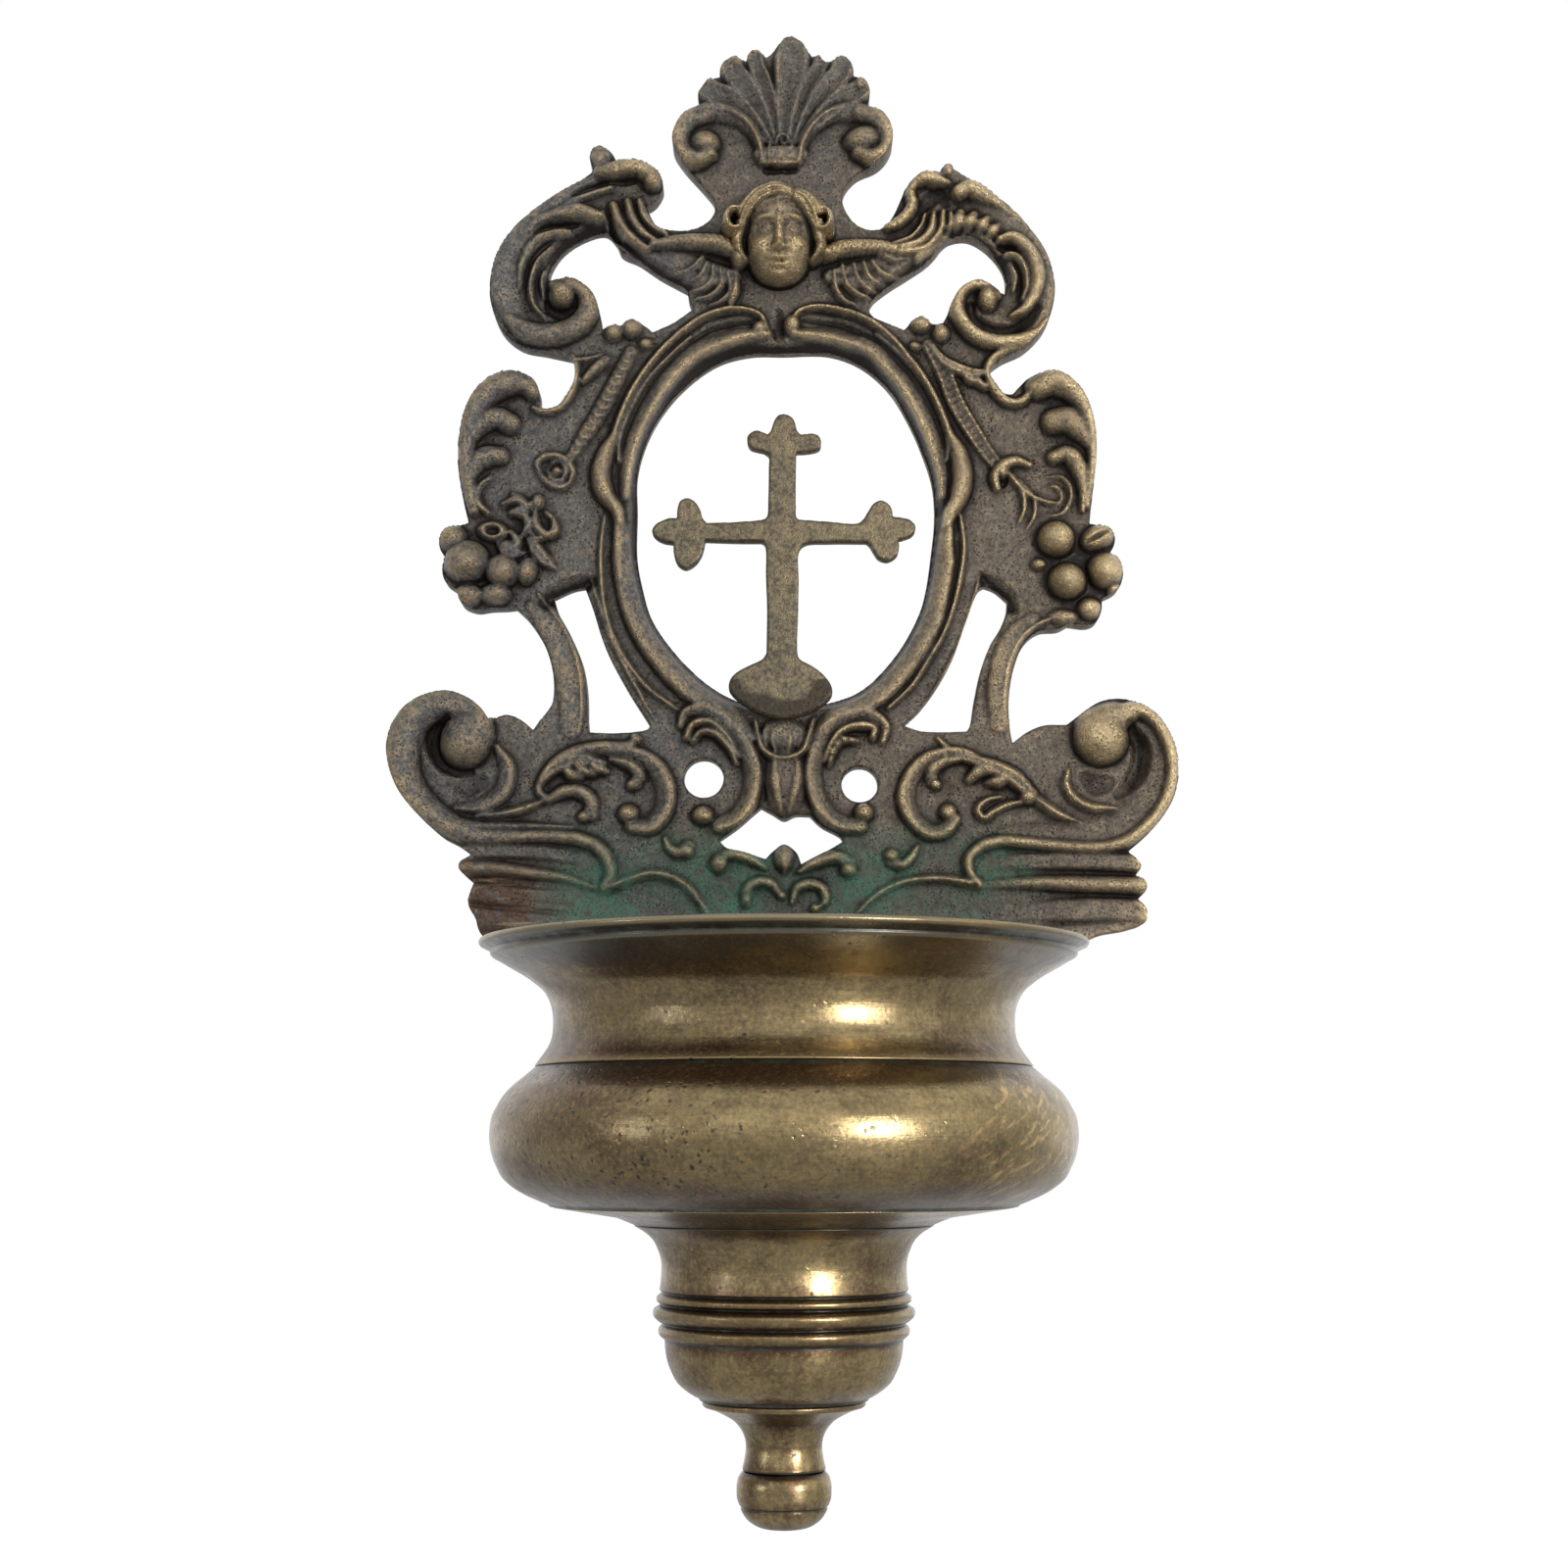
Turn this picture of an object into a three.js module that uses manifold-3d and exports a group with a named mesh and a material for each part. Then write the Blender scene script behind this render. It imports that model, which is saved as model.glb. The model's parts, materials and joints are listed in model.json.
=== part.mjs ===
// A wall-hung holy water font of cast and turned brass: an openwork back plate with a cherub,
// scrolls and an oval frame, a sawn cross soldered in the oval, and a turned basin with a pendant.
// Millimetres, +Z up. The origin lies on the wall, midway between the two screw holes.
// +X is to the right of someone facing the font, and the front of the font faces -Y.

import * as THREE from 'three';
import { mergeVertices } from 'three/addons/utils/BufferGeometryUtils.js';
import Module from 'manifold-3d';

const wasm = await Module();
wasm.setup();

// Driving dimensions of the back plate
const panelWidth = 100; // between the backs of the two upper scrolls: every x share follows it
const panelHeight = 100; // from the screw line up to the cherub's shoulders: every z share follows it
const plateThickness = 4;
const motifWidth = 10; // the widest motif, near the balls of the big scrolls: breadths follow it
const motifRise = 10; // the cherub's head above the ground of the plate: rises follow it
const screwHoleLeft = 7;
const screwHoleRight = 6.4;
const outlineStep = 2.8; // the chord that the cast outlines are cut into
const ridgeStep = 5;

// Driving dimensions of the tongue that carries the basin
const tongueWidth = 56;
const tongueEnd = 8; // below the rivets

// Driving dimensions of the cross
const crossThickness = 2.6;
const seatClearance = 0.3;

// Driving dimensions of the basin
const rimRadius = 47.1;
const rimOverhang = 2.1; // how far the rim stands out past the widest of the bulge
const basinWall = 2.2;
const rimDrop = 32; // from the screw line down to the rim
const collarHeight = 19.6;
const bulgeHeight = 21;
const rimFlat = 1.5; // how deep the back of the rim is filed flat against the plate
const basinLip = 5.6; // the inturned foot of the bulge, which carries the floor
const lipThickness = 2;
const floorThickness = 2.8;
const floorEdge = 0.5;

// Driving dimensions of the pendant
const pendantRadius = 22.9;
const pendantHeight = 26;
const pendantWall = 2.4;
const pendantFoot = 3;
const stemRadius = 12.4;
const stemHeight = 10.4;
const knobRadius = 7.15;
const knobHeight = 8.6;

// Driving dimensions of the fastenings
const rodRadius = 2;
const rodClearance = 0.3;
const rodStart = 1.6; // how far the rod stands proud of its nut
const rodGrip = 3.4; // how far the rod reaches into the knob
const washerRadius = 6;
const washerThickness = 1.2;
const nutAcross = 9;
const nutHeight = 3.4;
const rivetSpacing = 18;
const rivetRise = 12.5; // above the foot of the bulge
const rivetShank = 1.6;
const rivetHead = 3.2;
const rivetHeadHeight = 1.7;
const rivetTail = 2.7;
const rivetTailDepth = 1.2;
const rivetClearance = 0.3;
const padRadius = 5;
const overrun = 30; // how far a cutting tool reaches past what it cuts

// Places that follow from the sizes
const basinAxis = plateThickness + rimRadius - rimFlat; // off the wall
const bulgeRadius = rimRadius - rimOverhang;
const bulgeTop = -rimDrop - collarHeight;
const bulgeFoot = bulgeTop - bulgeHeight;
const pendantTop = bulgeFoot - floorThickness;
const stemTop = pendantTop - pendantHeight;
const knobTop = stemTop - stemHeight;
const rivetLevel = bulgeFoot + rivetRise;
const washerTop = bulgeFoot + washerThickness;
const nutTop = washerTop + nutHeight;
const rodHole = rodRadius + rodClearance;
const padSeat = basinAxis - chordDepth(bulgeRadius, rivetSpacing / 2 + padRadius);
const spotSeat = basinAxis - chordDepth(bulgeRadius - basinWall, rivetSpacing / 2 - rivetHead);

// How far a round wall stands from its axis, at a place beside the axis.
function chordDepth(radius, aside) {
  return Math.sqrt(radius ** 2 - aside ** 2);
}

// Colour, roughness and metalness of the brass as it has aged
const finishes = {
  patina: [0x5c4f40, 0.55, 0.9],
  crossBrass: [0x7d725c, 0.5, 0.9],
  turned: [0x8c7747, 0.35, 0.9],
  iron: [0x4d4a45, 0.6, 0.8],
  leather: [0x4a3527, 0.9, 0],
};

function named(name, solid, finish) {
  const [color, roughness, metalness] = finishes[finish];
  const material = new THREE.MeshStandardMaterial({ color, roughness, metalness });
  const mesh = new THREE.Mesh(toGeometry(solid), material);
  mesh.name = name;
  return mesh;
}

// A closed geometry becomes a solid once its doubled vertices are merged and the faces that
// have collapsed to a line at a pole are dropped.
function toSolid(geometry) {
  geometry.deleteAttribute('normal');
  geometry.deleteAttribute('uv');
  const merged = mergeVertices(geometry);
  const corners = merged.index.array;
  const kept = [];
  for (let i = 0; i < corners.length; i += 3) {
    const [a, b, c] = corners.slice(i, i + 3);
    if (a !== b && b !== c && c !== a) kept.push(a, b, c);
  }
  const vertProperties = merged.attributes.position.array;
  const triVerts = new Uint32Array(kept);
  return new wasm.Manifold(new wasm.Mesh({ numProp: 3, vertProperties, triVerts }));
}

function toGeometry(solid) {
  const mesh = solid.getMesh();
  const geometry = new THREE.BufferGeometry();
  geometry.setAttribute('position', new THREE.BufferAttribute(mesh.vertProperties, 3));
  geometry.setIndex(new THREE.BufferAttribute(mesh.triVerts, 1));
  geometry.computeVertexNormals();
  return geometry;
}

function joined(solids) {
  return solids.reduce((whole, solid) => whole.add(solid));
}

// Stands a shape drawn flat, or a piece turned about Y, along Z. What lay towards +Z faces -Y.
function stand(geometry) {
  const position = geometry.attributes.position;
  for (let i = 0; i < position.count; i++) {
    position.setXYZ(i, position.getX(i), -position.getZ(i), position.getY(i));
  }
  return geometry;
}

function onPanel([xShare, zShare]) {
  return new THREE.Vector3(xShare * panelWidth, zShare * panelHeight, 0);
}

function flat(point) {
  return new THREE.Vector2(point.x, point.y);
}

// A closed outline. Each row is one smooth stretch, which starts where the row before it ends
// and meets the next one in a corner.
function outline(rowShares) {
  const points = [];
  let start = onPanel(rowShares.at(-1).at(-1));
  for (const row of rowShares) {
    const knots = [start, ...row.map(onPanel)];
    const curve = new THREE.CatmullRomCurve3(knots, false, 'centripetal');
    const count = Math.max(1, Math.round(curve.getLength() / outlineStep));
    points.push(...curve.getSpacedPoints(count).slice(1).map(flat));
    start = knots.at(-1);
  }
  return points;
}

// An outline without corners.
function roundOutline(rowShares) {
  const curve = new THREE.CatmullRomCurve3(rowShares.map(onPanel), true, 'centripetal');
  const count = Math.round(curve.getLength() / outlineStep);
  return curve.getSpacedPoints(count).slice(1).map(flat);
}

// A sheet cut to an outline, from one distance off the wall to another.
function sheet(points, from, to) {
  const shape = new THREE.Shape(points);
  const geometry = new THREE.ExtrudeGeometry(shape, { depth: to - from, bevelEnabled: false });
  geometry.translate(0, 0, from);
  return toSolid(stand(geometry));
}

// A piece turned about an axis square to the wall. Its profile runs from the wall outwards,
// each point a radius and a distance off the wall.
function turnedOffWall(profile, x, z, sides = 16) {
  const points = profile.map(([radius, distance]) => new THREE.Vector2(radius, -distance)).reverse();
  const geometry = new THREE.LatheGeometry(points, sides);
  geometry.translate(x, 0, z);
  return toSolid(geometry);
}

function bar(radius, from, to, x, z, sides = 16) {
  return turnedOffWall([[0, from], [radius, from], [radius, to], [0, to]], x, z, sides);
}

// A piece turned about the basin's axis. Its profile runs down the outside and back up the
// inside, or starts and ends on the axis.
function turned(profile, sides) {
  const points = profile.map(([radius, height]) => new THREE.Vector2(radius, height)).reverse();
  return toSolid(stand(new THREE.LatheGeometry(points, sides)));
}

// Rows of shares become radii and heights, counted down from the top of the piece.
function profileOf(rowShares, radius, top, height) {
  return rowShares.map(([radiusShare, dropShare]) => [radiusShare * radius, top - dropShare * height]);
}

// The inside of a wall: the points of the outside moved square to it by the wall's thickness,
// those that stay between the mouth and the foot of the hollow.
function insideOf(profile, wall, mouth, foot) {
  const inside = profile.map(([radius, height], i) => {
    const [radiusBefore, heightBefore] = profile[Math.max(0, i - 1)];
    const [radiusAfter, heightAfter] = profile[Math.min(profile.length - 1, i + 1)];
    const along = new THREE.Vector2(radiusAfter - radiusBefore, heightAfter - heightBefore).normalize();
    return [radius + wall * along.y, height - wall * along.x];
  });
  return inside.filter(([, height], i) => i % 2 && height < mouth - wall / 2 && height > foot + wall / 2);
}

// The outline of the plate, clockwise from the tip of the crest, as seen from the front.
const plateOutlineShares = [
  [[0.030, 1.372], [0.040, 1.360], [0.052, 1.343]],
  [[0.062, 1.346], [0.070, 1.337], [0.077, 1.330]],
  [[0.093, 1.338], [0.107, 1.341], [0.118, 1.335], [0.125, 1.323], [0.128, 1.305]],
  [[0.138, 1.303], [0.150, 1.293], [0.157, 1.275], [0.153, 1.246]],
  [[0.177, 1.230], [0.190, 1.213], [0.198, 1.180], [0.193, 1.163], [0.183, 1.147], [0.167, 1.133],
    [0.133, 1.117], [0.112, 1.093], [0.106, 1.070], [0.112, 1.047], [0.133, 1.020], [0.158, 1.011],
    [0.183, 1.017], [0.198, 1.037], [0.213, 1.070], [0.222, 1.090], [0.242, 1.107], [0.262, 1.115],
    [0.280, 1.114]],
  [[0.285, 1.123], [0.292, 1.133], [0.300, 1.136], [0.307, 1.130], [0.340, 1.105], [0.387, 1.070],
    [0.420, 1.040], [0.453, 1.000], [0.478, 0.957], [0.489, 0.907], [0.485, 0.863], [0.468, 0.823],
    [0.433, 0.787], [0.393, 0.767], [0.372, 0.750], [0.368, 0.738], [0.373, 0.727], [0.393, 0.705],
    [0.410, 0.702], [0.420, 0.712], [0.443, 0.733], [0.477, 0.741], [0.510, 0.725], [0.540, 0.687],
    [0.556, 0.633], [0.558, 0.590], [0.553, 0.540], [0.548, 0.490], [0.545, 0.463]],
  [[0.563, 0.459], [0.580, 0.452], [0.589, 0.438], [0.588, 0.423], [0.578, 0.406]],
  [[0.592, 0.395], [0.601, 0.370], [0.599, 0.353], [0.590, 0.340], [0.565, 0.327]],
  [[0.563, 0.305], [0.555, 0.286], [0.540, 0.278], [0.505, 0.281]],
  [[0.488, 0.272], [0.453, 0.268], [0.427, 0.247], [0.406, 0.200], [0.396, 0.140], [0.398, 0.090],
    [0.402, 0.066]],
  [[0.427, 0.085], [0.458, 0.098], [0.498, 0.099]],
  [[0.520, 0.115], [0.558, 0.140], [0.600, 0.145], [0.640, 0.127], [0.673, 0.092], [0.689, 0.042],
    [0.686, -0.020], [0.666, -0.060], [0.632, -0.100], [0.602, -0.126]],
  [[0.615, -0.141], [0.622, -0.153], [0.614, -0.168]],
  [[0.627, -0.178], [0.629, -0.195], [0.616, -0.211]],
  [[0.629, -0.227], [0.628, -0.250], [0.600, -0.262], [0.550, -0.272], [0.520, -0.286],
    [0.460, -0.316], [0.340, -0.330]],
  [[-0.340, -0.330]],
  [[-0.460, -0.316], [-0.528, -0.270], [-0.536, -0.245], [-0.550, -0.218], [-0.546, -0.200],
    [-0.540, -0.183]],
  [[-0.555, -0.170], [-0.565, -0.157], [-0.562, -0.145], [-0.545, -0.133]],
  [[-0.570, -0.115], [-0.598, -0.100], [-0.642, -0.060], [-0.674, -0.020], [-0.691, 0.020],
    [-0.697, 0.060], [-0.688, 0.102], [-0.658, 0.138], [-0.617, 0.156], [-0.588, 0.158],
    [-0.555, 0.145], [-0.530, 0.123], [-0.520, 0.107]],
  [[-0.507, 0.112], [-0.490, 0.117], [-0.473, 0.113], [-0.457, 0.103], [-0.442, 0.090]],
  [[-0.430, 0.107], [-0.417, 0.123], [-0.408, 0.140], [-0.408, 0.190], [-0.423, 0.240],
    [-0.453, 0.288], [-0.477, 0.312]],
  [[-0.493, 0.310], [-0.520, 0.309], [-0.547, 0.306], [-0.572, 0.317], [-0.578, 0.340]],
  [[-0.590, 0.347], [-0.602, 0.357], [-0.608, 0.380], [-0.602, 0.402]],
  [[-0.612, 0.415], [-0.613, 0.428], [-0.602, 0.450], [-0.587, 0.457], [-0.563, 0.465]],
  [[-0.573, 0.507], [-0.582, 0.567], [-0.581, 0.620], [-0.568, 0.677], [-0.545, 0.715],
    [-0.513, 0.740], [-0.480, 0.743], [-0.453, 0.730], [-0.440, 0.707], [-0.439, 0.673]],
  [[-0.417, 0.672], [-0.390, 0.698], [-0.376, 0.727], [-0.377, 0.755], [-0.382, 0.772]],
  [[-0.427, 0.782], [-0.475, 0.793], [-0.510, 0.823], [-0.530, 0.873], [-0.532, 0.913],
    [-0.523, 0.960], [-0.500, 1.000], [-0.460, 1.040], [-0.400, 1.083], [-0.347, 1.122]],
  [[-0.354, 1.147], [-0.348, 1.162], [-0.337, 1.167], [-0.323, 1.163], [-0.313, 1.155],
    [-0.305, 1.140]],
  [[-0.267, 1.136], [-0.235, 1.125], [-0.220, 1.095], [-0.233, 1.067], [-0.249, 1.055]],
  [[-0.243, 1.037], [-0.230, 1.018], [-0.193, 1.009], [-0.153, 1.017], [-0.128, 1.040],
    [-0.127, 1.065], [-0.147, 1.093], [-0.183, 1.135], [-0.202, 1.167], [-0.202, 1.187],
    [-0.182, 1.227], [-0.153, 1.245]],
  [[-0.157, 1.257], [-0.156, 1.272], [-0.137, 1.298], [-0.117, 1.302]],
  [[-0.118, 1.308], [-0.110, 1.330], [-0.090, 1.339], [-0.068, 1.332]],
  [[-0.067, 1.340], [-0.055, 1.353], [-0.038, 1.345], [-0.032, 1.340]],
  [[-0.023, 1.348], [-0.003, 1.375], [0.015, 1.382]],
];

const ovalShares = [
  [0.000, 0.783], [0.080, 0.783], [0.137, 0.762], [0.187, 0.718], [0.223, 0.659], [0.250, 0.595],
  [0.266, 0.540], [0.270, 0.480], [0.263, 0.410], [0.253, 0.345], [0.240, 0.300], [0.200, 0.228],
  [0.143, 0.168], [0.102, 0.147], [0.050, 0.136], [-0.050, 0.136], [-0.100, 0.152],
  [-0.143, 0.180], [-0.193, 0.230], [-0.235, 0.292], [-0.252, 0.347], [-0.263, 0.407],
  [-0.263, 0.490], [-0.264, 0.550], [-0.252, 0.605], [-0.227, 0.660], [-0.183, 0.717],
  [-0.120, 0.765], [-0.060, 0.782],
];

// The openings with corners: beside the struts, inside the upper scrolls, and below the drop.
const openingShares = [
  [
    [[0.375, 0.345], [0.398, 0.325]],
    [[0.396, 0.305], [0.382, 0.270], [0.364, 0.240], [0.348, 0.195], [0.336, 0.140], [0.329, 0.100],
      [0.322, 0.087]],
    [[0.280, 0.086], [0.240, 0.088], [0.210, 0.098]],
    [[0.240, 0.127], [0.270, 0.167], [0.300, 0.222], [0.323, 0.285], [0.347, 0.345], [0.357, 0.352]],
  ],
  [
    [[-0.375, 0.346], [-0.410, 0.330]],
    [[-0.400, 0.300], [-0.378, 0.260], [-0.357, 0.210], [-0.348, 0.160], [-0.346, 0.110],
      [-0.344, 0.086]],
    [[-0.300, 0.084], [-0.240, 0.091], [-0.236, 0.098]],
    [[-0.248, 0.117], [-0.278, 0.165], [-0.317, 0.240], [-0.340, 0.310], [-0.355, 0.350]],
  ],
  [
    [[-0.425, 0.935], [-0.404, 0.972], [-0.363, 1.001], [-0.325, 1.010], [-0.305, 0.990],
      [-0.295, 0.970], [-0.264, 0.955], [-0.225, 0.928], [-0.175, 0.900]],
    [[-0.172, 0.880], [-0.164, 0.861]],
    [[-0.200, 0.836], [-0.238, 0.818]],
    [[-0.250, 0.828], [-0.275, 0.837], [-0.297, 0.826]],
    [[-0.313, 0.828], [-0.328, 0.822]],
    [[-0.332, 0.850], [-0.345, 0.885], [-0.377, 0.912], [-0.400, 0.918], [-0.425, 0.915]],
  ],
  [
    [[0.403, 0.917], [0.398, 0.940], [0.373, 0.975], [0.336, 0.999], [0.303, 0.996], [0.288, 0.985],
      [0.275, 0.968], [0.258, 0.951], [0.222, 0.926], [0.190, 0.905], [0.162, 0.882], [0.151, 0.862]],
    [[0.160, 0.847], [0.193, 0.831], [0.217, 0.822]],
    [[0.235, 0.838], [0.250, 0.842], [0.267, 0.832]],
    [[0.278, 0.833], [0.287, 0.835]],
    [[0.295, 0.850], [0.302, 0.867], [0.322, 0.897], [0.353, 0.910], [0.382, 0.897], [0.400, 0.890]],
  ],
  [
    [[-0.080, -0.082], [-0.055, -0.060], [-0.040, -0.047]],
    [[-0.020, -0.058], [0.000, -0.069], [0.020, -0.061], [0.045, -0.061]],
    [[0.065, -0.080], [0.100, -0.100], [0.103, -0.108]],
    [[0.080, -0.122], [0.050, -0.138], [0.030, -0.148]],
    [[0.022, -0.128], [0.000, -0.114], [-0.022, -0.128], [-0.032, -0.139]],
    [[-0.070, -0.128], [-0.100, -0.120], [-0.114, -0.106]],
  ],
];
const screwHoleLeftShares = [-0.141, 0.0045];
const screwHoleRightShares = [0.133, -0.007];

// How much of a stroke's height lies in the metal, so that its flanks meet the ground at an angle.
const sunkShare = 0.2;

// The raised strokes of the plate: how broad and how high each one is, how broad it stays at its
// two ends, and the places that it runs through.
const scrollShares = [
  { breadth: 0.30, rise: 0.26, ends: [0.4, 0.4], path: [[0.515, 0.092], [0.560, 0.124], [0.605, 0.130],
    [0.645, 0.108], [0.670, 0.065], [0.676, 0.010], [0.662, -0.046], [0.610, -0.096], [0.550, -0.114],
    [0.470, -0.118], [0.380, -0.109], [0.335, -0.118], [0.316, -0.148], [0.340, -0.183]] },
  { breadth: 0.30, rise: 0.26, ends: [0.4, 0.4], path: [[-0.535, 0.103], [-0.565, 0.132], [-0.610, 0.142],
    [-0.655, 0.118], [-0.681, 0.075], [-0.681, 0.020], [-0.658, -0.030], [-0.615, -0.070],
    [-0.550, -0.096], [-0.450, -0.097], [-0.370, -0.099], [-0.313, -0.130], [-0.302, -0.160],
    [-0.312, -0.188]] },
  { breadth: 0.18, rise: 0.16, ends: [0.4, 0.3], path: [[0.505, 0.025], [0.500, -0.005], [0.515, -0.032],
    [0.550, -0.050], [0.585, -0.048]] },
  { breadth: 0.22, rise: 0.18, ends: [0.4, 0.3], path: [[-0.510, 0.060], [-0.491, 0.020],
    [-0.497, -0.015], [-0.530, -0.040], [-0.560, -0.045]] },
  { breadth: 0.30, rise: 0.30, ends: [0.4, 0.5], path: [[0.310, 1.118], [0.360, 1.080], [0.410, 1.038],
    [0.450, 0.983], [0.472, 0.925], [0.471, 0.865], [0.445, 0.813], [0.400, 0.792], [0.355, 0.797],
    [0.320, 0.830], [0.313, 0.868], [0.335, 0.896], [0.365, 0.896]] },
  { breadth: 0.32, rise: 0.30, ends: [0.4, 0.5], path: [[-0.345, 1.103], [-0.400, 1.063],
    [-0.460, 1.018], [-0.503, 0.958], [-0.515, 0.900], [-0.502, 0.847], [-0.465, 0.812],
    [-0.410, 0.802], [-0.368, 0.822], [-0.350, 0.855], [-0.362, 0.888], [-0.395, 0.900]] },
  { breadth: 0.24, rise: 0.26, ends: [0.5, 0.3], path: [[0.385, 0.988], [0.425, 0.965], [0.449, 0.922],
    [0.450, 0.880], [0.425, 0.850]] },
  { breadth: 0.22, rise: 0.20, ends: [0.5, 0.3], path: [[-0.390, 1.012], [-0.440, 0.990],
    [-0.474, 0.950], [-0.482, 0.900], [-0.465, 0.860], [-0.430, 0.840]] },
  { breadth: 0.34, rise: 0.30, ends: [0.6, 0.2], path: [[0.310, 1.082], [0.335, 1.080], [0.370, 1.060],
    [0.400, 1.035]] },
  { breadth: 0.34, rise: 0.26, ends: [0.4, 0.2], path: [[-0.330, 1.032], [-0.380, 1.040],
    [-0.430, 1.030], [-0.470, 1.000]] },
  { breadth: 0.28, rise: 0.30, ends: [0.3, 0.7], path: [[0.200, 1.022], [0.222, 1.050], [0.232, 1.083],
    [0.255, 1.100], [0.285, 1.092]] },
  { breadth: 0.30, rise: 0.30, ends: [0.3, 0.8], path: [[-0.340, 1.098], [-0.300, 1.116],
    [-0.262, 1.120], [-0.238, 1.100]] },
  { breadth: 0.28, rise: 0.26, ends: [0.4, 0.7], path: [[-0.045, 1.130], [-0.050, 1.178],
    [-0.080, 1.222], [-0.120, 1.240], [-0.160, 1.232], [-0.186, 1.200], [-0.186, 1.168]] },
  { breadth: 0.28, rise: 0.26, ends: [0.4, 0.7], path: [[0.032, 1.130], [0.040, 1.178],
    [0.070, 1.222], [0.110, 1.240], [0.150, 1.232], [0.180, 1.205], [0.184, 1.172]] },
];

const frameShares = [
  { breadth: 0.30, rise: 0.30, ends: [0.5, 0.4], path: [[0.060, 0.818], [0.120, 0.805], [0.170, 0.776],
    [0.212, 0.728], [0.243, 0.672], [0.263, 0.615], [0.275, 0.550], [0.278, 0.500]] },
  { breadth: 0.30, rise: 0.30, ends: [0.5, 0.4], path: [[-0.060, 0.818], [-0.105, 0.805],
    [-0.155, 0.778], [-0.203, 0.733], [-0.240, 0.680], [-0.265, 0.620], [-0.281, 0.560],
    [-0.284, 0.505]] },
  { breadth: 0.26, rise: 0.30, ends: [0.9, 0.6], path: [[0.018, 0.822], [0.028, 0.848], [0.068, 0.862],
    [0.120, 0.851], [0.162, 0.828], [0.202, 0.793], [0.242, 0.745], [0.280, 0.680], [0.302, 0.625],
    [0.318, 0.580], [0.323, 0.545], [0.312, 0.500], [0.291, 0.472]] },
  { breadth: 0.26, rise: 0.28, ends: [0.9, 0.6], path: [[-0.034, 0.822], [-0.044, 0.845],
    [-0.088, 0.858], [-0.140, 0.845], [-0.185, 0.818], [-0.225, 0.782], [-0.262, 0.735],
    [-0.292, 0.680], [-0.315, 0.625], [-0.328, 0.575], [-0.326, 0.530], [-0.308, 0.492]] },
  { breadth: 0.32, rise: 0.32, ends: [0.5, 0.3], path: [[0.292, 0.478], [0.285, 0.440], [0.278, 0.380],
    [0.262, 0.320], [0.232, 0.260], [0.195, 0.197], [0.155, 0.152], [0.112, 0.125], [0.072, 0.100],
    [0.048, 0.070]] },
  { breadth: 0.32, rise: 0.32, ends: [0.5, 0.3], path: [[-0.306, 0.498], [-0.290, 0.440],
    [-0.281, 0.380], [-0.266, 0.320], [-0.240, 0.262], [-0.205, 0.210], [-0.165, 0.165],
    [-0.120, 0.130], [-0.085, 0.105], [-0.050, 0.068]] },
  { breadth: 0.14, rise: 0.16, ends: [0.4, 0.4], path: [[0.322, 0.440], [0.314, 0.350], [0.298, 0.290],
    [0.272, 0.230], [0.235, 0.172], [0.205, 0.135]] },
  { breadth: 0.14, rise: 0.14, ends: [0.4, 0.4], path: [[-0.330, 0.440], [-0.325, 0.350],
    [-0.308, 0.290], [-0.280, 0.225], [-0.240, 0.165], [-0.210, 0.130]] },
];

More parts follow.
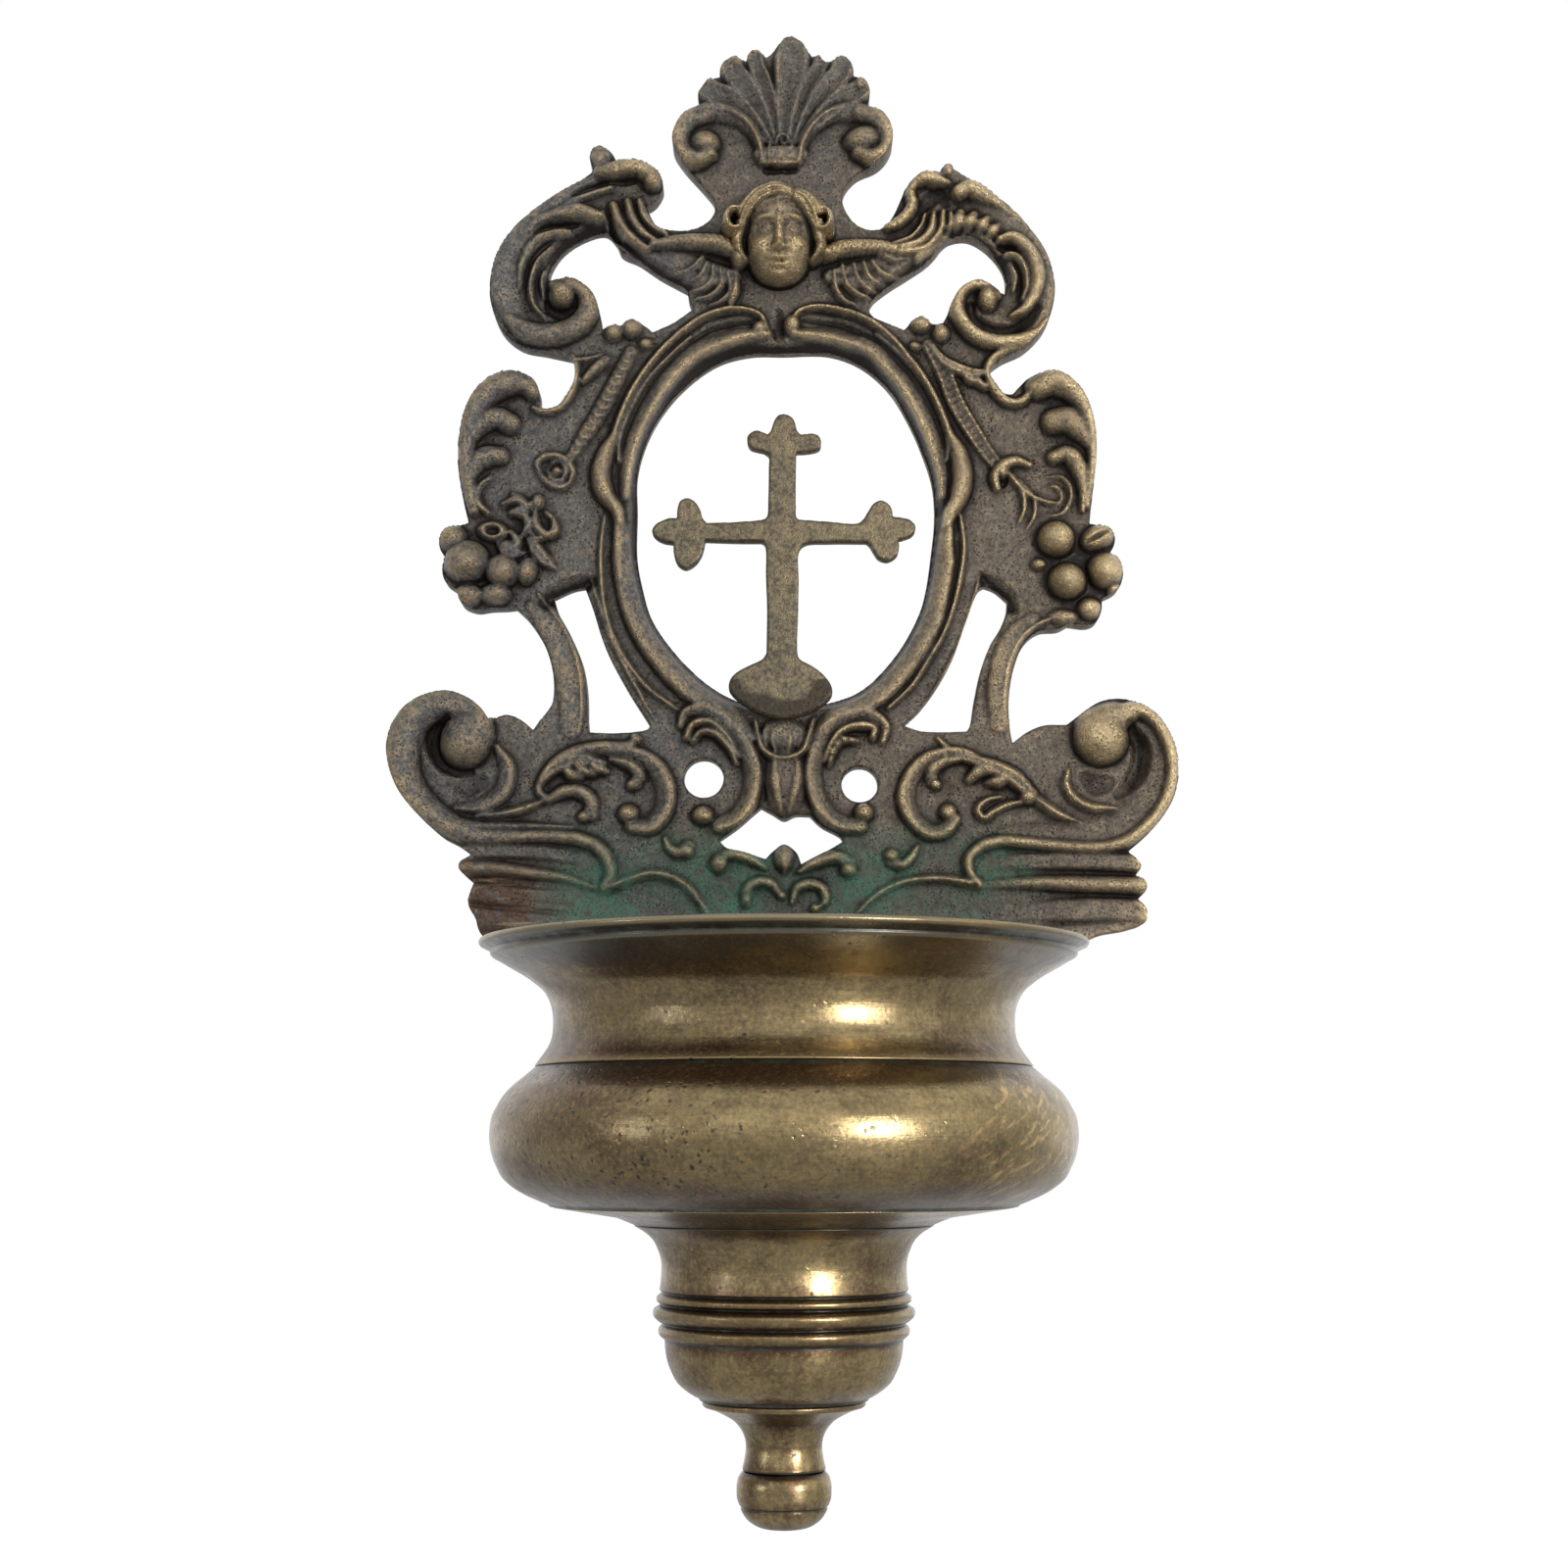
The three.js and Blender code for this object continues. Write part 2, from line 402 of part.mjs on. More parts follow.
const leafShares = [
  { breadth: 0.36, rise: 0.30, ends: [0.3, 0.2], path: [[0.425, 0.695], [0.450, 0.722], [0.480, 0.727],
    [0.515, 0.708], [0.538, 0.668], [0.549, 0.610], [0.546, 0.530]] },
  { breadth: 0.38, rise: 0.34, ends: [0.7, 0.2], path: [[0.475, 0.645], [0.500, 0.648], [0.525, 0.630],
    [0.543, 0.606]] },
  { breadth: 0.26, rise: 0.26, ends: [0.6, 0.3], path: [[0.475, 0.585], [0.500, 0.586], [0.522, 0.565],
    [0.531, 0.530], [0.529, 0.490]] },
  { breadth: 0.14, rise: 0.14, ends: [0.3, 0.3], path: [[0.412, 0.560], [0.430, 0.520], [0.460, 0.502],
    [0.490, 0.500]] },
  { breadth: 0.16, rise: 0.16, ends: [0.3, 0.3], path: [[0.405, 0.560], [0.425, 0.520], [0.430, 0.480],
    [0.412, 0.455]] },
  { breadth: 0.22, rise: 0.20, ends: [0.4, 0.4], path: [[0.378, 0.520], [0.385, 0.560], [0.405, 0.575],
    [0.435, 0.566]] },
  { breadth: 0.22, rise: 0.24, ends: [0.3, 0.4], path: [[0.265, 0.775], [0.300, 0.748], [0.345, 0.733],
    [0.378, 0.698], [0.410, 0.681], [0.435, 0.700]] },
  { breadth: 0.28, rise: 0.20, ends: [0.4, 0.5], path: [[0.272, 0.765], [0.300, 0.705], [0.335, 0.645],
    [0.372, 0.583]] },
  { breadth: 0.36, rise: 0.28, ends: [0.3, 0.2], path: [[-0.450, 0.690], [-0.458, 0.716],
    [-0.492, 0.728], [-0.530, 0.708], [-0.556, 0.665], [-0.569, 0.610], [-0.568, 0.550],
    [-0.558, 0.500]] },
  { breadth: 0.34, rise: 0.28, ends: [0.6, 0.2], path: [[-0.490, 0.655], [-0.515, 0.655],
    [-0.545, 0.640], [-0.560, 0.615]] },
  { breadth: 0.34, rise: 0.24, ends: [0.5, 0.2], path: [[-0.505, 0.575], [-0.528, 0.590],
    [-0.550, 0.575], [-0.558, 0.540]] },
  { breadth: 0.20, rise: 0.18, ends: [0.3, 0.4], path: [[-0.430, 0.686], [-0.400, 0.700],
    [-0.385, 0.735], [-0.350, 0.760]] },
  { breadth: 0.26, rise: 0.20, ends: [0.4, 0.5], path: [[-0.280, 0.785], [-0.308, 0.715],
    [-0.345, 0.650], [-0.385, 0.588]] },
  { breadth: 0.22, rise: 0.20, ends: [0.4, 0.4], path: [[-0.430, 0.560], [-0.412, 0.580],
    [-0.390, 0.560], [-0.385, 0.530]] },
  { breadth: 0.22, rise: 0.22, ends: [0.5, 0.3], path: [[-0.460, 0.500], [-0.440, 0.465],
    [-0.415, 0.448]] },
];

const crestShares = [
  { breadth: 0.62, rise: 0.20, ends: [0.2, 0.5], path: [[0.000, 1.180], [0.008, 1.260], [0.014, 1.355]] },
  { breadth: 0.34, rise: 0.18, ends: [0.2, 0.6], path: [[-0.012, 1.175], [-0.028, 1.250],
    [-0.052, 1.328]] },
  { breadth: 0.38, rise: 0.20, ends: [0.2, 0.7], path: [[-0.020, 1.170], [-0.052, 1.250],
    [-0.092, 1.312]] },
  { breadth: 0.42, rise: 0.20, ends: [0.2, 0.7], path: [[-0.030, 1.170], [-0.075, 1.238],
    [-0.132, 1.275]] },
  { breadth: 0.34, rise: 0.18, ends: [0.2, 0.6], path: [[0.012, 1.175], [0.036, 1.250],
    [0.062, 1.325]] },
  { breadth: 0.38, rise: 0.20, ends: [0.2, 0.7], path: [[0.018, 1.170], [0.052, 1.250],
    [0.102, 1.315]] },
  { breadth: 0.40, rise: 0.20, ends: [0.2, 0.7], path: [[0.026, 1.170], [0.070, 1.238],
    [0.138, 1.277]] },
  { breadth: 0.26, rise: 0.24, ends: [0.8, 0.8], path: [[-0.045, 1.138], [0.000, 1.135],
    [0.030, 1.135]] },
];

const wingShares = [
  { breadth: 0.34, rise: 0.42, ends: [0.7, 0.3], path: [[0.068, 0.952], [0.100, 0.964], [0.150, 0.970],
    [0.200, 0.972], [0.245, 0.988], [0.275, 1.022], [0.288, 1.048]] },
  { breadth: 0.20, rise: 0.30, ends: [0.4, 0.3], path: [[0.180, 0.958], [0.215, 0.950], [0.250, 0.958],
    [0.283, 0.995]] },
  { breadth: 0.20, rise: 0.28, ends: [0.4, 0.3], path: [[0.155, 0.950], [0.185, 0.930], [0.225, 0.928]] },
  { breadth: 0.18, rise: 0.26, ends: [0.4, 0.3], path: [[0.130, 0.945], [0.155, 0.918], [0.195, 0.908]] },
  { breadth: 0.18, rise: 0.24, ends: [0.4, 0.3], path: [[0.108, 0.940], [0.125, 0.910], [0.162, 0.890]] },
  { breadth: 0.16, rise: 0.22, ends: [0.4, 0.3], path: [[0.085, 0.932], [0.100, 0.900], [0.135, 0.875]] },
  { breadth: 0.36, rise: 0.42, ends: [0.7, 0.3], path: [[-0.082, 0.945], [-0.110, 0.965],
    [-0.160, 0.972], [-0.210, 0.976], [-0.255, 0.985], [-0.285, 1.015], [-0.310, 1.055]] },
  { breadth: 0.22, rise: 0.28, ends: [0.4, 0.3], path: [[-0.190, 0.955], [-0.225, 0.948],
    [-0.260, 0.968]] },
  { breadth: 0.22, rise: 0.26, ends: [0.4, 0.3], path: [[-0.150, 0.948], [-0.180, 0.930],
    [-0.215, 0.932]] },
  { breadth: 0.20, rise: 0.24, ends: [0.4, 0.3], path: [[-0.128, 0.940], [-0.150, 0.912],
    [-0.180, 0.912]] },
  { breadth: 0.20, rise: 0.22, ends: [0.4, 0.3], path: [[-0.108, 0.930], [-0.125, 0.895],
    [-0.158, 0.880]] },
];

const plinthShares = [
  { breadth: 0.18, rise: 0.18, ends: [0.5, 0.4], path: [[0.340, -0.183], [0.300, -0.178],
    [0.240, -0.172], [0.200, -0.180], [0.165, -0.203], [0.132, -0.238]] },
  { breadth: 0.18, rise: 0.18, ends: [0.5, 0.4], path: [[-0.312, -0.188], [-0.270, -0.178],
    [-0.225, -0.166], [-0.190, -0.175], [-0.163, -0.200], [-0.140, -0.238]] },
  { breadth: 0.22, rise: 0.18, ends: [0.3, 0.9], path: [[0.420, -0.186], [0.520, -0.184],
    [0.618, -0.186]] },
  { breadth: 0.22, rise: 0.18, ends: [0.4, 0.9], path: [[-0.330, -0.182], [-0.420, -0.164],
    [-0.500, -0.160], [-0.552, -0.158]] },
  { breadth: 0.30, rise: 0.26, ends: [0.4, 0.6], path: [[0.262, 0.072], [0.320, 0.047], [0.380, 0.024],
    [0.430, -0.012], [0.446, -0.030]] },
  { breadth: 0.18, rise: 0.18, ends: [0.5, 0.2], path: [[0.446, -0.034], [0.480, -0.060],
    [0.522, -0.077]] },
  { breadth: 0.22, rise: 0.22, ends: [0.4, 0.7], path: [[0.330, 0.035], [0.280, 0.044], [0.240, 0.030],
    [0.216, -0.010], [0.216, -0.050], [0.240, -0.086], [0.270, -0.088], [0.288, -0.066]] },
  { breadth: 0.18, rise: 0.18, ends: [0.4, 0.6], path: [[0.420, -0.025], [0.380, -0.028],
    [0.344, -0.040], [0.344, -0.064], [0.370, -0.057]] },
  { breadth: 0.30, rise: 0.24, ends: [0.3, 0.5], path: [[-0.250, 0.066], [-0.320, 0.058],
    [-0.390, 0.044], [-0.430, 0.014], [-0.440, -0.014]] },
  { breadth: 0.20, rise: 0.18, ends: [0.5, 0.2], path: [[-0.435, -0.025], [-0.470, -0.048],
    [-0.545, -0.063]] },
  { breadth: 0.22, rise: 0.22, ends: [0.4, 0.7], path: [[-0.320, 0.040], [-0.262, 0.040],
    [-0.226, 0.018], [-0.208, -0.015], [-0.212, -0.050], [-0.240, -0.084], [-0.266, -0.082]] },
  { breadth: 0.18, rise: 0.18, ends: [0.4, 0.6], path: [[-0.412, -0.024], [-0.370, -0.017],
    [-0.338, -0.035], [-0.342, -0.060], [-0.360, -0.064]] },
  { breadth: 0.24, rise: 0.30, ends: [0.3, 0.5], path: [[-0.050, 0.040], [-0.085, 0.086],
    [-0.120, 0.124], [-0.158, 0.126], [-0.184, 0.095]] },
  { breadth: 0.22, rise: 0.26, ends: [0.3, 0.4], path: [[-0.062, 0.042], [-0.100, 0.086],
    [-0.135, 0.100], [-0.170, 0.082]] },
  { breadth: 0.24, rise: 0.30, ends: [0.3, 0.5], path: [[0.045, 0.040], [0.075, 0.086],
    [0.110, 0.116], [0.150, 0.116], [0.172, 0.086]] },
  { breadth: 0.22, rise: 0.26, ends: [0.3, 0.4], path: [[0.058, 0.040], [0.085, 0.078],
    [0.120, 0.094], [0.148, 0.086]] },
  { breadth: 0.28, rise: 0.28, ends: [0.3, 0.7], path: [[-0.112, 0.062], [-0.078, 0.040],
    [-0.062, 0.010], [-0.064, -0.022], [-0.082, -0.052], [-0.115, -0.068]] },
  { breadth: 0.28, rise: 0.28, ends: [0.3, 0.7], path: [[0.075, 0.055], [0.056, 0.020], [0.056, -0.016],
    [0.068, -0.048], [0.092, -0.070], [0.115, -0.072]] },
  { breadth: 0.26, rise: 0.26, ends: [0.5, 0.3], path: [[-0.018, 0.030], [-0.014, -0.010],
    [-0.006, -0.058]] },
  { breadth: 0.26, rise: 0.26, ends: [0.5, 0.3], path: [[0.022, 0.030], [0.018, -0.010],
    [0.008, -0.056]] },
  { breadth: 0.20, rise: 0.20, ends: [0.8, 0.3], path: [[-0.110, -0.145], [-0.080, -0.132],
    [-0.045, -0.146], [-0.022, -0.168]] },
  { breadth: 0.20, rise: 0.20, ends: [0.8, 0.3], path: [[0.112, -0.152], [0.082, -0.134],
    [0.048, -0.150], [0.024, -0.168]] },
];

// The rounded bosses of the plate: where each one sits, its breadth and height, and its rise.
const bossShares = [
  { at: [0.563, 0.067], across: 0.94, tall: 0.94, rise: 0.46 },
  { at: [-0.570, 0.072], across: 0.90, tall: 0.90, rise: 0.40 },
  { at: [0.368, 0.877], across: 0.52, tall: 0.48, rise: 0.40 },
  { at: [-0.392, 0.884], across: 0.50, tall: 0.50, rise: 0.36 },
  { at: [0.154, 1.188], across: 0.80, tall: 0.66, rise: 0.40 },
  { at: [-0.154, 1.172], across: 0.66, tall: 0.56, rise: 0.38 },
  { at: [-0.243, 1.100], across: 0.42, tall: 0.40, rise: 0.40 },
  { at: [-0.336, 1.146], across: 0.34, tall: 0.44, rise: 0.20 },
  { at: [0.245, 0.824], across: 0.40, tall: 0.34, rise: 0.26 },
  { at: [0.277, 0.813], across: 0.32, tall: 0.30, rise: 0.24 },
  { at: [0.234, 0.787], across: 0.26, tall: 0.24, rise: 0.20 },
  { at: [-0.276, 0.818], across: 0.38, tall: 0.34, rise: 0.24 },
  { at: [-0.313, 0.813], across: 0.30, tall: 0.30, rise: 0.22 },
  { at: [-0.248, 0.790], across: 0.28, tall: 0.24, rise: 0.20 },
  { at: [0.481, 0.432], across: 0.68, tall: 0.66, rise: 0.52 },
  { at: [0.505, 0.358], across: 0.68, tall: 0.68, rise: 0.56 },
  { at: [0.566, 0.374], across: 0.70, tall: 0.72, rise: 0.48 },
  { at: [0.554, 0.436], across: 0.66, tall: 0.44, rise: 0.34 },
  { at: [0.542, 0.308], across: 0.46, tall: 0.44, rise: 0.34 },
  { at: [0.450, 0.387], across: 0.30, tall: 0.24, rise: 0.24 },
  { at: [0.468, 0.290], across: 0.46, tall: 0.26, rise: 0.22 },
  { at: [-0.590, 0.431], across: 0.46, tall: 0.52, rise: 0.30 },
  { at: [-0.564, 0.384], across: 0.80, tall: 0.72, rise: 0.50 },
  { at: [-0.495, 0.374], across: 0.56, tall: 0.62, rise: 0.46 },
  { at: [-0.550, 0.328], across: 0.50, tall: 0.42, rise: 0.32 },
  { at: [-0.508, 0.326], across: 0.40, tall: 0.36, rise: 0.28 },
  { at: [-0.520, 0.445], across: 0.66, tall: 0.34, rise: 0.28 },
  { at: [-0.452, 0.398], across: 0.34, tall: 0.44, rise: 0.28 },
  { at: [0.280, -0.052], across: 0.36, tall: 0.36, rise: 0.28 },
  { at: [-0.273, -0.060], across: 0.40, tall: 0.36, rise: 0.28 },
  { at: [-0.138, -0.056], across: 0.38, tall: 0.34, rise: 0.32 },
  { at: [0.133, -0.058], across: 0.38, tall: 0.32, rise: 0.32 },
  { at: [0.000, 0.070], across: 0.86, tall: 0.76, rise: 0.26 },
  { at: [0.000, -0.138], across: 0.44, tall: 0.52, rise: 0.24 },
  { at: [-0.113, -0.142], across: 0.34, tall: 0.34, rise: 0.26 },
  { at: [0.116, -0.156], across: 0.28, tall: 0.28, rise: 0.24 },
  { at: [-0.164, -0.120], across: 0.28, tall: 0.26, rise: 0.24 },
  { at: [0.190, -0.128], across: 0.28, tall: 0.26, rise: 0.24 },
  { at: [-0.037, -0.205], across: 0.46, tall: 0.42, rise: 0.22 },
  { at: [0.044, -0.213], across: 0.50, tall: 0.48, rise: 0.22 },
];

// The cherub's head, on plain proportions: skull, cap of hair, side curls, cheeks, nose and chin.
const cherubShares = [
  { at: [-0.008, 1.000], across: 1.30, tall: 1.94, rise: 0.80 },
  { at: [-0.010, 1.052], across: 1.72, tall: 1.06, rise: 0.74 },
  { at: [-0.086, 1.040], across: 0.42, tall: 0.44, rise: 0.62 },
  { at: [0.066, 1.036], across: 0.42, tall: 0.44, rise: 0.62 },
  { at: [-0.008, 0.982], across: 0.26, tall: 0.42, rise: 1.00 },
  { at: [-0.008, 0.918], across: 0.46, tall: 0.32, rise: 0.84 },
];

// Where the cross is sawn out. Its foot is a mound, and three of its ends are trefoils.
const crossShares = [
  [[0.009, 0.655], [0.016, 0.649], [0.020, 0.640], [0.023, 0.628], [0.030, 0.620]],
  [[0.040, 0.621], [0.050, 0.622], [0.060, 0.619], [0.065, 0.612], [0.066, 0.603], [0.064, 0.596],
    [0.056, 0.592], [0.040, 0.589], [0.022, 0.588]],
  [[0.021, 0.540], [0.021, 0.490], [0.022, 0.468], [0.026, 0.464]],
  [[0.080, 0.460], [0.130, 0.457], [0.140, 0.464], [0.149, 0.478], [0.159, 0.493], [0.172, 0.499],
    [0.184, 0.494], [0.191, 0.484], [0.193, 0.470]],
  [[0.208, 0.468], [0.223, 0.464], [0.232, 0.455], [0.233, 0.446], [0.227, 0.437], [0.213, 0.431],
    [0.202, 0.428]],
  [[0.204, 0.416], [0.201, 0.402], [0.193, 0.394], [0.181, 0.390], [0.167, 0.395], [0.159, 0.406],
    [0.152, 0.418], [0.146, 0.424]],
  [[0.080, 0.424], [0.038, 0.421], [0.027, 0.410], [0.026, 0.350], [0.025, 0.300], [0.025, 0.216],
    [0.030, 0.210], [0.050, 0.199], [0.070, 0.183], [0.083, 0.164], [0.084, 0.148], [0.060, 0.125],
    [0.030, 0.112], [-0.003, 0.107], [-0.033, 0.112], [-0.065, 0.128], [-0.090, 0.148],
    [-0.097, 0.160], [-0.094, 0.176], [-0.082, 0.189], [-0.060, 0.201], [-0.038, 0.212],
    [-0.031, 0.222]],
  [[-0.030, 0.300], [-0.032, 0.360], [-0.034, 0.420], [-0.040, 0.425]],
  [[-0.080, 0.425], [-0.140, 0.427]],
  [[-0.142, 0.414], [-0.147, 0.399], [-0.158, 0.384], [-0.174, 0.376], [-0.188, 0.384],
    [-0.195, 0.402], [-0.196, 0.422]],
  [[-0.214, 0.425], [-0.228, 0.433], [-0.234, 0.443], [-0.228, 0.455], [-0.214, 0.463],
    [-0.203, 0.467], [-0.190, 0.467]],
  [[-0.189, 0.484], [-0.184, 0.498], [-0.172, 0.503], [-0.159, 0.497], [-0.149, 0.482],
    [-0.144, 0.466], [-0.137, 0.458]],
  [[-0.080, 0.460], [-0.035, 0.465], [-0.030, 0.470], [-0.028, 0.500], [-0.027, 0.560],
    [-0.027, 0.582], [-0.036, 0.590]],
  [[-0.050, 0.593], [-0.060, 0.597], [-0.065, 0.606], [-0.065, 0.616], [-0.058, 0.624],
    [-0.048, 0.627], [-0.038, 0.624], [-0.029, 0.620]],
  [[-0.024, 0.626], [-0.020, 0.638], [-0.016, 0.648], [-0.009, 0.656], [0.000, 0.658]],
];

// The turned outsides, each as radius and drop from the top of its piece.
const collarShares = [
  [0.991, 0], [1, 0.031], [0.991, 0.071], [0.972, 0.102], [0.898, 0.219], [0.854, 0.281],
  [0.817, 0.342], [0.790, 0.398], [0.773, 0.459], [0.762, 0.520], [0.756, 0.643], [0.758, 0.765],
  [0.781, 0.888], [0.813, 1],
];
const bulgeShares = [
  [0.851, 0], [0.918, 0.124], [0.964, 0.238], [0.988, 0.348], [1, 0.514], [0.990, 0.629],
  [0.969, 0.738], [0.924, 0.852], [0.882, 0.910], [0.824, 0.967], [0.793, 1],
];
const floorShares = [[1.130, 0.590], [1, 1]];
const pendantShares = [
  [1, 0], [0.921, 0.042], [0.869, 0.088], [0.843, 0.135], [0.817, 0.246], [0.826, 0.358],
  [0.812, 0.381], [0.847, 0.412], [0.830, 0.438], [0.871, 0.492], [0.825, 0.554], [0.834, 0.596],
  [0.795, 0.654], [0.786, 0.715], [0.760, 0.808], [0.707, 0.896], [0.655, 0.938], [0.572, 0.985],
  [0.560, 1],
];
const stemShares = [
  [1, 0], [0.984, 0.077], [0.766, 0.183], [0.605, 0.298], [0.524, 0.413], [0.465, 0.625],
  [0.488, 0.846], [0.510, 1],
];
const knobShares = [
  [0.880, 0], [0.960, 0.120], [1, 0.260], [1, 0.370], [0.985, 0.500], [0.925, 0.620], [0.840, 0.770],
  [0.680, 0.890], [0.405, 0.985],
];

// A raised stroke: a spindle turned on the lathe, bent along its path on the plate's ground.
// One half of it lies in the metal. Its breadth swells from one end to the middle and back.
function ridge({ breadth, rise, ends, path }) {
  const curve = new THREE.CatmullRomCurve3(path.map(onPanel), false, 'centripetal');
  const steps = Math.max(3, Math.round(curve.getLength() / ridgeStep));
  const halfBreadth = breadth * motifWidth / 2;
  const profile = [new THREE.Vector2(0, 0)];
  for (let i = 0; i <= steps; i++) {
    const along = i / steps;
    const end = along < 0.5 ? ends[0] : ends[1];
    const swell = Math.sin(Math.PI * along) ** 0.5;
    profile.push(new THREE.Vector2(halfBreadth * (end + (1 - end) * swell), along));
  }
  profile.push(new THREE.Vector2(0, 1));
  const spindle = new THREE.LatheGeometry(profile, 4);
  const position = spindle.attributes.position;
  const flatten = rise * motifRise / halfBreadth / (1 - sunkShare);
  const axis = plateThickness - sunkShare * halfBreadth * flatten;
  for (let i = 0; i < position.count; i++) {
    const place = curve.getPointAt(position.getY(i));
    const heading = curve.getTangentAt(position.getY(i));
    const aside = position.getX(i);
    const out = axis + position.getZ(i) * flatten;
    position.setXYZ(i, place.x + aside * heading.y, -out, place.y - aside * heading.x);
  }
  return toSolid(spindle);
}

// A rounded boss: a sphere drawn out to its breadth, height and rise, half of it in the metal.
function boss({ at, across, tall, rise }) {
  const geometry = new THREE.SphereGeometry(1, 8, 6);
  geometry.scale(across * motifWidth / 2, rise * motifRise, tall * motifWidth / 2);
  const place = onPanel(at);
  geometry.translate(place.x, -plateThickness, place.y);
  return toSolid(geometry);
}

function screwHole(shares, diameter) {
  const place = onPanel(shares);
  return bar(diameter / 2, -overrun, overrun, place.x, place.y, 24);
}

// The rivets stand side by side, and each takes the same places in the plate and the bulge.
const rivetPlaces = [-rivetSpacing / 2, rivetSpacing / 2];

function rivetHole(x) {
  const shank = rivetShank + rivetClearance;
  const tail = rivetTail + rivetClearance;
  const profile = [[0, -overrun], [tail, -overrun], [tail, 0], [shank, rivetTailDepth]];
  return turnedOffWall([...profile, [shank, overrun], [0, overrun]], x, rivetLevel);
}

// A seat for a rivet's head, cut flat into the inside of the bulge.
function spotFace(x) {
  return bar(rivetHead + rivetClearance, spotSeat, overrun, x, rivetLevel);
}

function makeRivet(name, x) {
  const crown = spotSeat + rivetHeadHeight;
  const profile = [[0, 0], [rivetTail, 0], [rivetShank, rivetTailDepth], [rivetShank, spotSeat],
    [rivetHead, spotSeat], [rivetHead, spotSeat + rivetHeadHeight * 0.25],
    [rivetHead * 0.75, spotSeat + rivetHeadHeight * 0.75], [rivetHead * 0.35, crown], [0, crown]];
  return named(name, turnedOffWall(profile, x, rivetLevel), 'turned');
}

// The tongue runs from behind the panel down past the rivets, with its lower corners rounded.
function tongueOutline() {
  const half = tongueWidth / 2;
  const foot = rivetLevel - tongueEnd;
  const shape = new THREE.Shape();
  shape.moveTo(-half, -rimDrop / 2);
  shape.lineTo(-half, rivetLevel);
  shape.absellipse(0, rivetLevel, half, rivetLevel - foot, Math.PI, Math.PI * 2, false, 0);
  shape.lineTo(half, -rimDrop / 2);
  return shape.getPoints(10).slice(0, -1);
}

function makeBackPlate() {
  const panel = outline(plateOutlineShares);
  const ground = sheet(panel, 0, plateThickness).add(sheet(tongueOutline(), 0, plateThickness));
  const motifs = [scrollShares, frameShares, leafShares, crestShares, wingShares, plinthShares];
  const raised = joined([...motifs.flat().map(ridge), ...[...bossShares, ...cherubShares].map(boss)]);
  const relief = raised.intersect(sheet(panel, 0, plateThickness + motifRise));
  const seat = grown(outline(crossShares), seatClearance);
  const openings = [roundOutline(ovalShares), ...openingShares.map(outline)];
  const cuts = [
    sheet(seat, plateThickness, overrun),
    ...openings.map((opening) => sheet(opening, -overrun, overrun)),
    screwHole(screwHoleLeftShares, screwHoleLeft),
    screwHole(screwHoleRightShares, screwHoleRight),
    ...rivetPlaces.map(rivetHole),
  ];
  return named('back_plate', ground.add(relief).subtract(joined(cuts)), 'patina');
}

// An outline moved outwards all round, corner by corner.
function grown(points, distance) {
  return points.map((point, i) => {
    const before = points.at(i - 1);
    const after = points[(i + 1) % points.length];
    const along = after.clone().sub(before).normalize();
    return new THREE.Vector2(point.x - along.y * distance, point.y + along.x * distance);
  });
}

function makeCross() {
  const solid = sheet(outline(crossShares), plateThickness, plateThickness + crossThickness);
  return named('cross', solid, 'crossBrass');
}

// Everything nearer the wall than the plate's ground, seen from the basin's axis.
function behindGround() {
  const block = new THREE.BoxGeometry(overrun * 6, overrun * 6, overrun * 6);
  block.translate(0, basinAxis - plateThickness + overrun * 3, 0);
  return toSolid(block);
}

function fromAxis(solid) {
  return solid.translate([0, basinAxis, 0]);
}

function makeCollar() {
  const outside = profileOf(collarShares, rimRadius, -rimDrop, collarHeight);
  const inside = insideOf(outside, basinWall, -rimDrop, bulgeTop);
  const mouth = [outside[0][0] - basinWall, -rimDrop];
  const neck = [outside.at(-1)[0] - basinWall, bulgeTop];
  const wall = turned([...outside, neck, ...inside.reverse(), mouth, outside[0]], 40);
  return named('basin_collar', wall.subtract(behindGround()), 'turned');
}

function makeBulge() {
  const outside = profileOf(bulgeShares, bulgeRadius, bulgeTop, bulgeHeight);
  const lipTop = bulgeFoot + lipThickness;
  const inside = insideOf(outside, basinWall, bulgeTop, lipTop);
  const neck = [outside[0][0] - basinWall, bulgeTop];
  const lip = outside.at(-1)[0] - basinLip;
  const seat = [outside.at(-1)[0], lipTop];
  const profile = [...outside, [lip, bulgeFoot], [lip, lipTop], seat, ...inside.reverse(), neck, outside[0]];
  const pads = rivetPlaces.map((x) => fromAxis(bar(padRadius, plateThickness, padSeat, x, rivetLevel)));
  const cuts = rivetPlaces.flatMap((x) => [fromAxis(rivetHole(x)), fromAxis(spotFace(x))]);
  const solid = joined([turned(profile, 40), ...pads]).subtract(joined([...cuts, behindGround()]));
  return named('basin_bulge', solid, 'turned');
}

function makeFloor() {
  const foot = bulgeShares.at(-1)[0] * bulgeRadius - floorEdge;
  const under = profileOf(floorShares, pendantRadius, bulgeFoot, floorThickness);
  const profile = [[rodHole, bulgeFoot], [foot, bulgeFoot], [foot, bulgeFoot - floorEdge], ...under,
    [rodHole, pendantTop], [rodHole, bulgeFoot]];
  return named('basin_floor', turned(profile, 40), 'turned');
}

function makePendant() {
  const outside = profileOf(pendantShares, pendantRadius, pendantTop, pendantHeight);
  const foot = stemTop + pendantFoot;
  const inside = insideOf(outside, pendantWall, pendantTop, foot);
  const mouth = [inside[0][0], pendantTop];
  const hollowFoot = [inside.at(-1)[0], foot];
  const profile = [...outside, [rodHole, stemTop], [rodHole, foot], hollowFoot, ...inside.reverse(),
    mouth, outside[0]];
  return named('pendant_body', turned(profile, 28), 'turned');
}

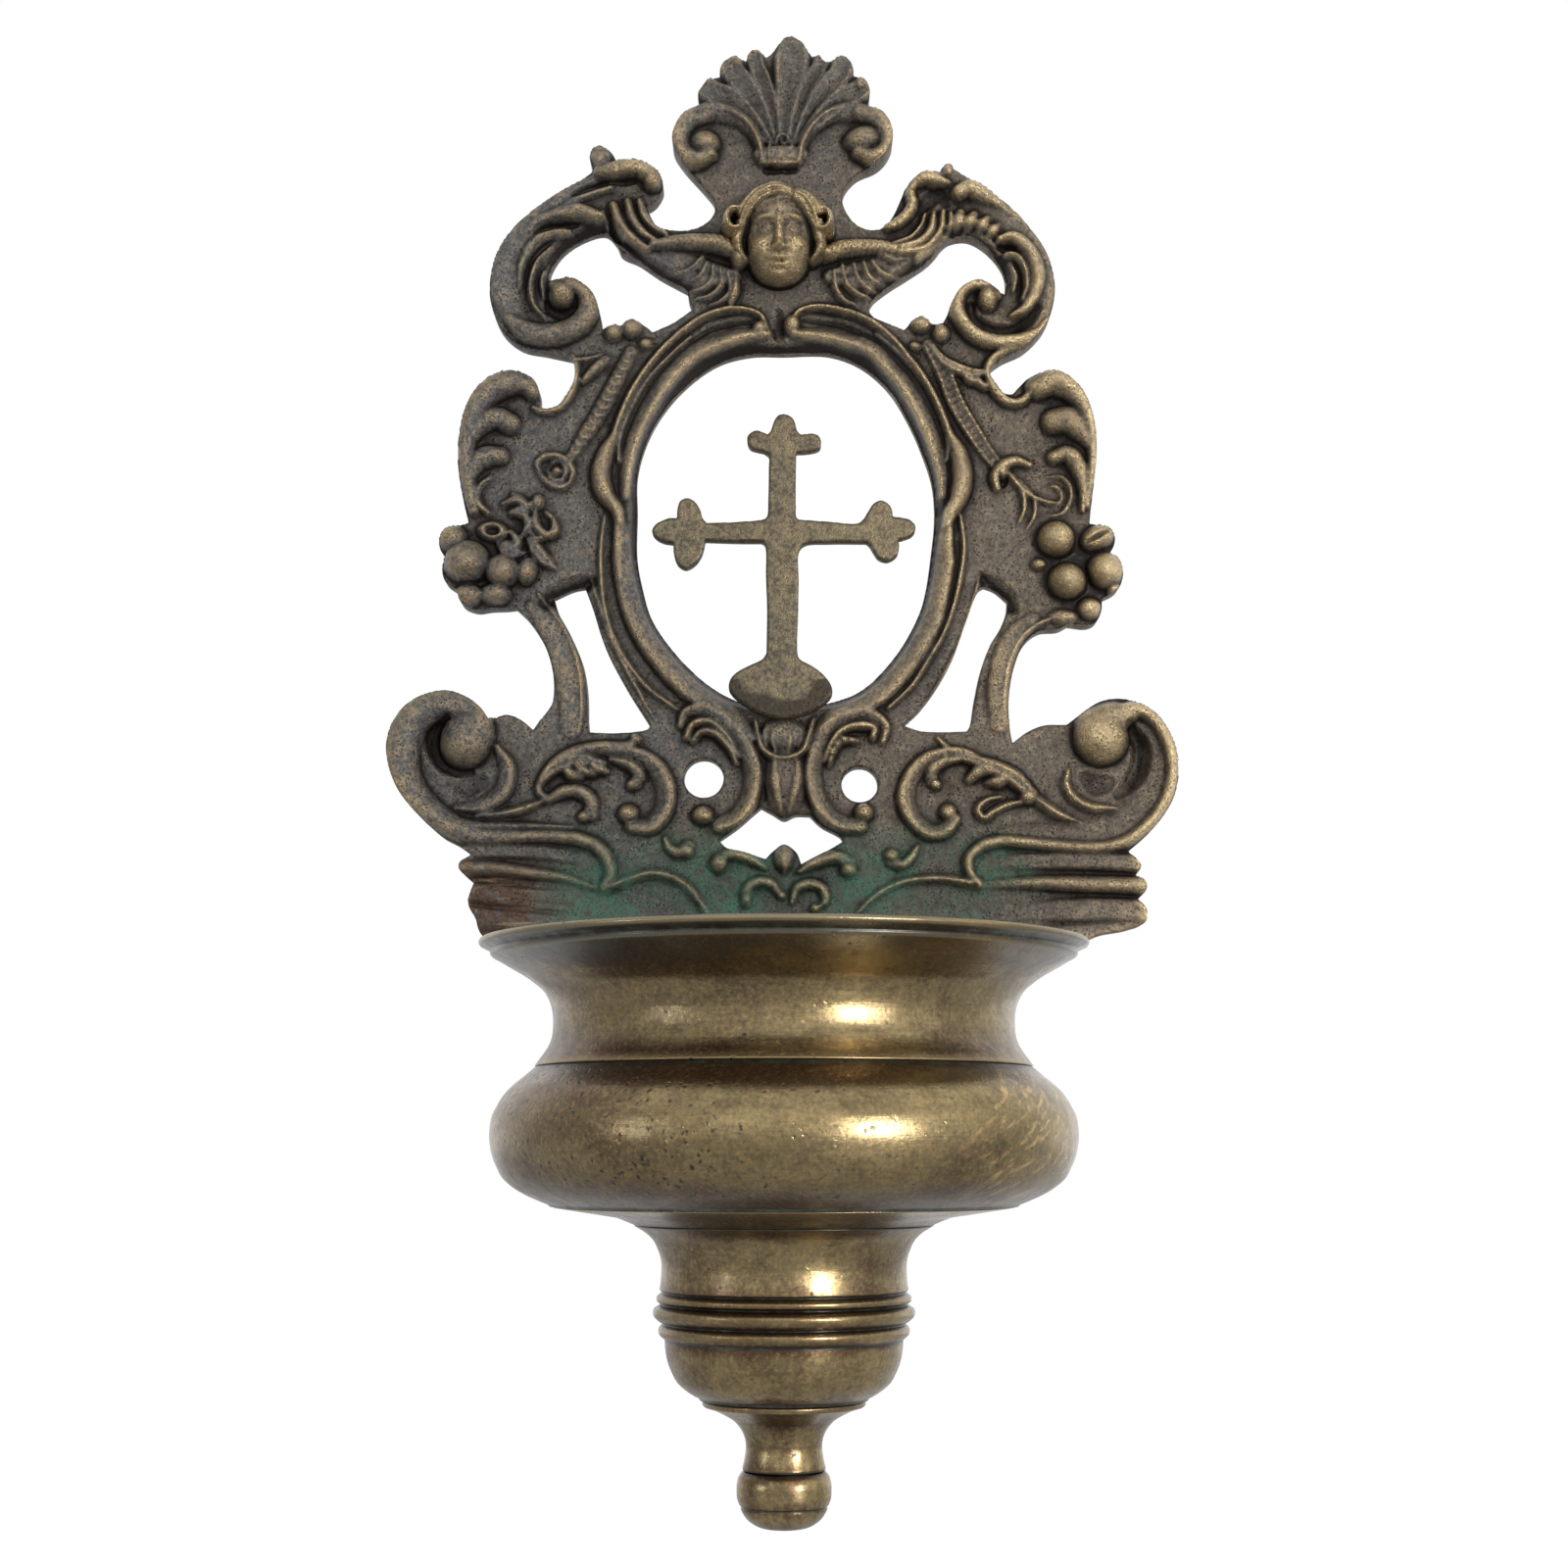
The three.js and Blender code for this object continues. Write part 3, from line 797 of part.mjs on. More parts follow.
function makeStem() {
  const outside = profileOf(stemShares, stemRadius, stemTop, stemHeight);
  const profile = [...outside, [rodHole, knobTop], [rodHole, stemTop], outside[0]];
  return named('finial_stem', turned(profile, 24), 'turned');
}

function makeKnob() {
  const outside = profileOf(knobShares, knobRadius, knobTop, knobHeight);
  const socket = knobTop - rodGrip - rodClearance;
  const profile = [[0, socket], [rodHole, socket], [rodHole, knobTop], ...outside, [0, knobTop - knobHeight]];
  return named('finial_knob', turned(profile, 24), 'turned');
}

function makeRod() {
  const profile = [[0, nutTop + rodStart], [rodRadius, nutTop + rodStart],
    [rodRadius, knobTop - rodGrip], [0, knobTop - rodGrip]];
  return named('tie_rod', turned(profile, 16), 'iron');
}

function makeNut() {
  const corner = nutAcross / Math.sqrt(3);
  const blank = [[0, nutTop], [corner, nutTop], [corner, washerTop], [0, washerTop]];
  const bore = [[0, nutTop + overrun], [rodHole, nutTop + overrun], [rodHole, washerTop - overrun],
    [0, washerTop - overrun]];
  return named('tie_rod_nut', turned(blank, 6).subtract(turned(bore, 16)), 'iron');
}

function makeWasher() {
  const profile = [[rodHole, washerTop], [washerRadius, washerTop], [washerRadius, bulgeFoot],
    [rodHole, bulgeFoot], [rodHole, washerTop]];
  return named('sealing_washer', turned(profile, 20), 'leather');
}

const basin = new THREE.Group();
basin.position.y = -basinAxis;
basin.add(makeCollar(), makeBulge(), makeFloor(), makePendant(), makeStem(), makeKnob());
basin.add(makeRod(), makeNut(), makeWasher());

const font = new THREE.Group();
font.add(makeBackPlate(), makeCross(), basin);
font.add(makeRivet('basin_rivet_left', rivetPlaces[0]), makeRivet('basin_rivet_right', rivetPlaces[1]));

export default font;
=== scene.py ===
import bpy, json, math
import numpy as np
from mathutils.geometry import delaunay_2d_cdt
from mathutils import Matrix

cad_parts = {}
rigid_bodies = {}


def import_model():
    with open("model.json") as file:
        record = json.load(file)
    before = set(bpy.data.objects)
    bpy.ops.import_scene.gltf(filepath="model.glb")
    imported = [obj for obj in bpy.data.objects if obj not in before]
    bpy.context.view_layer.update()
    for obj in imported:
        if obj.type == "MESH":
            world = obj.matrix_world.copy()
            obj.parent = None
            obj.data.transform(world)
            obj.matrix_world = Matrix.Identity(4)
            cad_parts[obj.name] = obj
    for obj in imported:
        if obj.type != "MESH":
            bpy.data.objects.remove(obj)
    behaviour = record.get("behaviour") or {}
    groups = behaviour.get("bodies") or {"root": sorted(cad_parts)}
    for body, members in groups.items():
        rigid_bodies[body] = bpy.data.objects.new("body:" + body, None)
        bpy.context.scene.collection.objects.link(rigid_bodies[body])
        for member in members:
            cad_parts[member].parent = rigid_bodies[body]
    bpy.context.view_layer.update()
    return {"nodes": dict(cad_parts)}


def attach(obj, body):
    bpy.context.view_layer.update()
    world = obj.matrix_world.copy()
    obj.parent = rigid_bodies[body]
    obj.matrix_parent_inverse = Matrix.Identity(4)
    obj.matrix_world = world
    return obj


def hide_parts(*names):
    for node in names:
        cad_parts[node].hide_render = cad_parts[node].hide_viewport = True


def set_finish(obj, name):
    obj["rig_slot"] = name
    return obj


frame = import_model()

mm = 0.001  # every table below is in millimetres
groundFace = 4.0  # the plate's flat front stands this far off the wall
basinAxis = 49.6  # and the bowl's axis this far
outlineStep = 0.4
knotSteps = 24  # samples from one knot of a path to the next
meld = 0.35  # how far forms round into each other
# on side walls and backs every mask, the wear-and-sheen and the deep one alike, takes this value
plainMask = 0.3  # the wear of side walls and backs
margin = 0.6  # how far past a form its window reaches
taperWide, taperRise = (0.45, 1, 1, 1, 0.4), (0.7, 1, 1, 1, 0.6)  # how a form runs out at its ends
mostWearAndSheen = 1.5
nextToNothing = 1e-6
farOff = 200.0  # past the end of every piece


# the numbers of a text, two by two
def pairs(text):
    return np.array(text.split(), float).reshape(-1, 2)


# the rows of a table, parted by commas
def rowsOf(text):
    return [[float(v) for v in row.split()] for row in text.split(",")]


# the rows of a table of strokes: a cross section's name, then widths, rises, the path as x z pairs, and for some the notches
def strokesOf(text):
    rows = []
    for word in " ".join(line.split("#")[0] for line in text.splitlines()).split():
        if word in sections:
            rows.append([word, []])
        elif word == "/":
            rows[-1].append([])
        else:
            rows[-1][-1].append(float(word))
    return rows


# cubic through each pair of knots, its slopes set by the square roots of the chords, then cut into even steps
def smoothPath(knots, step, closed=False):
    ends = (knots[-1:], knots[:2]) if closed else (2 * knots[:1] - knots[1:2], 2 * knots[-1:] - knots[-2:-1])
    k = np.vstack([ends[0], knots, ends[1]])
    gap = np.sqrt(np.linalg.norm(np.diff(k, axis=0), axis=1))[:, None]
    a, b, c, d = k[:-3], k[1:-2], k[2:-1], k[3:]
    g0, g1, g2 = gap[:-2], gap[1:-1], gap[2:]
    out = ((b - a) / g0 - (c - a) / (g0 + g1) + (c - b) / g1) * g1
    into = ((c - b) / g1 - (d - b) / (g1 + g2) + (d - c) / g2) * g1
    t = np.linspace(0, 1, knotSteps, endpoint=False)[None, :, None]
    b, c, out, into = (v[:, None] for v in (b, c, out, into))
    curve = b + out * t + (3 * (c - b) - 2 * out - into) * t ** 2 + (2 * (b - c) + out + into) * t ** 3
    curve = np.vstack([curve.reshape(-1, 2), k[-2:-1]])
    run = np.append(0, np.cumsum(np.linalg.norm(np.diff(curve, axis=0), axis=1)))
    even = np.linspace(0, run[-1], max(3, int(run[-1] / step) + 2))
    return np.stack([np.interp(even, run, curve[:, i]) for i in (0, 1)], axis=1)


# a closed outline of smooth runs parted by "/": each runs from corner to corner, and starts where the one before it ended
def outlinePath(text, step=outlineStep):
    rows = [pairs(row) for row in text.split("/")]
    parts = [smoothPath(np.vstack([rows[i - 1][-1:], row]), step)[:-1] for i, row in enumerate(rows)]
    return np.vstack(parts)


# an even grid of places, with the height of the relief at each
def makeCanvas(left, right, low, high, cell):
    x, z = np.meshgrid(np.arange(left, right, cell), np.arange(low, high, cell))
    return {"x": x, "z": z, "cell": cell, "rise": np.zeros_like(x)}


# the rows and columns of the grid within reach of a line
def windowOf(canvas, line, reach):
    low, high = line.min(0) - reach, line.max(0) + reach
    cols = np.searchsorted(canvas["x"][0], [low[0], high[0]])
    rows = np.searchsorted(canvas["z"][:, 0], [low[1], high[1]])
    return slice(*rows), slice(*cols)


# nearest sample of the line, then the way on from it along and across the line's direction
def alongLine(line, x, z):
    spots = np.stack([x.ravel(), z.ravel()], 1)
    near = np.argmin((line ** 2).sum(1) - 2 * spots @ line.T, axis=1)
    ahead = np.gradient(line, axis=0)
    stride = np.linalg.norm(ahead, axis=1)
    ahead /= stride[:, None]
    away, ahead = spots - line[near], ahead[near]
    share = (near + (away * ahead).sum(1) / stride[near]) / (len(line) - 1)
    aside = away[:, 1] * ahead[:, 0] - away[:, 0] * ahead[:, 1]
    length = stride.mean() * (len(line) - 1)
    over = np.maximum(0, np.maximum(-share, share - 1)) * length
    return [v.reshape(x.shape) for v in (np.clip(share, 0, 1), aside, over)]


# a round arch: the root of 1 - the square of the distance over the radius
def arch(away, radius=1.0):
    return np.sqrt(np.maximum(0, 1 - (away / radius) ** 2))


# cross sections from the middle (0) to the edge (1); s runs from -1 on the right of the line to 1 on its left
sections = {
    "bead": lambda q, s: arch(q),
    "ridge": lambda q, s: 1 - np.sqrt(q ** 2 + 0.02) + 0.1,
    "band": lambda q, s: np.sqrt(1 - q ** 4),
    "leaf": lambda q, s: arch(q) * (0.66 + 0.34 * np.minimum(1, q / 0.4) ** 0.8),
    "flute": lambda q, s: np.where(q < 0.72, 0.42 + 0.58 * (q / 0.72) ** 2, arch(q - 0.72, 0.28)),
    "left": lambda q, s: arch(q) * (0.62 + 0.38 * s),
    "right": lambda q, s: arch(q) * (0.62 - 0.38 * s),
    "ring": lambda q, s: arch(q - 0.68, 0.32) * 0.7 + 0.3 * (q < 0.68),
    "swell": lambda q, s: (1 - q ** 2) ** 2,  # laid on top of what is there
}


# the higher of two heights, rounded where they meet: a quarter of the square of how near they come is added
def softMax(a, b, k):
    h = np.maximum(k - np.abs(a - b), 0) / k
    return np.maximum(a, b) + h * h * k / 4


# a body of that height joins the ground: hollows and swells are added to it, other forms take the higher of the two
def melt(canvas, w, q, height, form, soft, hollow):
    ground = canvas["rise"][w]
    lifted = ground + height if hollow or form == "swell" else softMax(ground, height - soft * np.minimum(q, 1) ** 6, soft)
    canvas["rise"][w] = np.where(q < 1, lifted, ground)


# A form along a path: height = rise at that share of the path x cross section at that share of the half width. One width
# or rise alone runs out at the ends. Notches are a cosine along the path, slanted by the share aside.
def layStroke(canvas, form, wide, rise, path, notches=(), soft=meld, swell=1.0):
    line = smoothPath(np.reshape(path, (-1, 2)), min(0.35, canvas["cell"] * 1.4))
    wide = (np.array(wide) if len(wide) > 1 else np.multiply(taperWide, wide)) * swell
    rise = np.array(rise) if len(rise) > 1 else np.multiply(taperRise, rise)
    w = windowOf(canvas, line, wide.max() / 2 + margin)
    share, aside, over = alongLine(line, canvas["x"][w], canvas["z"][w])
    half = np.interp(share, np.linspace(0, 1, len(wide)), wide) / 2
    top = np.interp(share, np.linspace(0, 1, len(rise)), rise)
    q, s = np.hypot(aside, over) / half, np.clip(aside / half, -1, 1)
    body = sections[form](np.minimum(q, 1), s)
    if notches:
        teeth, deep, slant = (*notches, 0)[:3]
        body = body * (1 - deep * (0.5 + 0.5 * np.cos(2 * math.pi * (teeth * share + slant * np.abs(s)))))
    melt(canvas, w, q, top * body, form, soft, top.max() < 0)


# part of an ellipsoid standing on the ground, turned by an angle in degrees: height = rise x cross section at that share of
# its radius
def layBulb(canvas, x, z, across, tall, rise, turn=0.0, form="bead", soft=meld):
    w = windowOf(canvas, np.array([[x, z]]), max(across, tall) / 2 + margin)
    dx, dz = canvas["x"][w] - x, canvas["z"][w] - z
    c, s = math.cos(math.radians(turn)), math.sin(math.radians(turn))
    q = np.hypot((dx * c + dz * s) * 2 / across, (dz * c - dx * s) * 2 / tall)
    melt(canvas, w, q, rise * sections[form](np.minimum(q, 1), 0), form, soft, rise < 0)


# each sine wave is damped by the gaussian of its own pitch
def blurred(field, reach, cell):
    fz = np.fft.fftfreq(field.shape[0])[:, None]
    fx = np.fft.rfftfreq(field.shape[1])[None, :]
    damp = np.exp(-2 * (math.pi * reach / cell) ** 2 * (fz ** 2 + fx ** 2))
    return np.fft.irfft2(np.fft.rfft2(field) * damp, field.shape)


# random heights blurred over the given reach, and scaled to a spread of 1
def softNoise(shape, reach, cell, seed):
    field = blurred(np.random.default_rng(seed).standard_normal(shape), reach, cell)
    return field / field.std()


# distance to the nearest outline, counted positive on the metal: the metal is where a row has crossed an odd number of lines
def metalDepth(canvas, loops, reach=2.0):
    x, z, cell = canvas["x"], canvas["z"], canvas["cell"]
    crossed = np.zeros(x.shape)
    depth = np.full(x.shape, reach)
    around = range(-int(reach / cell), int(reach / cell) + 1)
    for loop in loops:
        a, b = loop, np.roll(loop, -1, axis=0)
        level = z[:, :1]
        rows, edges = np.nonzero((a[:, 1] > level) != (b[:, 1] > level))
        at = a[edges, 0] + (z[rows, 0] - a[edges, 1]) * (b[edges, 0] - a[edges, 0]) / (b[edges, 1] - a[edges, 1])
        cols = np.clip(np.ceil((at - x[0, 0]) / cell).astype(int), 0, x.shape[1] - 1)
        np.add.at(crossed, (rows, cols), 1)
        span = np.linspace(0, 1, 8, endpoint=False)[None, :, None]
        fine = (a[:, None] + (b - a)[:, None] * span).reshape(-1, 2)
        col = np.rint((fine[:, 0] - x[0, 0]) / cell).astype(int)
        row = np.rint((fine[:, 1] - z[0, 0]) / cell).astype(int)
        for i in around:
            for j in around:
                ok = (row + i >= 0) & (row + i < x.shape[0]) & (col + j >= 0) & (col + j < x.shape[1])
                r, c = row[ok] + i, col[ok] + j
                np.minimum.at(depth, (r, c), np.hypot(x[r, c] - fine[ok, 0], z[r, c] - fine[ok, 1]))
    return np.where(np.cumsum(crossed, axis=1) % 2 == 1, depth, -depth)


# a spot is inside when a line from it to the right crosses the outline an odd number of times
def isInside(spots, ends):
    (ax, az), (bx, bz) = ends[:, 0].T, ends[:, 1].T
    found = []
    for part in np.array_split(spots, len(spots) // 400 + 1):
        x, z = part[:, :1], part[:, 1:]
        spans = (az > z) != (bz > z)
        at = ax + (z - az) * (bx - ax) / np.where(bz == az, 1, bz - az)
        found.append(((at > x) & spans).sum(1) % 2 == 1)
    return np.concatenate(found)


# an object of that name, linked to the scene
def addObject(name, data):
    item = bpy.data.objects.new(name, data)
    bpy.context.collection.objects.link(item)
    return item


# A piece from points and faces, smooth but for the edges inside the sharp groups of points. It rides on the root, takes the
# place of the CAD node and names its finish.
def makePiece(name, spots, faces, attributes, node, slot, sharp=()):
    mesh = bpy.data.meshes.new(name)
    mesh.from_pydata((spots * mm).tolist(), [], faces)
    mesh.update()
    mesh.polygons.foreach_set("use_smooth", np.ones(len(mesh.polygons), dtype=bool))
    for label, values in attributes.items():
        layer = mesh.attributes.new(label, "FLOAT", "POINT")
        layer.data.foreach_set("value", np.ascontiguousarray(values, dtype=np.float32))
    if sharp:
        ends = np.empty(len(mesh.edges) * 2, dtype=np.int32)
        mesh.edges.foreach_get("vertices", ends)
        first, second = ends.reshape(-1, 2).T
        layer = mesh.attributes.new("sharp_edge", "BOOLEAN", "EDGE")
        layer.data.foreach_set("value", np.any([group[first] & group[second] for group in sharp], axis=0))
    piece = addObject(name, mesh)
    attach(piece, "root")
    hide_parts(node)
    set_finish(piece, slot)
    print(name, len(spots), "points", len(faces), "faces")


# The canvas is cut along its outline and between two levels, and closed with walls and a flat back. A cut lies where the
# distance to the outline passes nought between two grid points, in proportion to their distances.
def meshCanvas(canvas, name, low, high, back, node, slot, masks):
    x, z = canvas["x"], canvas["z"]
    gate = np.minimum(z - low, high - z)
    field = np.minimum(canvas["depth"], gate)
    field = np.where(np.abs(field) < nextToNothing, nextToNothing, field)
    solid = field > 0
    gridId = np.full(x.shape, -1)
    gridId[solid] = np.arange(solid.sum())
    # a point holds its place, its masks and whether it is a level that cuts there
    stack = np.stack([x, -(groundFace + canvas["rise"]), z, *masks.values(), canvas["depth"] > gate], axis=-1)
    spots = [stack[solid]]
    count = len(spots[0])
    ids = []
    for axis in (1, 0):  # crossings on the level edges, then on the upright ones
        first, second = (tuple(span if i == axis else slice(None) for i in (0, 1)) for span in (slice(0, -1), slice(1, None)))
        cross = solid[first] != solid[second]
        edge = np.full(cross.shape, -1)
        edge[cross] = count + np.arange(cross.sum())
        a, b = field[first][cross], field[second][cross]
        near, far = stack[first][cross], stack[second][cross]
        spot = near + (far - near) * np.clip(a / (a - b), 0.07, 0.93)[:, None]  # never close to a grid point
        onEdge = spot[:, -1] <= 0.5
        spot[onEdge, 1] = np.where(solid[first][cross], near[:, 1], far[:, 1])[onEdge]
        spot[onEdge, 3:-1] = plainMask
        spots.append(spot)
        count += len(spot)
        ids.append(edge)
    level, upright = ids
    # each cell's ring of corners and crossings, with those it lacks moved to the end
    ring = np.stack([gridId[:-1, :-1], level[:-1], gridId[:-1, 1:], upright[:, 1:],
                     gridId[1:, 1:], level[1:], gridId[1:, :-1], upright[:, :-1]], axis=-1).reshape(-1, 8)
    ring = ring[(ring >= 0).any(axis=1)]
    order = np.argsort(ring < 0, axis=1, kind="stable")
    packed = np.take_along_axis(ring, order, axis=1)
    sides = (packed >= 0).sum(1)
    odd = order % 2 == 1
    whole = (sides == 4) & ~odd[:, :4].any(axis=1)
    full = packed[whole][:, :4]
    packed, sides, odd = packed[~whole], sides[~whole], odd[~whole]
    fans = [packed[sides > k + 1][:, [0, k, k + 1]] for k in range(1, 7)]
    front = np.vstack(spots)
    # the rim runs wherever two crossings follow each other in a ring
    rims = []
    for k in range(8):
        following = np.where(k + 1 < sides, k + 1, 0)
        pick = (k < sides) & odd[:, k] & odd[np.arange(len(odd)), following]
        rims.append(np.stack([packed[pick, k], packed[np.nonzero(pick)[0], following[pick]]], axis=1))
    rims = np.vstack(rims)
    edgeIds = np.unique(rims)
    behind = np.full(len(front), -1)
    behind[edgeIds] = len(front) + np.arange(len(edgeIds))
    rear = front[edgeIds].copy()
    rear[:, 1] = -back
    rear[:, 3:-1] = plainMask
    walls = np.stack([rims[:, 1], rims[:, 0], behind[rims[:, 0]], behind[rims[:, 1]]], axis=1)
    rimEnds = behind[rims] - len(front)
    corners = rear[:, [0, 2]]
    flat = delaunay_2d_cdt(corners.tolist(), rimEnds.tolist(), [], 1, 1e-7)
    cover = np.array([o[0] for o in flat[3]])[np.array(flat[2])][:, ::-1]
    cover = cover[isInside(corners[cover].mean(axis=1), corners[rimEnds])] + len(front)
    spots = np.vstack([front, rear])
    isRear = np.arange(len(spots)) >= len(front)
    isCut = (spots[:, -1] > 0.5) & ~isRear & np.isin(np.arange(len(spots)), edgeIds)
    faces = [face for group in (full, *fans, walls, cover) for face in group.tolist()]
    makePiece(name, spots[:, :3], faces, {label: spots[:, 3 + i] for i, label in enumerate(masks)}, node, slot, (isRear, isCut))


# how far the edge turns over: a quarter circle, edge x (1 - root of 1 - share squared)
def edgeDrop(canvas, edge):
    return edge * (1 - arch(np.clip(1 - np.maximum(canvas["depth"], 0) / edge, 0, 1)))


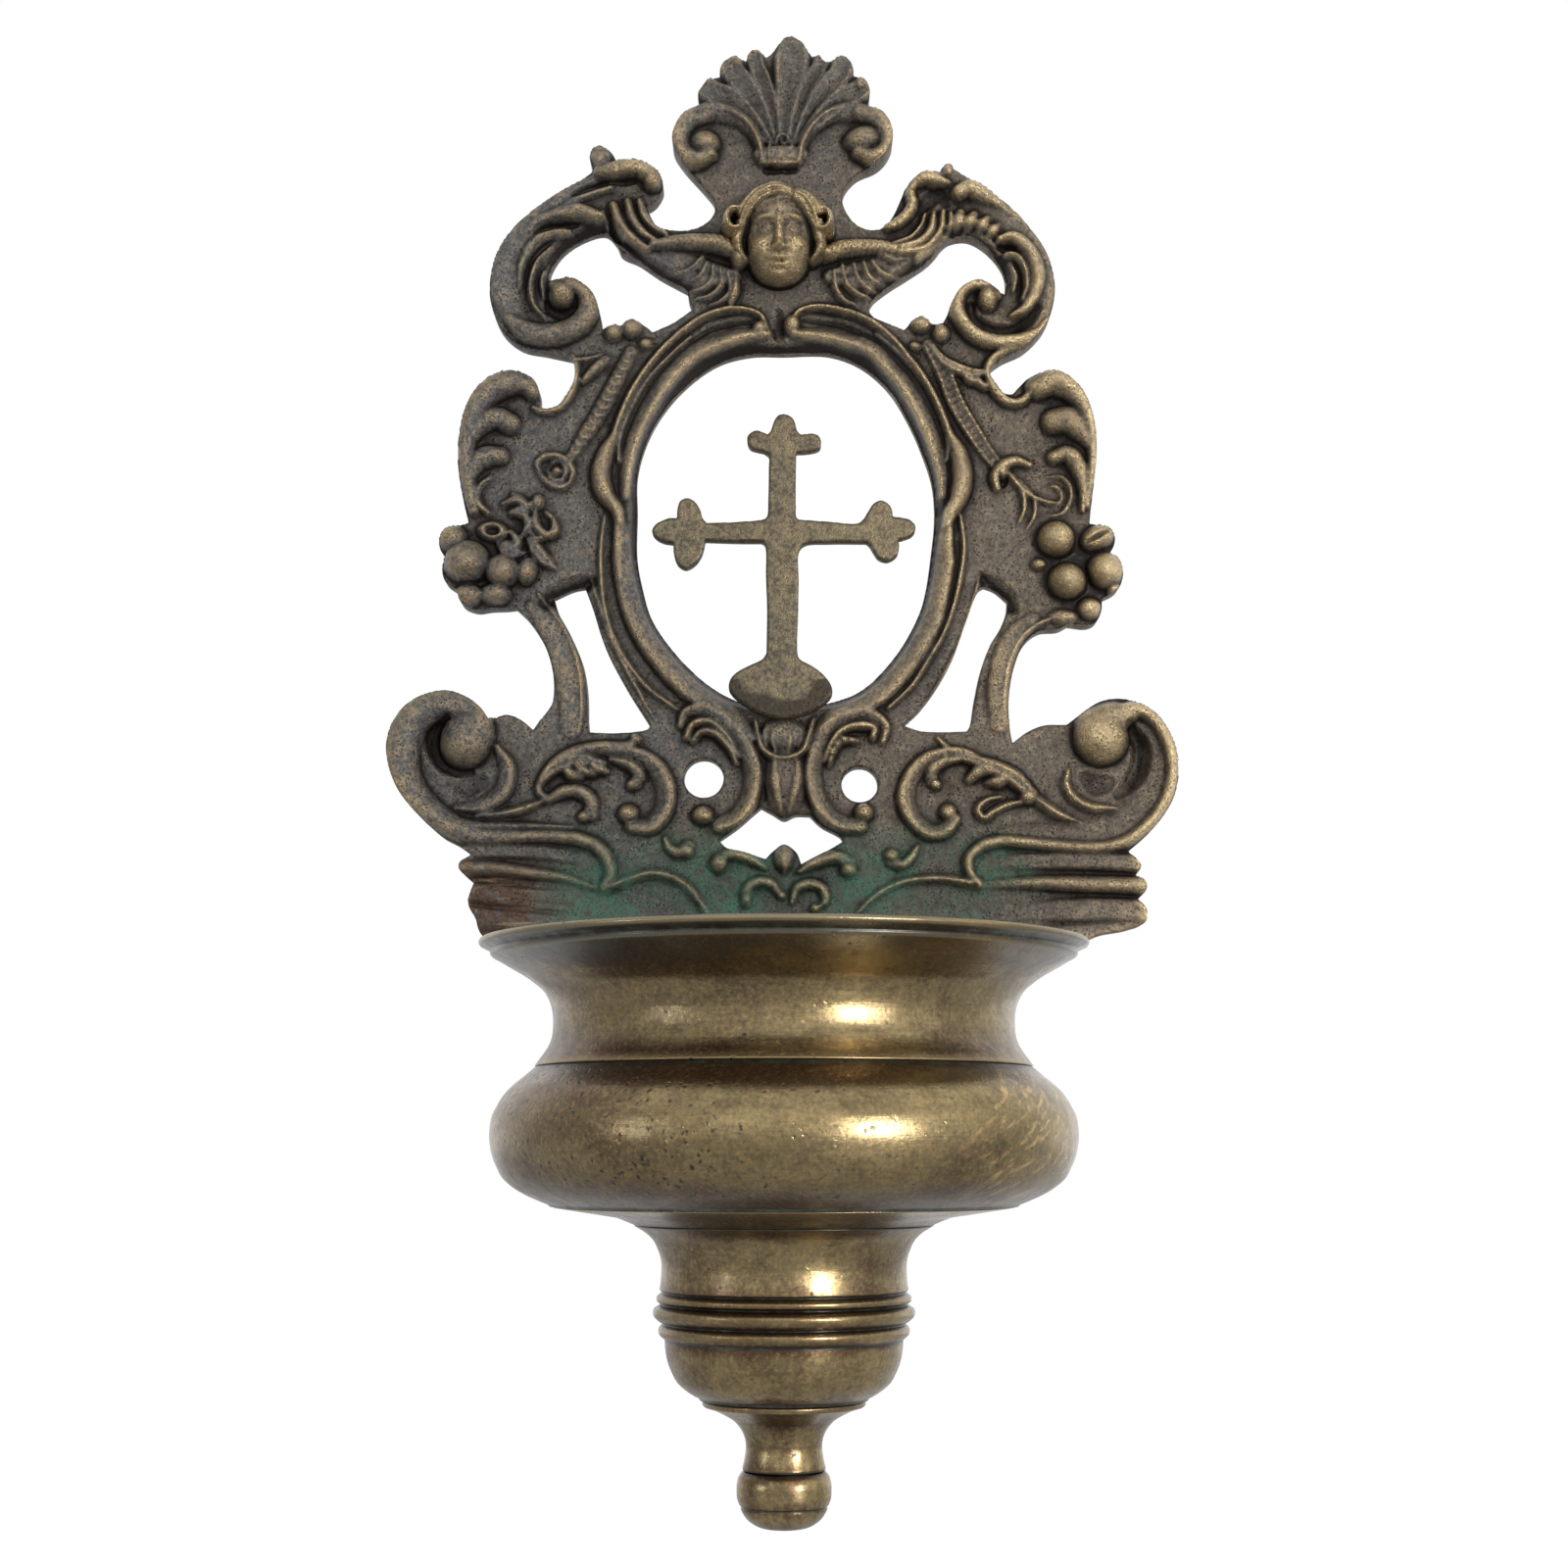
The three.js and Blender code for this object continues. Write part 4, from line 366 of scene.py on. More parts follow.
plate = {
    "box": (-71, 70.3, -34, 139.6), "cell": 0.25, "edge": 0.55, "seed": 3,
    "pieces": (("platePlinth", -40.0, 11.125), ("plateCartouche", 11.125, 81.125), ("plateCrest", 81.125, 150.0)),
    # from the tip of the palmette, down the right side and up the left
    "outline": """
    3 137.2 4 136 5.2 134.3 / 6.2 134.6 7 133.7 7.7 133 / 9.3 133.8 10.7 134.1 11.8 133.5 12.5 132.3 12.8 130.5 /
    13.8 130.3 15 129.3 15.7 127.5 15.3 124.6 / 17.7 123 19 121.3 19.8 118 19.3 116.3 18.3 114.7 16.7 113.3 13.3 111.7
    11.2 109.3 10.6 107 11.2 104.7 13.3 102 15.8 101.1 18.3 101.7 19.8 103.7 21.3 107 22.2 109 24.2 110.7 26.2 111.5
    28 111.4 / 28.5 112.3 29.2 113.3 30 113.6 30.7 113 34 110.5 38.7 107 42 104 45.3 100 47.8 95.7 48.9 90.7 48.5 86.3
    46.8 82.3 43.3 78.7 39.3 76.7 37.2 75 36.8 73.8 37.3 72.7 39.3 70.5 41 70.2 42 71.2 44.3 73.3 47.7 74.1 51 72.5
    54 68.7 55.6 63.3 55.8 59 55.3 54 54.8 49 54.5 46.3 / 56.3 45.9 58 45.2 58.9 43.8 58.8 42.3 57.8 40.6 / 59.2 39.5
    60.1 37 59.9 35.3 59 34 56.5 32.7 / 56.3 30.5 55.5 28.6 54 27.8 50.5 28.1 / 48.8 27.2 45.3 26.8 42.7 24.7 40.6 20
    39.6 14 39.8 9 40.2 6.6 / 42.7 8.5 45.8 9.8 49.8 9.9 / 52 11.5 55.8 14 60 14.5 64 12.7 67.3 9.2 68.9 4.2 68.6 -2
    66.6 -6 63.2 -10 60.2 -12.6 / 61.5 -14.1 62.2 -15.3 61.4 -16.8 / 62.7 -17.8 62.9 -19.5 61.6 -21.1 / 62.9 -22.7
    62.8 -25 60 -26.2 55 -27.2 52 -28.6 46 -31.6 34 -33 / -34 -33 / -46 -31.6 -52.8 -27 -53.6 -24.5 -55 -21.8
    -54.6 -20 -54 -18.3 / -55.5 -17 -56.5 -15.7 -56.2 -14.5 -54.5 -13.3 / -57 -11.5 -59.8 -10 -64.2 -6 -67.4 -2
    -69.1 2 -69.7 6 -68.8 10.2 -65.8 13.8 -61.7 15.6 -58.8 15.8 -55.5 14.5 -53 12.3 -52 10.7 / -50.7 11.2 -49 11.7
    -47.3 11.3 -45.7 10.3 -44.2 9 / -43 10.7 -41.7 12.3 -40.8 14 -40.8 19 -42.3 24 -45.3 28.8 -47.7 31.2 / -49.3 31
    -52 30.9 -54.7 30.6 -57.2 31.7 -57.8 34 / -59 34.7 -60.2 35.7 -60.8 38 -60.2 40.2 / -61.2 41.5 -61.3 42.8 -60.2 45
    -58.7 45.7 -56.3 46.5 / -57.3 50.7 -58.2 56.7 -58.1 62 -56.8 67.7 -54.5 71.5 -51.3 74 -48 74.3 -45.3 73 -44 70.7
    -43.9 67.3 / -41.7 67.2 -39 69.8 -37.6 72.7 -37.7 75.5 -38.2 77.2 / -42.7 78.2 -47.5 79.3 -51 82.3 -53 87.3
    -53.2 91.3 -52.3 96 -50 100 -46 104 -40 108.3 -34.7 112.2 / -35.4 114.7 -34.8 116.2 -33.7 116.7 -32.3 116.3
    -31.3 115.5 -30.5 114 / -26.7 113.6 -23.5 112.5 -22 109.5 -23.3 106.7 -24.9 105.5 / -24.3 103.7 -23 101.8
    -19.3 100.9 -15.3 101.7 -12.8 104 -12.7 106.5 -14.7 109.3 -18.3 113.5 -20.2 116.7 -20.2 118.7 -18.2 122.7
    -15.3 124.5 / -15.7 125.7 -15.6 127.2 -13.7 129.8 -11.7 130.2 / -11.8 130.8 -11 133 -9 133.9 -6.8 133.2 / -6.7 134
    -5.5 135.3 -3.8 134.5 -3.2 134 / -2.3 134.8 -0.3 137.5 1.5 138.2""",
    "oval": """
    0 78.3 8 78.3 13.7 76.2 18.7 71.8 22.3 65.9 25 59.5 26.6 54 27 48 26.3 41 25.3 34.5 24 30 20 22.8 14.3 16.8
    10.2 14.7 5 13.6 -5 13.6 -10 15.2 -14.3 18 -19.3 23 -23.5 29.2 -25.2 34.7 -26.3 40.7 -26.3 49 -26.4 55 -25.2 60.5
    -22.7 66 -18.3 71.7 -12 76.5 -6 78.2""",
    "openings": [
    """
    37.5 34.5 39.8 32.5 / 39.6 30.5 38.2 27 36.4 24 34.8 19.5 33.6 14 32.9 10 32.2 8.7 / 28 8.6 24 8.8 21 9.8 /
    24 12.7 27 16.7 30 22.2 32.3 28.5 34.7 34.5 35.7 35.2""",
    """
    -37.5 34.6 -41 33 / -40 30 -37.8 26 -35.7 21 -34.8 16 -34.6 11 -34.4 8.6 / -30 8.4 -24 9.1 -23.6 9.8 / -24.8 11.7
    -27.8 16.5 -31.7 24 -34 31 -35.5 35""",
    """
    -42.5 93.5 -40.4 97.2 -36.3 100.1 -32.5 101 -30.5 99 -29.5 97 -26.4 95.5 -22.5 92.8 -17.5 90 / -17.2 88
    -16.4 86.1 / -20 83.6 -23.8 81.8 / -25 82.8 -27.5 83.7 -29.7 82.6 / -31.3 82.8 -32.8 82.2 / -33.2 85 -34.5 88.5
    -37.7 91.2 -40 91.8 -42.5 91.5""",
    """
    40.3 91.7 39.8 94 37.3 97.5 33.6 99.9 30.3 99.6 28.8 98.5 27.5 96.8 25.8 95.1 22.2 92.6 19 90.5 16.2 88.2
    15.1 86.2 / 16 84.7 19.3 83.1 21.7 82.2 / 23.5 83.8 25 84.2 26.7 83.2 / 27.8 83.3 28.7 83.5 / 29.5 85 30.2 86.7
    32.2 89.7 35.3 91 38.2 89.7 40 89""",
    """
    -8 -8.2 -5.5 -6 -4 -4.7 / -2 -5.8 0 -6.9 2 -6.1 4.5 -6.1 / 6.5 -8 10 -10 10.3 -10.8 / 8 -12.2 5 -13.8 3 -14.8 /
    2.2 -12.8 0 -11.4 -2.2 -12.8 -3.2 -13.9 / -7 -12.8 -10 -12 -11.4 -10.6""",
    ],
    "screws": "-14.1 0.45 3.5, 13.3 -0.7 3.2",  # x, z and radius
    # strokes: cross section, widths / rises / path / and for some how many notches, how deep and how slanted
    "scrolls": """
    # the upper scroll on the right: sloping rim, ribs, spiral and head
    left 2 5 6.4 6.4 6 4.6 2.6 / 1 1.8 2.2 2.2 2 1.8 1.4 / 30.6 111.4 36 106.6 41.4 101.8 45 96.4 46.4 90.4 45.4 84.6
        41.6 80.4
    bead 1.8 2.4 2.6 2.7 2.6 2.5 2.4 2.2 1.6 / 2.2 2.8 3 3.1 3.1 3.1 3 2.8 2.4 / 47.6 83.4 46 81.2 42.7 79.9 38.4 79.6
        34.9 80.7 32.3 83.2 31.1 86.2 31.8 89 34 90.5 36.8 90.1 38.4 88.4
    bead 1.2 2.2 2.6 2.7 2.6 2 0.9 / 2.6 3.3 3.6 3.7 3.5 3 2 / 39 98.8 41.4 99.2 44 96.9 45.7 92.8 45.2 88.6 43.4 85.8
        41 84.6
    ridge 1.2 1.5 1.5 1.3 0.8 / 2.4 3 3.2 3 2.4 / 40.2 96.4 42.2 95.6 43.6 93 43.8 90.2 43 87.6
    ridge 0.7 0.9 0.7 / 2 / 40.9 94.7 41.9 92.1 41.4 89.2
    bead 2.6 3 2.6 1.6 0.8 / 2.9 3.2 2.9 2.4 1.6 / 31.8 107.7 33.6 108.4 36 107.2 38.6 105.4 41.2 103.6
    bead 1.4 1.9 1.9 1.9 1.7 1.2 / 2.6 3.2 3.3 3.3 3.2 2.6 / 18.8 101.2 20.4 101.9 22.3 103.6 23.3 105.6 23 107.8
        23.6 109.5 / 8 0.16
    bead 1.8 2.6 2.2 1 / 3.2 / 23.6 109.6 25.6 110.6 27.6 110 29.8 109.7
    bead 1.4 1.6 1 / 2.4 / 24.4 111 26.6 111.4 28.8 111.2
    bead 1.2 2.2 2.4 1.6 / 2.4 3 3 2.2 / 31 100.4 31.5 102 32 103.8
    bead 1.2 2.2 2.4 1.6 / 2.4 3 3 2.2 / 33 100.2 33.6 101.8 34.4 103.4
    bead 1.2 2.1 2.2 1.4 / 2.4 2.9 2.9 2.2 / 35 99.8 35.8 101.2 36.8 102.6
    bead 1 1.8 2 1.2 / 2.2 2.8 2.8 2 / 36.8 99 37.6 100.2 38.8 101.4
    bead 1 1.4 1.4 1.2 / 2.4 / 30.4 100.2 33.8 100 36.6 98.8 38.9 96.9
    # the upper scroll on the left, heavier and darker
    right 2 5.6 7 7 6.6 5 2.6 / 1 2 2.6 2.6 2.4 2 1.4 / -34 110.6 -39.4 106.4 -45 101.4 -49 95.4 -50 89.4 -48.4 84.4
        -44.4 81.4
    bead 2 3.2 3.6 3.6 3.4 3 2.4 1.6 / 2.2 2.8 3 3.1 3.1 3 2.8 2.2 / -49.4 84 -46.6 81.8 -43 81 -39.2 81.6 -36.4 83.4
        -35.2 86.2 -36.2 89 -39 90.4 -41.8 90.2
    bead 2 2.6 2.4 1.8 1 / 3 3.3 3 2.6 2 / -33.4 103 -37.4 104 -41 103.3 -44.8 102 -47.6 99
    bead 1 1.8 1.9 1.4 0.8 / 2.7 / -38.8 100.4 -42.8 99.8 -45.6 97.6 -47.4 94 -47.8 90
    ridge 0.8 1.2 1.2 0.8 / 2.5 / -42 97.6 -44.6 94.6 -45.8 90.6 -45.2 86.8 -43.2 84.4
    ridge 0.7 1 1 0.7 / 2.3 / -42.4 94.6 -43.7 91.4 -43.4 88
    bead 2.2 3 3 2.8 / 2.8 3.2 3.4 3.2 / -33.4 111.6 -30.3 112 -26.7 112.2 -24.2 110.8
    bead 2.4 3 3 / 2.6 / -33.2 112.6 -33.5 114.6 -33.6 115.4
    bead 1 1.6 1.4 0.8 / 2.2 / -31.4 108.8 -34.6 107.8 -38.4 105.8 -41.6 103.8""",
    # the flower on the left, and the leaves round the fruit
    "flower": """
    bead 0.8 1.2 1.2 1.2 0.8 / 1.2 1.7 1.9 1.7 1.4 / -43.8 55.6 -44.2 57.1 -43 58.4 -40.8 58.6 -38.9 57.6 -37.7 55.6
        -38.2 53.6
    bead 0.8 1.2 1.2 0.8 / 1.6 / -43.4 54.9 -41.9 53.4 -40 52.7 -38.2 53.6
    bead 0.6 0.9 0.9 0.6 / 1.5 / -41.6 57.3 -40 57.5 -39 55.7 -39.8 54 -41.4 54.3 -42.2 56
    bead 1 1.6 1.4 0.8 / 2.5 / -44.4 48.2 -43.9 45.4 -42 43.9 -40.5 44.7 -40.7 46.4
    leaf 1.2 3 2.8 0.8 / 2 2.7 2.4 1.4 / -45.4 43.2 -44 41.2 -42.6 39.5 -40.6 38
    leaf 1.2 2.6 2.2 0.8 / 2.5 / -50.8 42.6 -49.4 41 -47.6 40.4 -46 40.8
    bead 0.8 1.5 1.5 0.9 / 2.5 / -48 47.8 -46 47.2 -45.5 45.4 -46.7 43.6
    bead 0.8 1.4 1.2 0.8 / 2.4 / -50.2 49.6 -47.6 50.2 -45.8 49.2 -45.6 47.8
    bead 0.8 1.3 1 / 2.2 / -52.6 48 -54.4 49.6 -54.8 51.6
    bead 1 1.6 1.2 / 2.6 / -48.6 44.6 -47.4 42.6 -47.8 40.4""",
    "crest": """
    flute 1.4 3 4.4 6 6.8 4.4 / 1.4 1.8 2 2.2 2.2 1.2 / 0 117.5 0.2 122 0.7 126.4 1.2 130.4 1.5 133.6 1.7 137
    flute 1 2 2.8 3.4 3 / 1.4 1.8 2 2 1.3 / -1.2 118 -2 123 -3.4 128 -5 132 -5.4 134
    flute 1 2.4 3.8 4.8 4.4 / 1.4 1.8 2.1 2.2 1.5 / -1.8 117.6 -4 122.6 -6.8 127.4 -9.2 130.8 -10 132.6
    flute 1.2 2.8 4.2 5 4.4 / 1.4 1.9 2.2 2.2 1.5 / -2.6 117.4 -5.6 121.4 -9.4 124.8 -13 127 -14.4 128
    flute 1 2 2.8 3.2 3 / 1.4 1.8 2 2 1.3 / 1.4 118 2.6 123 4.4 128 6.2 131.6 6.8 133.2
    flute 1 2.4 3.8 4.8 4.4 / 1.4 1.8 2.1 2.2 1.5 / 2 117.6 4.6 122.6 7.6 127.2 10.2 130.6 11 132.4
    flute 1.2 2.8 4.2 4.8 4.2 / 1.4 1.9 2.2 2.2 1.5 / 2.6 117.4 6 121.4 9.8 124.8 13.4 127.2 14.6 128.2
    right 1.4 2.2 2.8 3.4 4.4 4.4 3 / 2.6 3 3.1 3.1 3 3 2.4 / -4 113.6 -4.8 117.6 -6.8 120.8 -10 122.8 -13.4 123.2
        -16.6 121.8 -18.4 118.4
    left 1.4 2.2 2.8 3.4 4.2 4.2 3 / 2.6 3 3.1 3.1 3 3 2.4 / 2.7 113.6 3.9 118 6.2 121 9.2 122.9 12.6 123.2 15.8 122
        18 118.6
    bead 2.6 3.4 3.8 3.6 3 2 / 2.8 3.1 3.2 3.2 3.2 3 / -14 122.8 -17.6 121.4 -19.3 118.4 -18.6 115.2 -16 113.9
        -13.2 115
    bead 2.6 3.4 3.8 3.6 3 2 / 2.8 3.1 3.2 3.2 3.2 3 / 13.6 123 17.4 121.6 19.2 118.8 18.8 115.8 16.4 114.4 13.4 115.2
    ridge 1 1.3 1.2 1 0.8 / 3.4 / -4 113.4 -4.5 117 -6.6 120.8 -9.8 123 -13.2 123.6
    ridge 1 1.3 1.2 1 0.8 / 3.4 / 2.7 113.4 3.6 117.4 6 121.2 9 123.3 12.4 123.8
    band 3 3.6 3.6 3 / 2.4 / -4.2 115.2 -1.6 115 1 115 3 115.2
    ridge 0.8 / 2.9 / -4.6 113.5 -1.6 113.1 1 113.1 3.4 113.5
    ridge 0.6 0.8 0.6 / 2.9 / -2.8 113.4 -2.7 115.4 -2.6 117.6
    ridge 0.5 0.7 0.5 / 2.9 / -0.9 113.2 -0.8 115 -0.6 116.6
    ridge 0.6 0.8 0.6 / 2.9 / 1.4 113.4 1.4 115.4 1.5 117.6
    ridge 0.7 / 2.9 / -1.5 117 -0.9 118.6 0.4 118.6 1 117""",
    "wings": """
    # the wing on the right: arm with slanting barbs, shell-like feathers, long feathers at the end
    leaf 3 6 8 7.6 5.6 4 / 1.8 1.6 1.5 1.5 1.6 1.4 / 8.4 92 12.4 92.2 16 92.6 20 94.4 24.4 97.4 28 101.6
    left 1.2 1.9 1.6 0.8 / 3.6 3.4 3 2.4 / 17.1 95.4 19.6 94.6 22.8 94.8 25.2 96.2
    left 1.2 2 1.7 0.8 / 3.6 3.4 3 2.2 / 15.7 94.4 17.6 92 20.6 91.4 23.2 92.9
    left 1.2 1.8 1.6 0.8 / 3.6 3.3 2.8 2 / 14.2 94.2 15.3 91.4 17.8 90 20 90.6
    left 1.1 1.6 1.5 0.8 / 3.5 3.2 2.7 2 / 12.4 94 13.2 91.2 15.3 89.3 17.4 88.9
    left 1.1 1.6 1.5 0.8 / 3.4 3.1 2.6 1.9 / 10.4 93.8 11 90.6 13.2 88.6 15.9 87.8
    left 1 1.5 1.4 0.8 / 3.3 3 2.5 1.8 / 8.9 92.8 9.2 89.6 10.8 87.4 12.8 86.6
    bead 1.3 1.6 1.5 0.9 / 3.8 3.7 3.2 2.4 / 21.4 97 24.4 98 26.6 100.4 27.2 104
    bead 1.3 1.6 1.5 0.9 / 3.8 3.7 3.2 2.4 / 21 95.9 25.4 96.8 28.2 99.8 28.9 104.2
    bead 1.2 1.4 1.3 0.8 / 3.6 3.5 3.2 2.4 / 24 94.9 27.8 97.6 30 101 30.2 103.8
    ridge 0.9 1.1 1 0.6 / 3.2 3.2 3 2.2 / 19.6 97.8 22.8 99 24.8 101.4 25.6 104
    bead 2.6 3 2.8 2.6 2.4 1.6 / 4.8 4.9 4.6 4.3 4 3.6 / 7.6 95.7 10.3 96.6 14.2 97 17.1 97 20 96.6 23 96.8
        / 15 0.2 1.3
    # the wing on the left, worn softer
    leaf 3 6 8 7.4 5.4 4 / 1.8 1.6 1.5 1.5 1.6 1.4 / -9 92 -13 92.2 -17 93 -21 95 -25 98 -29.6 102.6
    right 1.2 1.9 1.6 0.8 / 3.5 3.3 2.8 2.2 / -14.6 95.2 -16.6 93 -19.8 92.2 -22.4 93
    right 1.2 1.8 1.6 0.8 / 3.4 3.2 2.7 2 / -13.7 94.2 -15 91.6 -17.6 90.6 -20 91.2
    right 1.1 1.7 1.5 0.8 / 3.4 3.1 2.6 1.9 / -12.6 93.8 -12.9 90.8 -15.4 89.2 -17.8 89.4
    right 1.1 1.6 1.5 0.8 / 3.3 3 2.5 1.8 / -11.3 93.2 -11.1 90.2 -13.4 88.2 -15.8 87.8
    right 1 1.5 1.4 0.8 / 3.2 2.9 2.4 1.8 / -10 92.6 -9.5 89.2 -11.4 87.2 -13.4 86.6
    bead 1 1.4 1.2 / 2.8 / -8.6 91.4 -8.8 89 -9.6 87
    bead 1.4 1.9 1.9 1.4 / 2.6 3.4 3.6 3.4 / -31 105.4 -29.7 101.6 -27.4 98.6 -24.8 96.6
    bead 1.2 1.7 1.7 1.2 / 2.6 3.4 3.6 3.4 / -28.4 106.2 -27.4 102.4 -25.4 99.6 -23 97.9
    bead 1.1 1.4 1.4 1 / 2.4 3.1 3.3 3.2 / -26.2 106.2 -25.4 103.2 -23.8 101 -21.4 99.6
    ridge 0.8 1.1 1 0.7 / 2.8 / -32.8 104.2 -31.8 100.6 -29.4 97.4 -26 95
    bead 2.4 3 3 2.8 2.4 1.6 / 4.6 4.7 4.4 4.1 3.8 3.4 / -7.9 94.6 -9 96.2 -11.7 97.6 -16 98 -20.3 98 -23.8 97.4
        / 15 0.13 -1.3""",
    "frame": """
    # the oval's inner bead, then the thin lines and the trough outside it, then the outer moulding that swells at the hips
    right 1.6 2.6 2.8 2.8 2.8 2.7 2.4 1.6 / 3 3.4 3.4 3.4 3.4 3.3 3 2.6 / 1.8 81.4 8 80.8 12.2 79.6 15.5 78.6 19 74.9
        22.1 70.7 24.8 66 26.8 61 28 55.7 28.2 51.4
    left 1.6 2.6 2.8 2.8 2.8 2.7 2.4 1.6 / 3 3.3 3.3 3.3 3.3 3.2 3 2.6 / -3 81.4 -8 80.9 -12.4 79.4 -16 77.8
        -19.4 74.5 -22.4 70.4 -25 65.8 -27 61 -28.2 55.7 -28.5 51
    ridge 0.8 0.9 0.9 0.9 0.8 / 1.8 1.8 1.7 1.8 1.8 / 16.6 81 20.4 77.6 24.6 72.6 27.9 66.2 29.1 61.5 29.1 57.6
    ridge 0.8 0.9 0.9 0.9 0.8 / 1.7 1.7 1.6 1.7 1.7 / -16.8 80.6 -20.6 77 -24.8 72.2 -28 66 -29.4 61.5 -29.6 57.6
    ridge 0.9 1.4 1.5 1.4 1.4 1.5 / 2.2 3.2 3.2 3 2.9 2.9 / 1.4 82.2 2.4 85 6 86.1 10 85.5 14.3 84 19.3 80.2 22.4 76.6
        25.4 72.2 28 67 29.6 62.6
    ridge 0.9 1.4 1.5 1.4 1.4 1.5 / 2.2 3.1 3.1 2.9 2.8 2.8 / -3 82.2 -4.4 84.8 -8.8 85.8 -14 84.5 -18.5 81.3
        -22.5 77.4 -26 72.6 -28.8 67 -30.4 62.4
    bead 1.2 2.6 3.1 3.1 2.4 1.6 / 2.6 3.2 3.6 3.6 3.3 2.8 / 29.4 62.8 31.1 58.9 31.8 54.4 31.1 50.6 29.6 47.8 29 45.6
    bead 1.2 2.4 2.9 2.9 2.2 1.6 / 2.4 3 3.3 3.2 3 2.6 / -30.2 62.6 -31.9 58.6 -32.7 54.6 -31.8 51.4 -29.8 48.6
        -29.2 46
    left 1.8 3.1 3.3 3.3 3.3 3.2 2.8 1.4 / 3 3.4 3.5 3.5 3.5 3.4 3.2 2.6 / 29.1 46.2 28.7 43 28.4 38.6 27.5 34.1
        26.4 29.2 24.1 24.3 21.2 19.9 17.7 16 14.4 13.6 11 12.2 7.6 10.4 5 7.2
    right 1.8 3.1 3.3 3.3 3.3 3.2 2.8 1.4 / 3 3.3 3.4 3.4 3.4 3.3 3.1 2.6 / -29.2 47 -28.9 43 -28.5 38.6 -27.7 34.1
        -26.4 29.4 -24.2 25 -21.2 20.8 -17.6 16.8 -14 14.2 -10.8 12.4 -7.8 10.4 -5.2 7.4
    ridge 0.8 1.1 1.1 1.1 0.9 / 1.8 2 2 2 1.8 / 31.4 47.6 32 42.1 31.3 36.3 30 31 28.2 26.1 25.1 20.8 22.5 16.8
        18.4 12.8
    ridge 0.8 1.1 1.1 1.1 0.9 / 1.6 1.9 1.9 1.9 1.7 / -32 47.4 -32.6 40.9 -32 31.9 -30.4 26.1 -27.6 20.8 -24 16.4
        -19 12.6
    ridge 1 / 1.6 / 34.8 36.8 33.7 32.4 31.8 26.2 29.2 20.4 26 15 22.6 10.8
    ridge 1 / 1.5 / -34.6 37 -33 32 -30.8 25.6 -28 20 -25 14.6 -22.8 10.6
    # posts beside the openings, raised along one edge
    band 1.6 3.4 3.6 3.4 3 / 0.8 1.2 1.2 1.2 0.7 / 44.4 29.2 41.4 26.6 38.9 21.6 37.9 16.4 37.9 10
    ridge 0.8 1.2 1.2 1.1 0.8 / 1.6 2 2 1.9 1.2 / 47.6 28.9 45.6 28.2 42.4 25.8 40 21.4 38.9 16 38.9 10.6
    band 1.6 3.4 3.6 3.4 3 / 0.8 1.1 1.1 1.1 0.7 / -45 31.4 -41.6 27.4 -39.2 21.6 -37.8 15.4 -37.6 9
    ridge 0.8 1.1 1.1 1.1 0.8 / 1.5 1.8 1.8 1.8 1.2 / -43.6 33.4 -40.2 29 -37.6 24.3 -36 18.5 -35.7 12.4 -36.2 8
    # garland strips, notched across
    flute 1.8 2.4 2.5 2.4 2 / 2.3 / 26 79.2 28.7 73.9 30.8 68.4 33.4 63.8 36 59.7 37.7 57.4 / 19 0.34
    bead 2 2.4 2.5 2.4 1.6 / 2.3 / -27.6 78 -28.8 75.3 -32.3 68 -35.7 62.2 -38.2 58.2 / 14 0.35 0.6""",
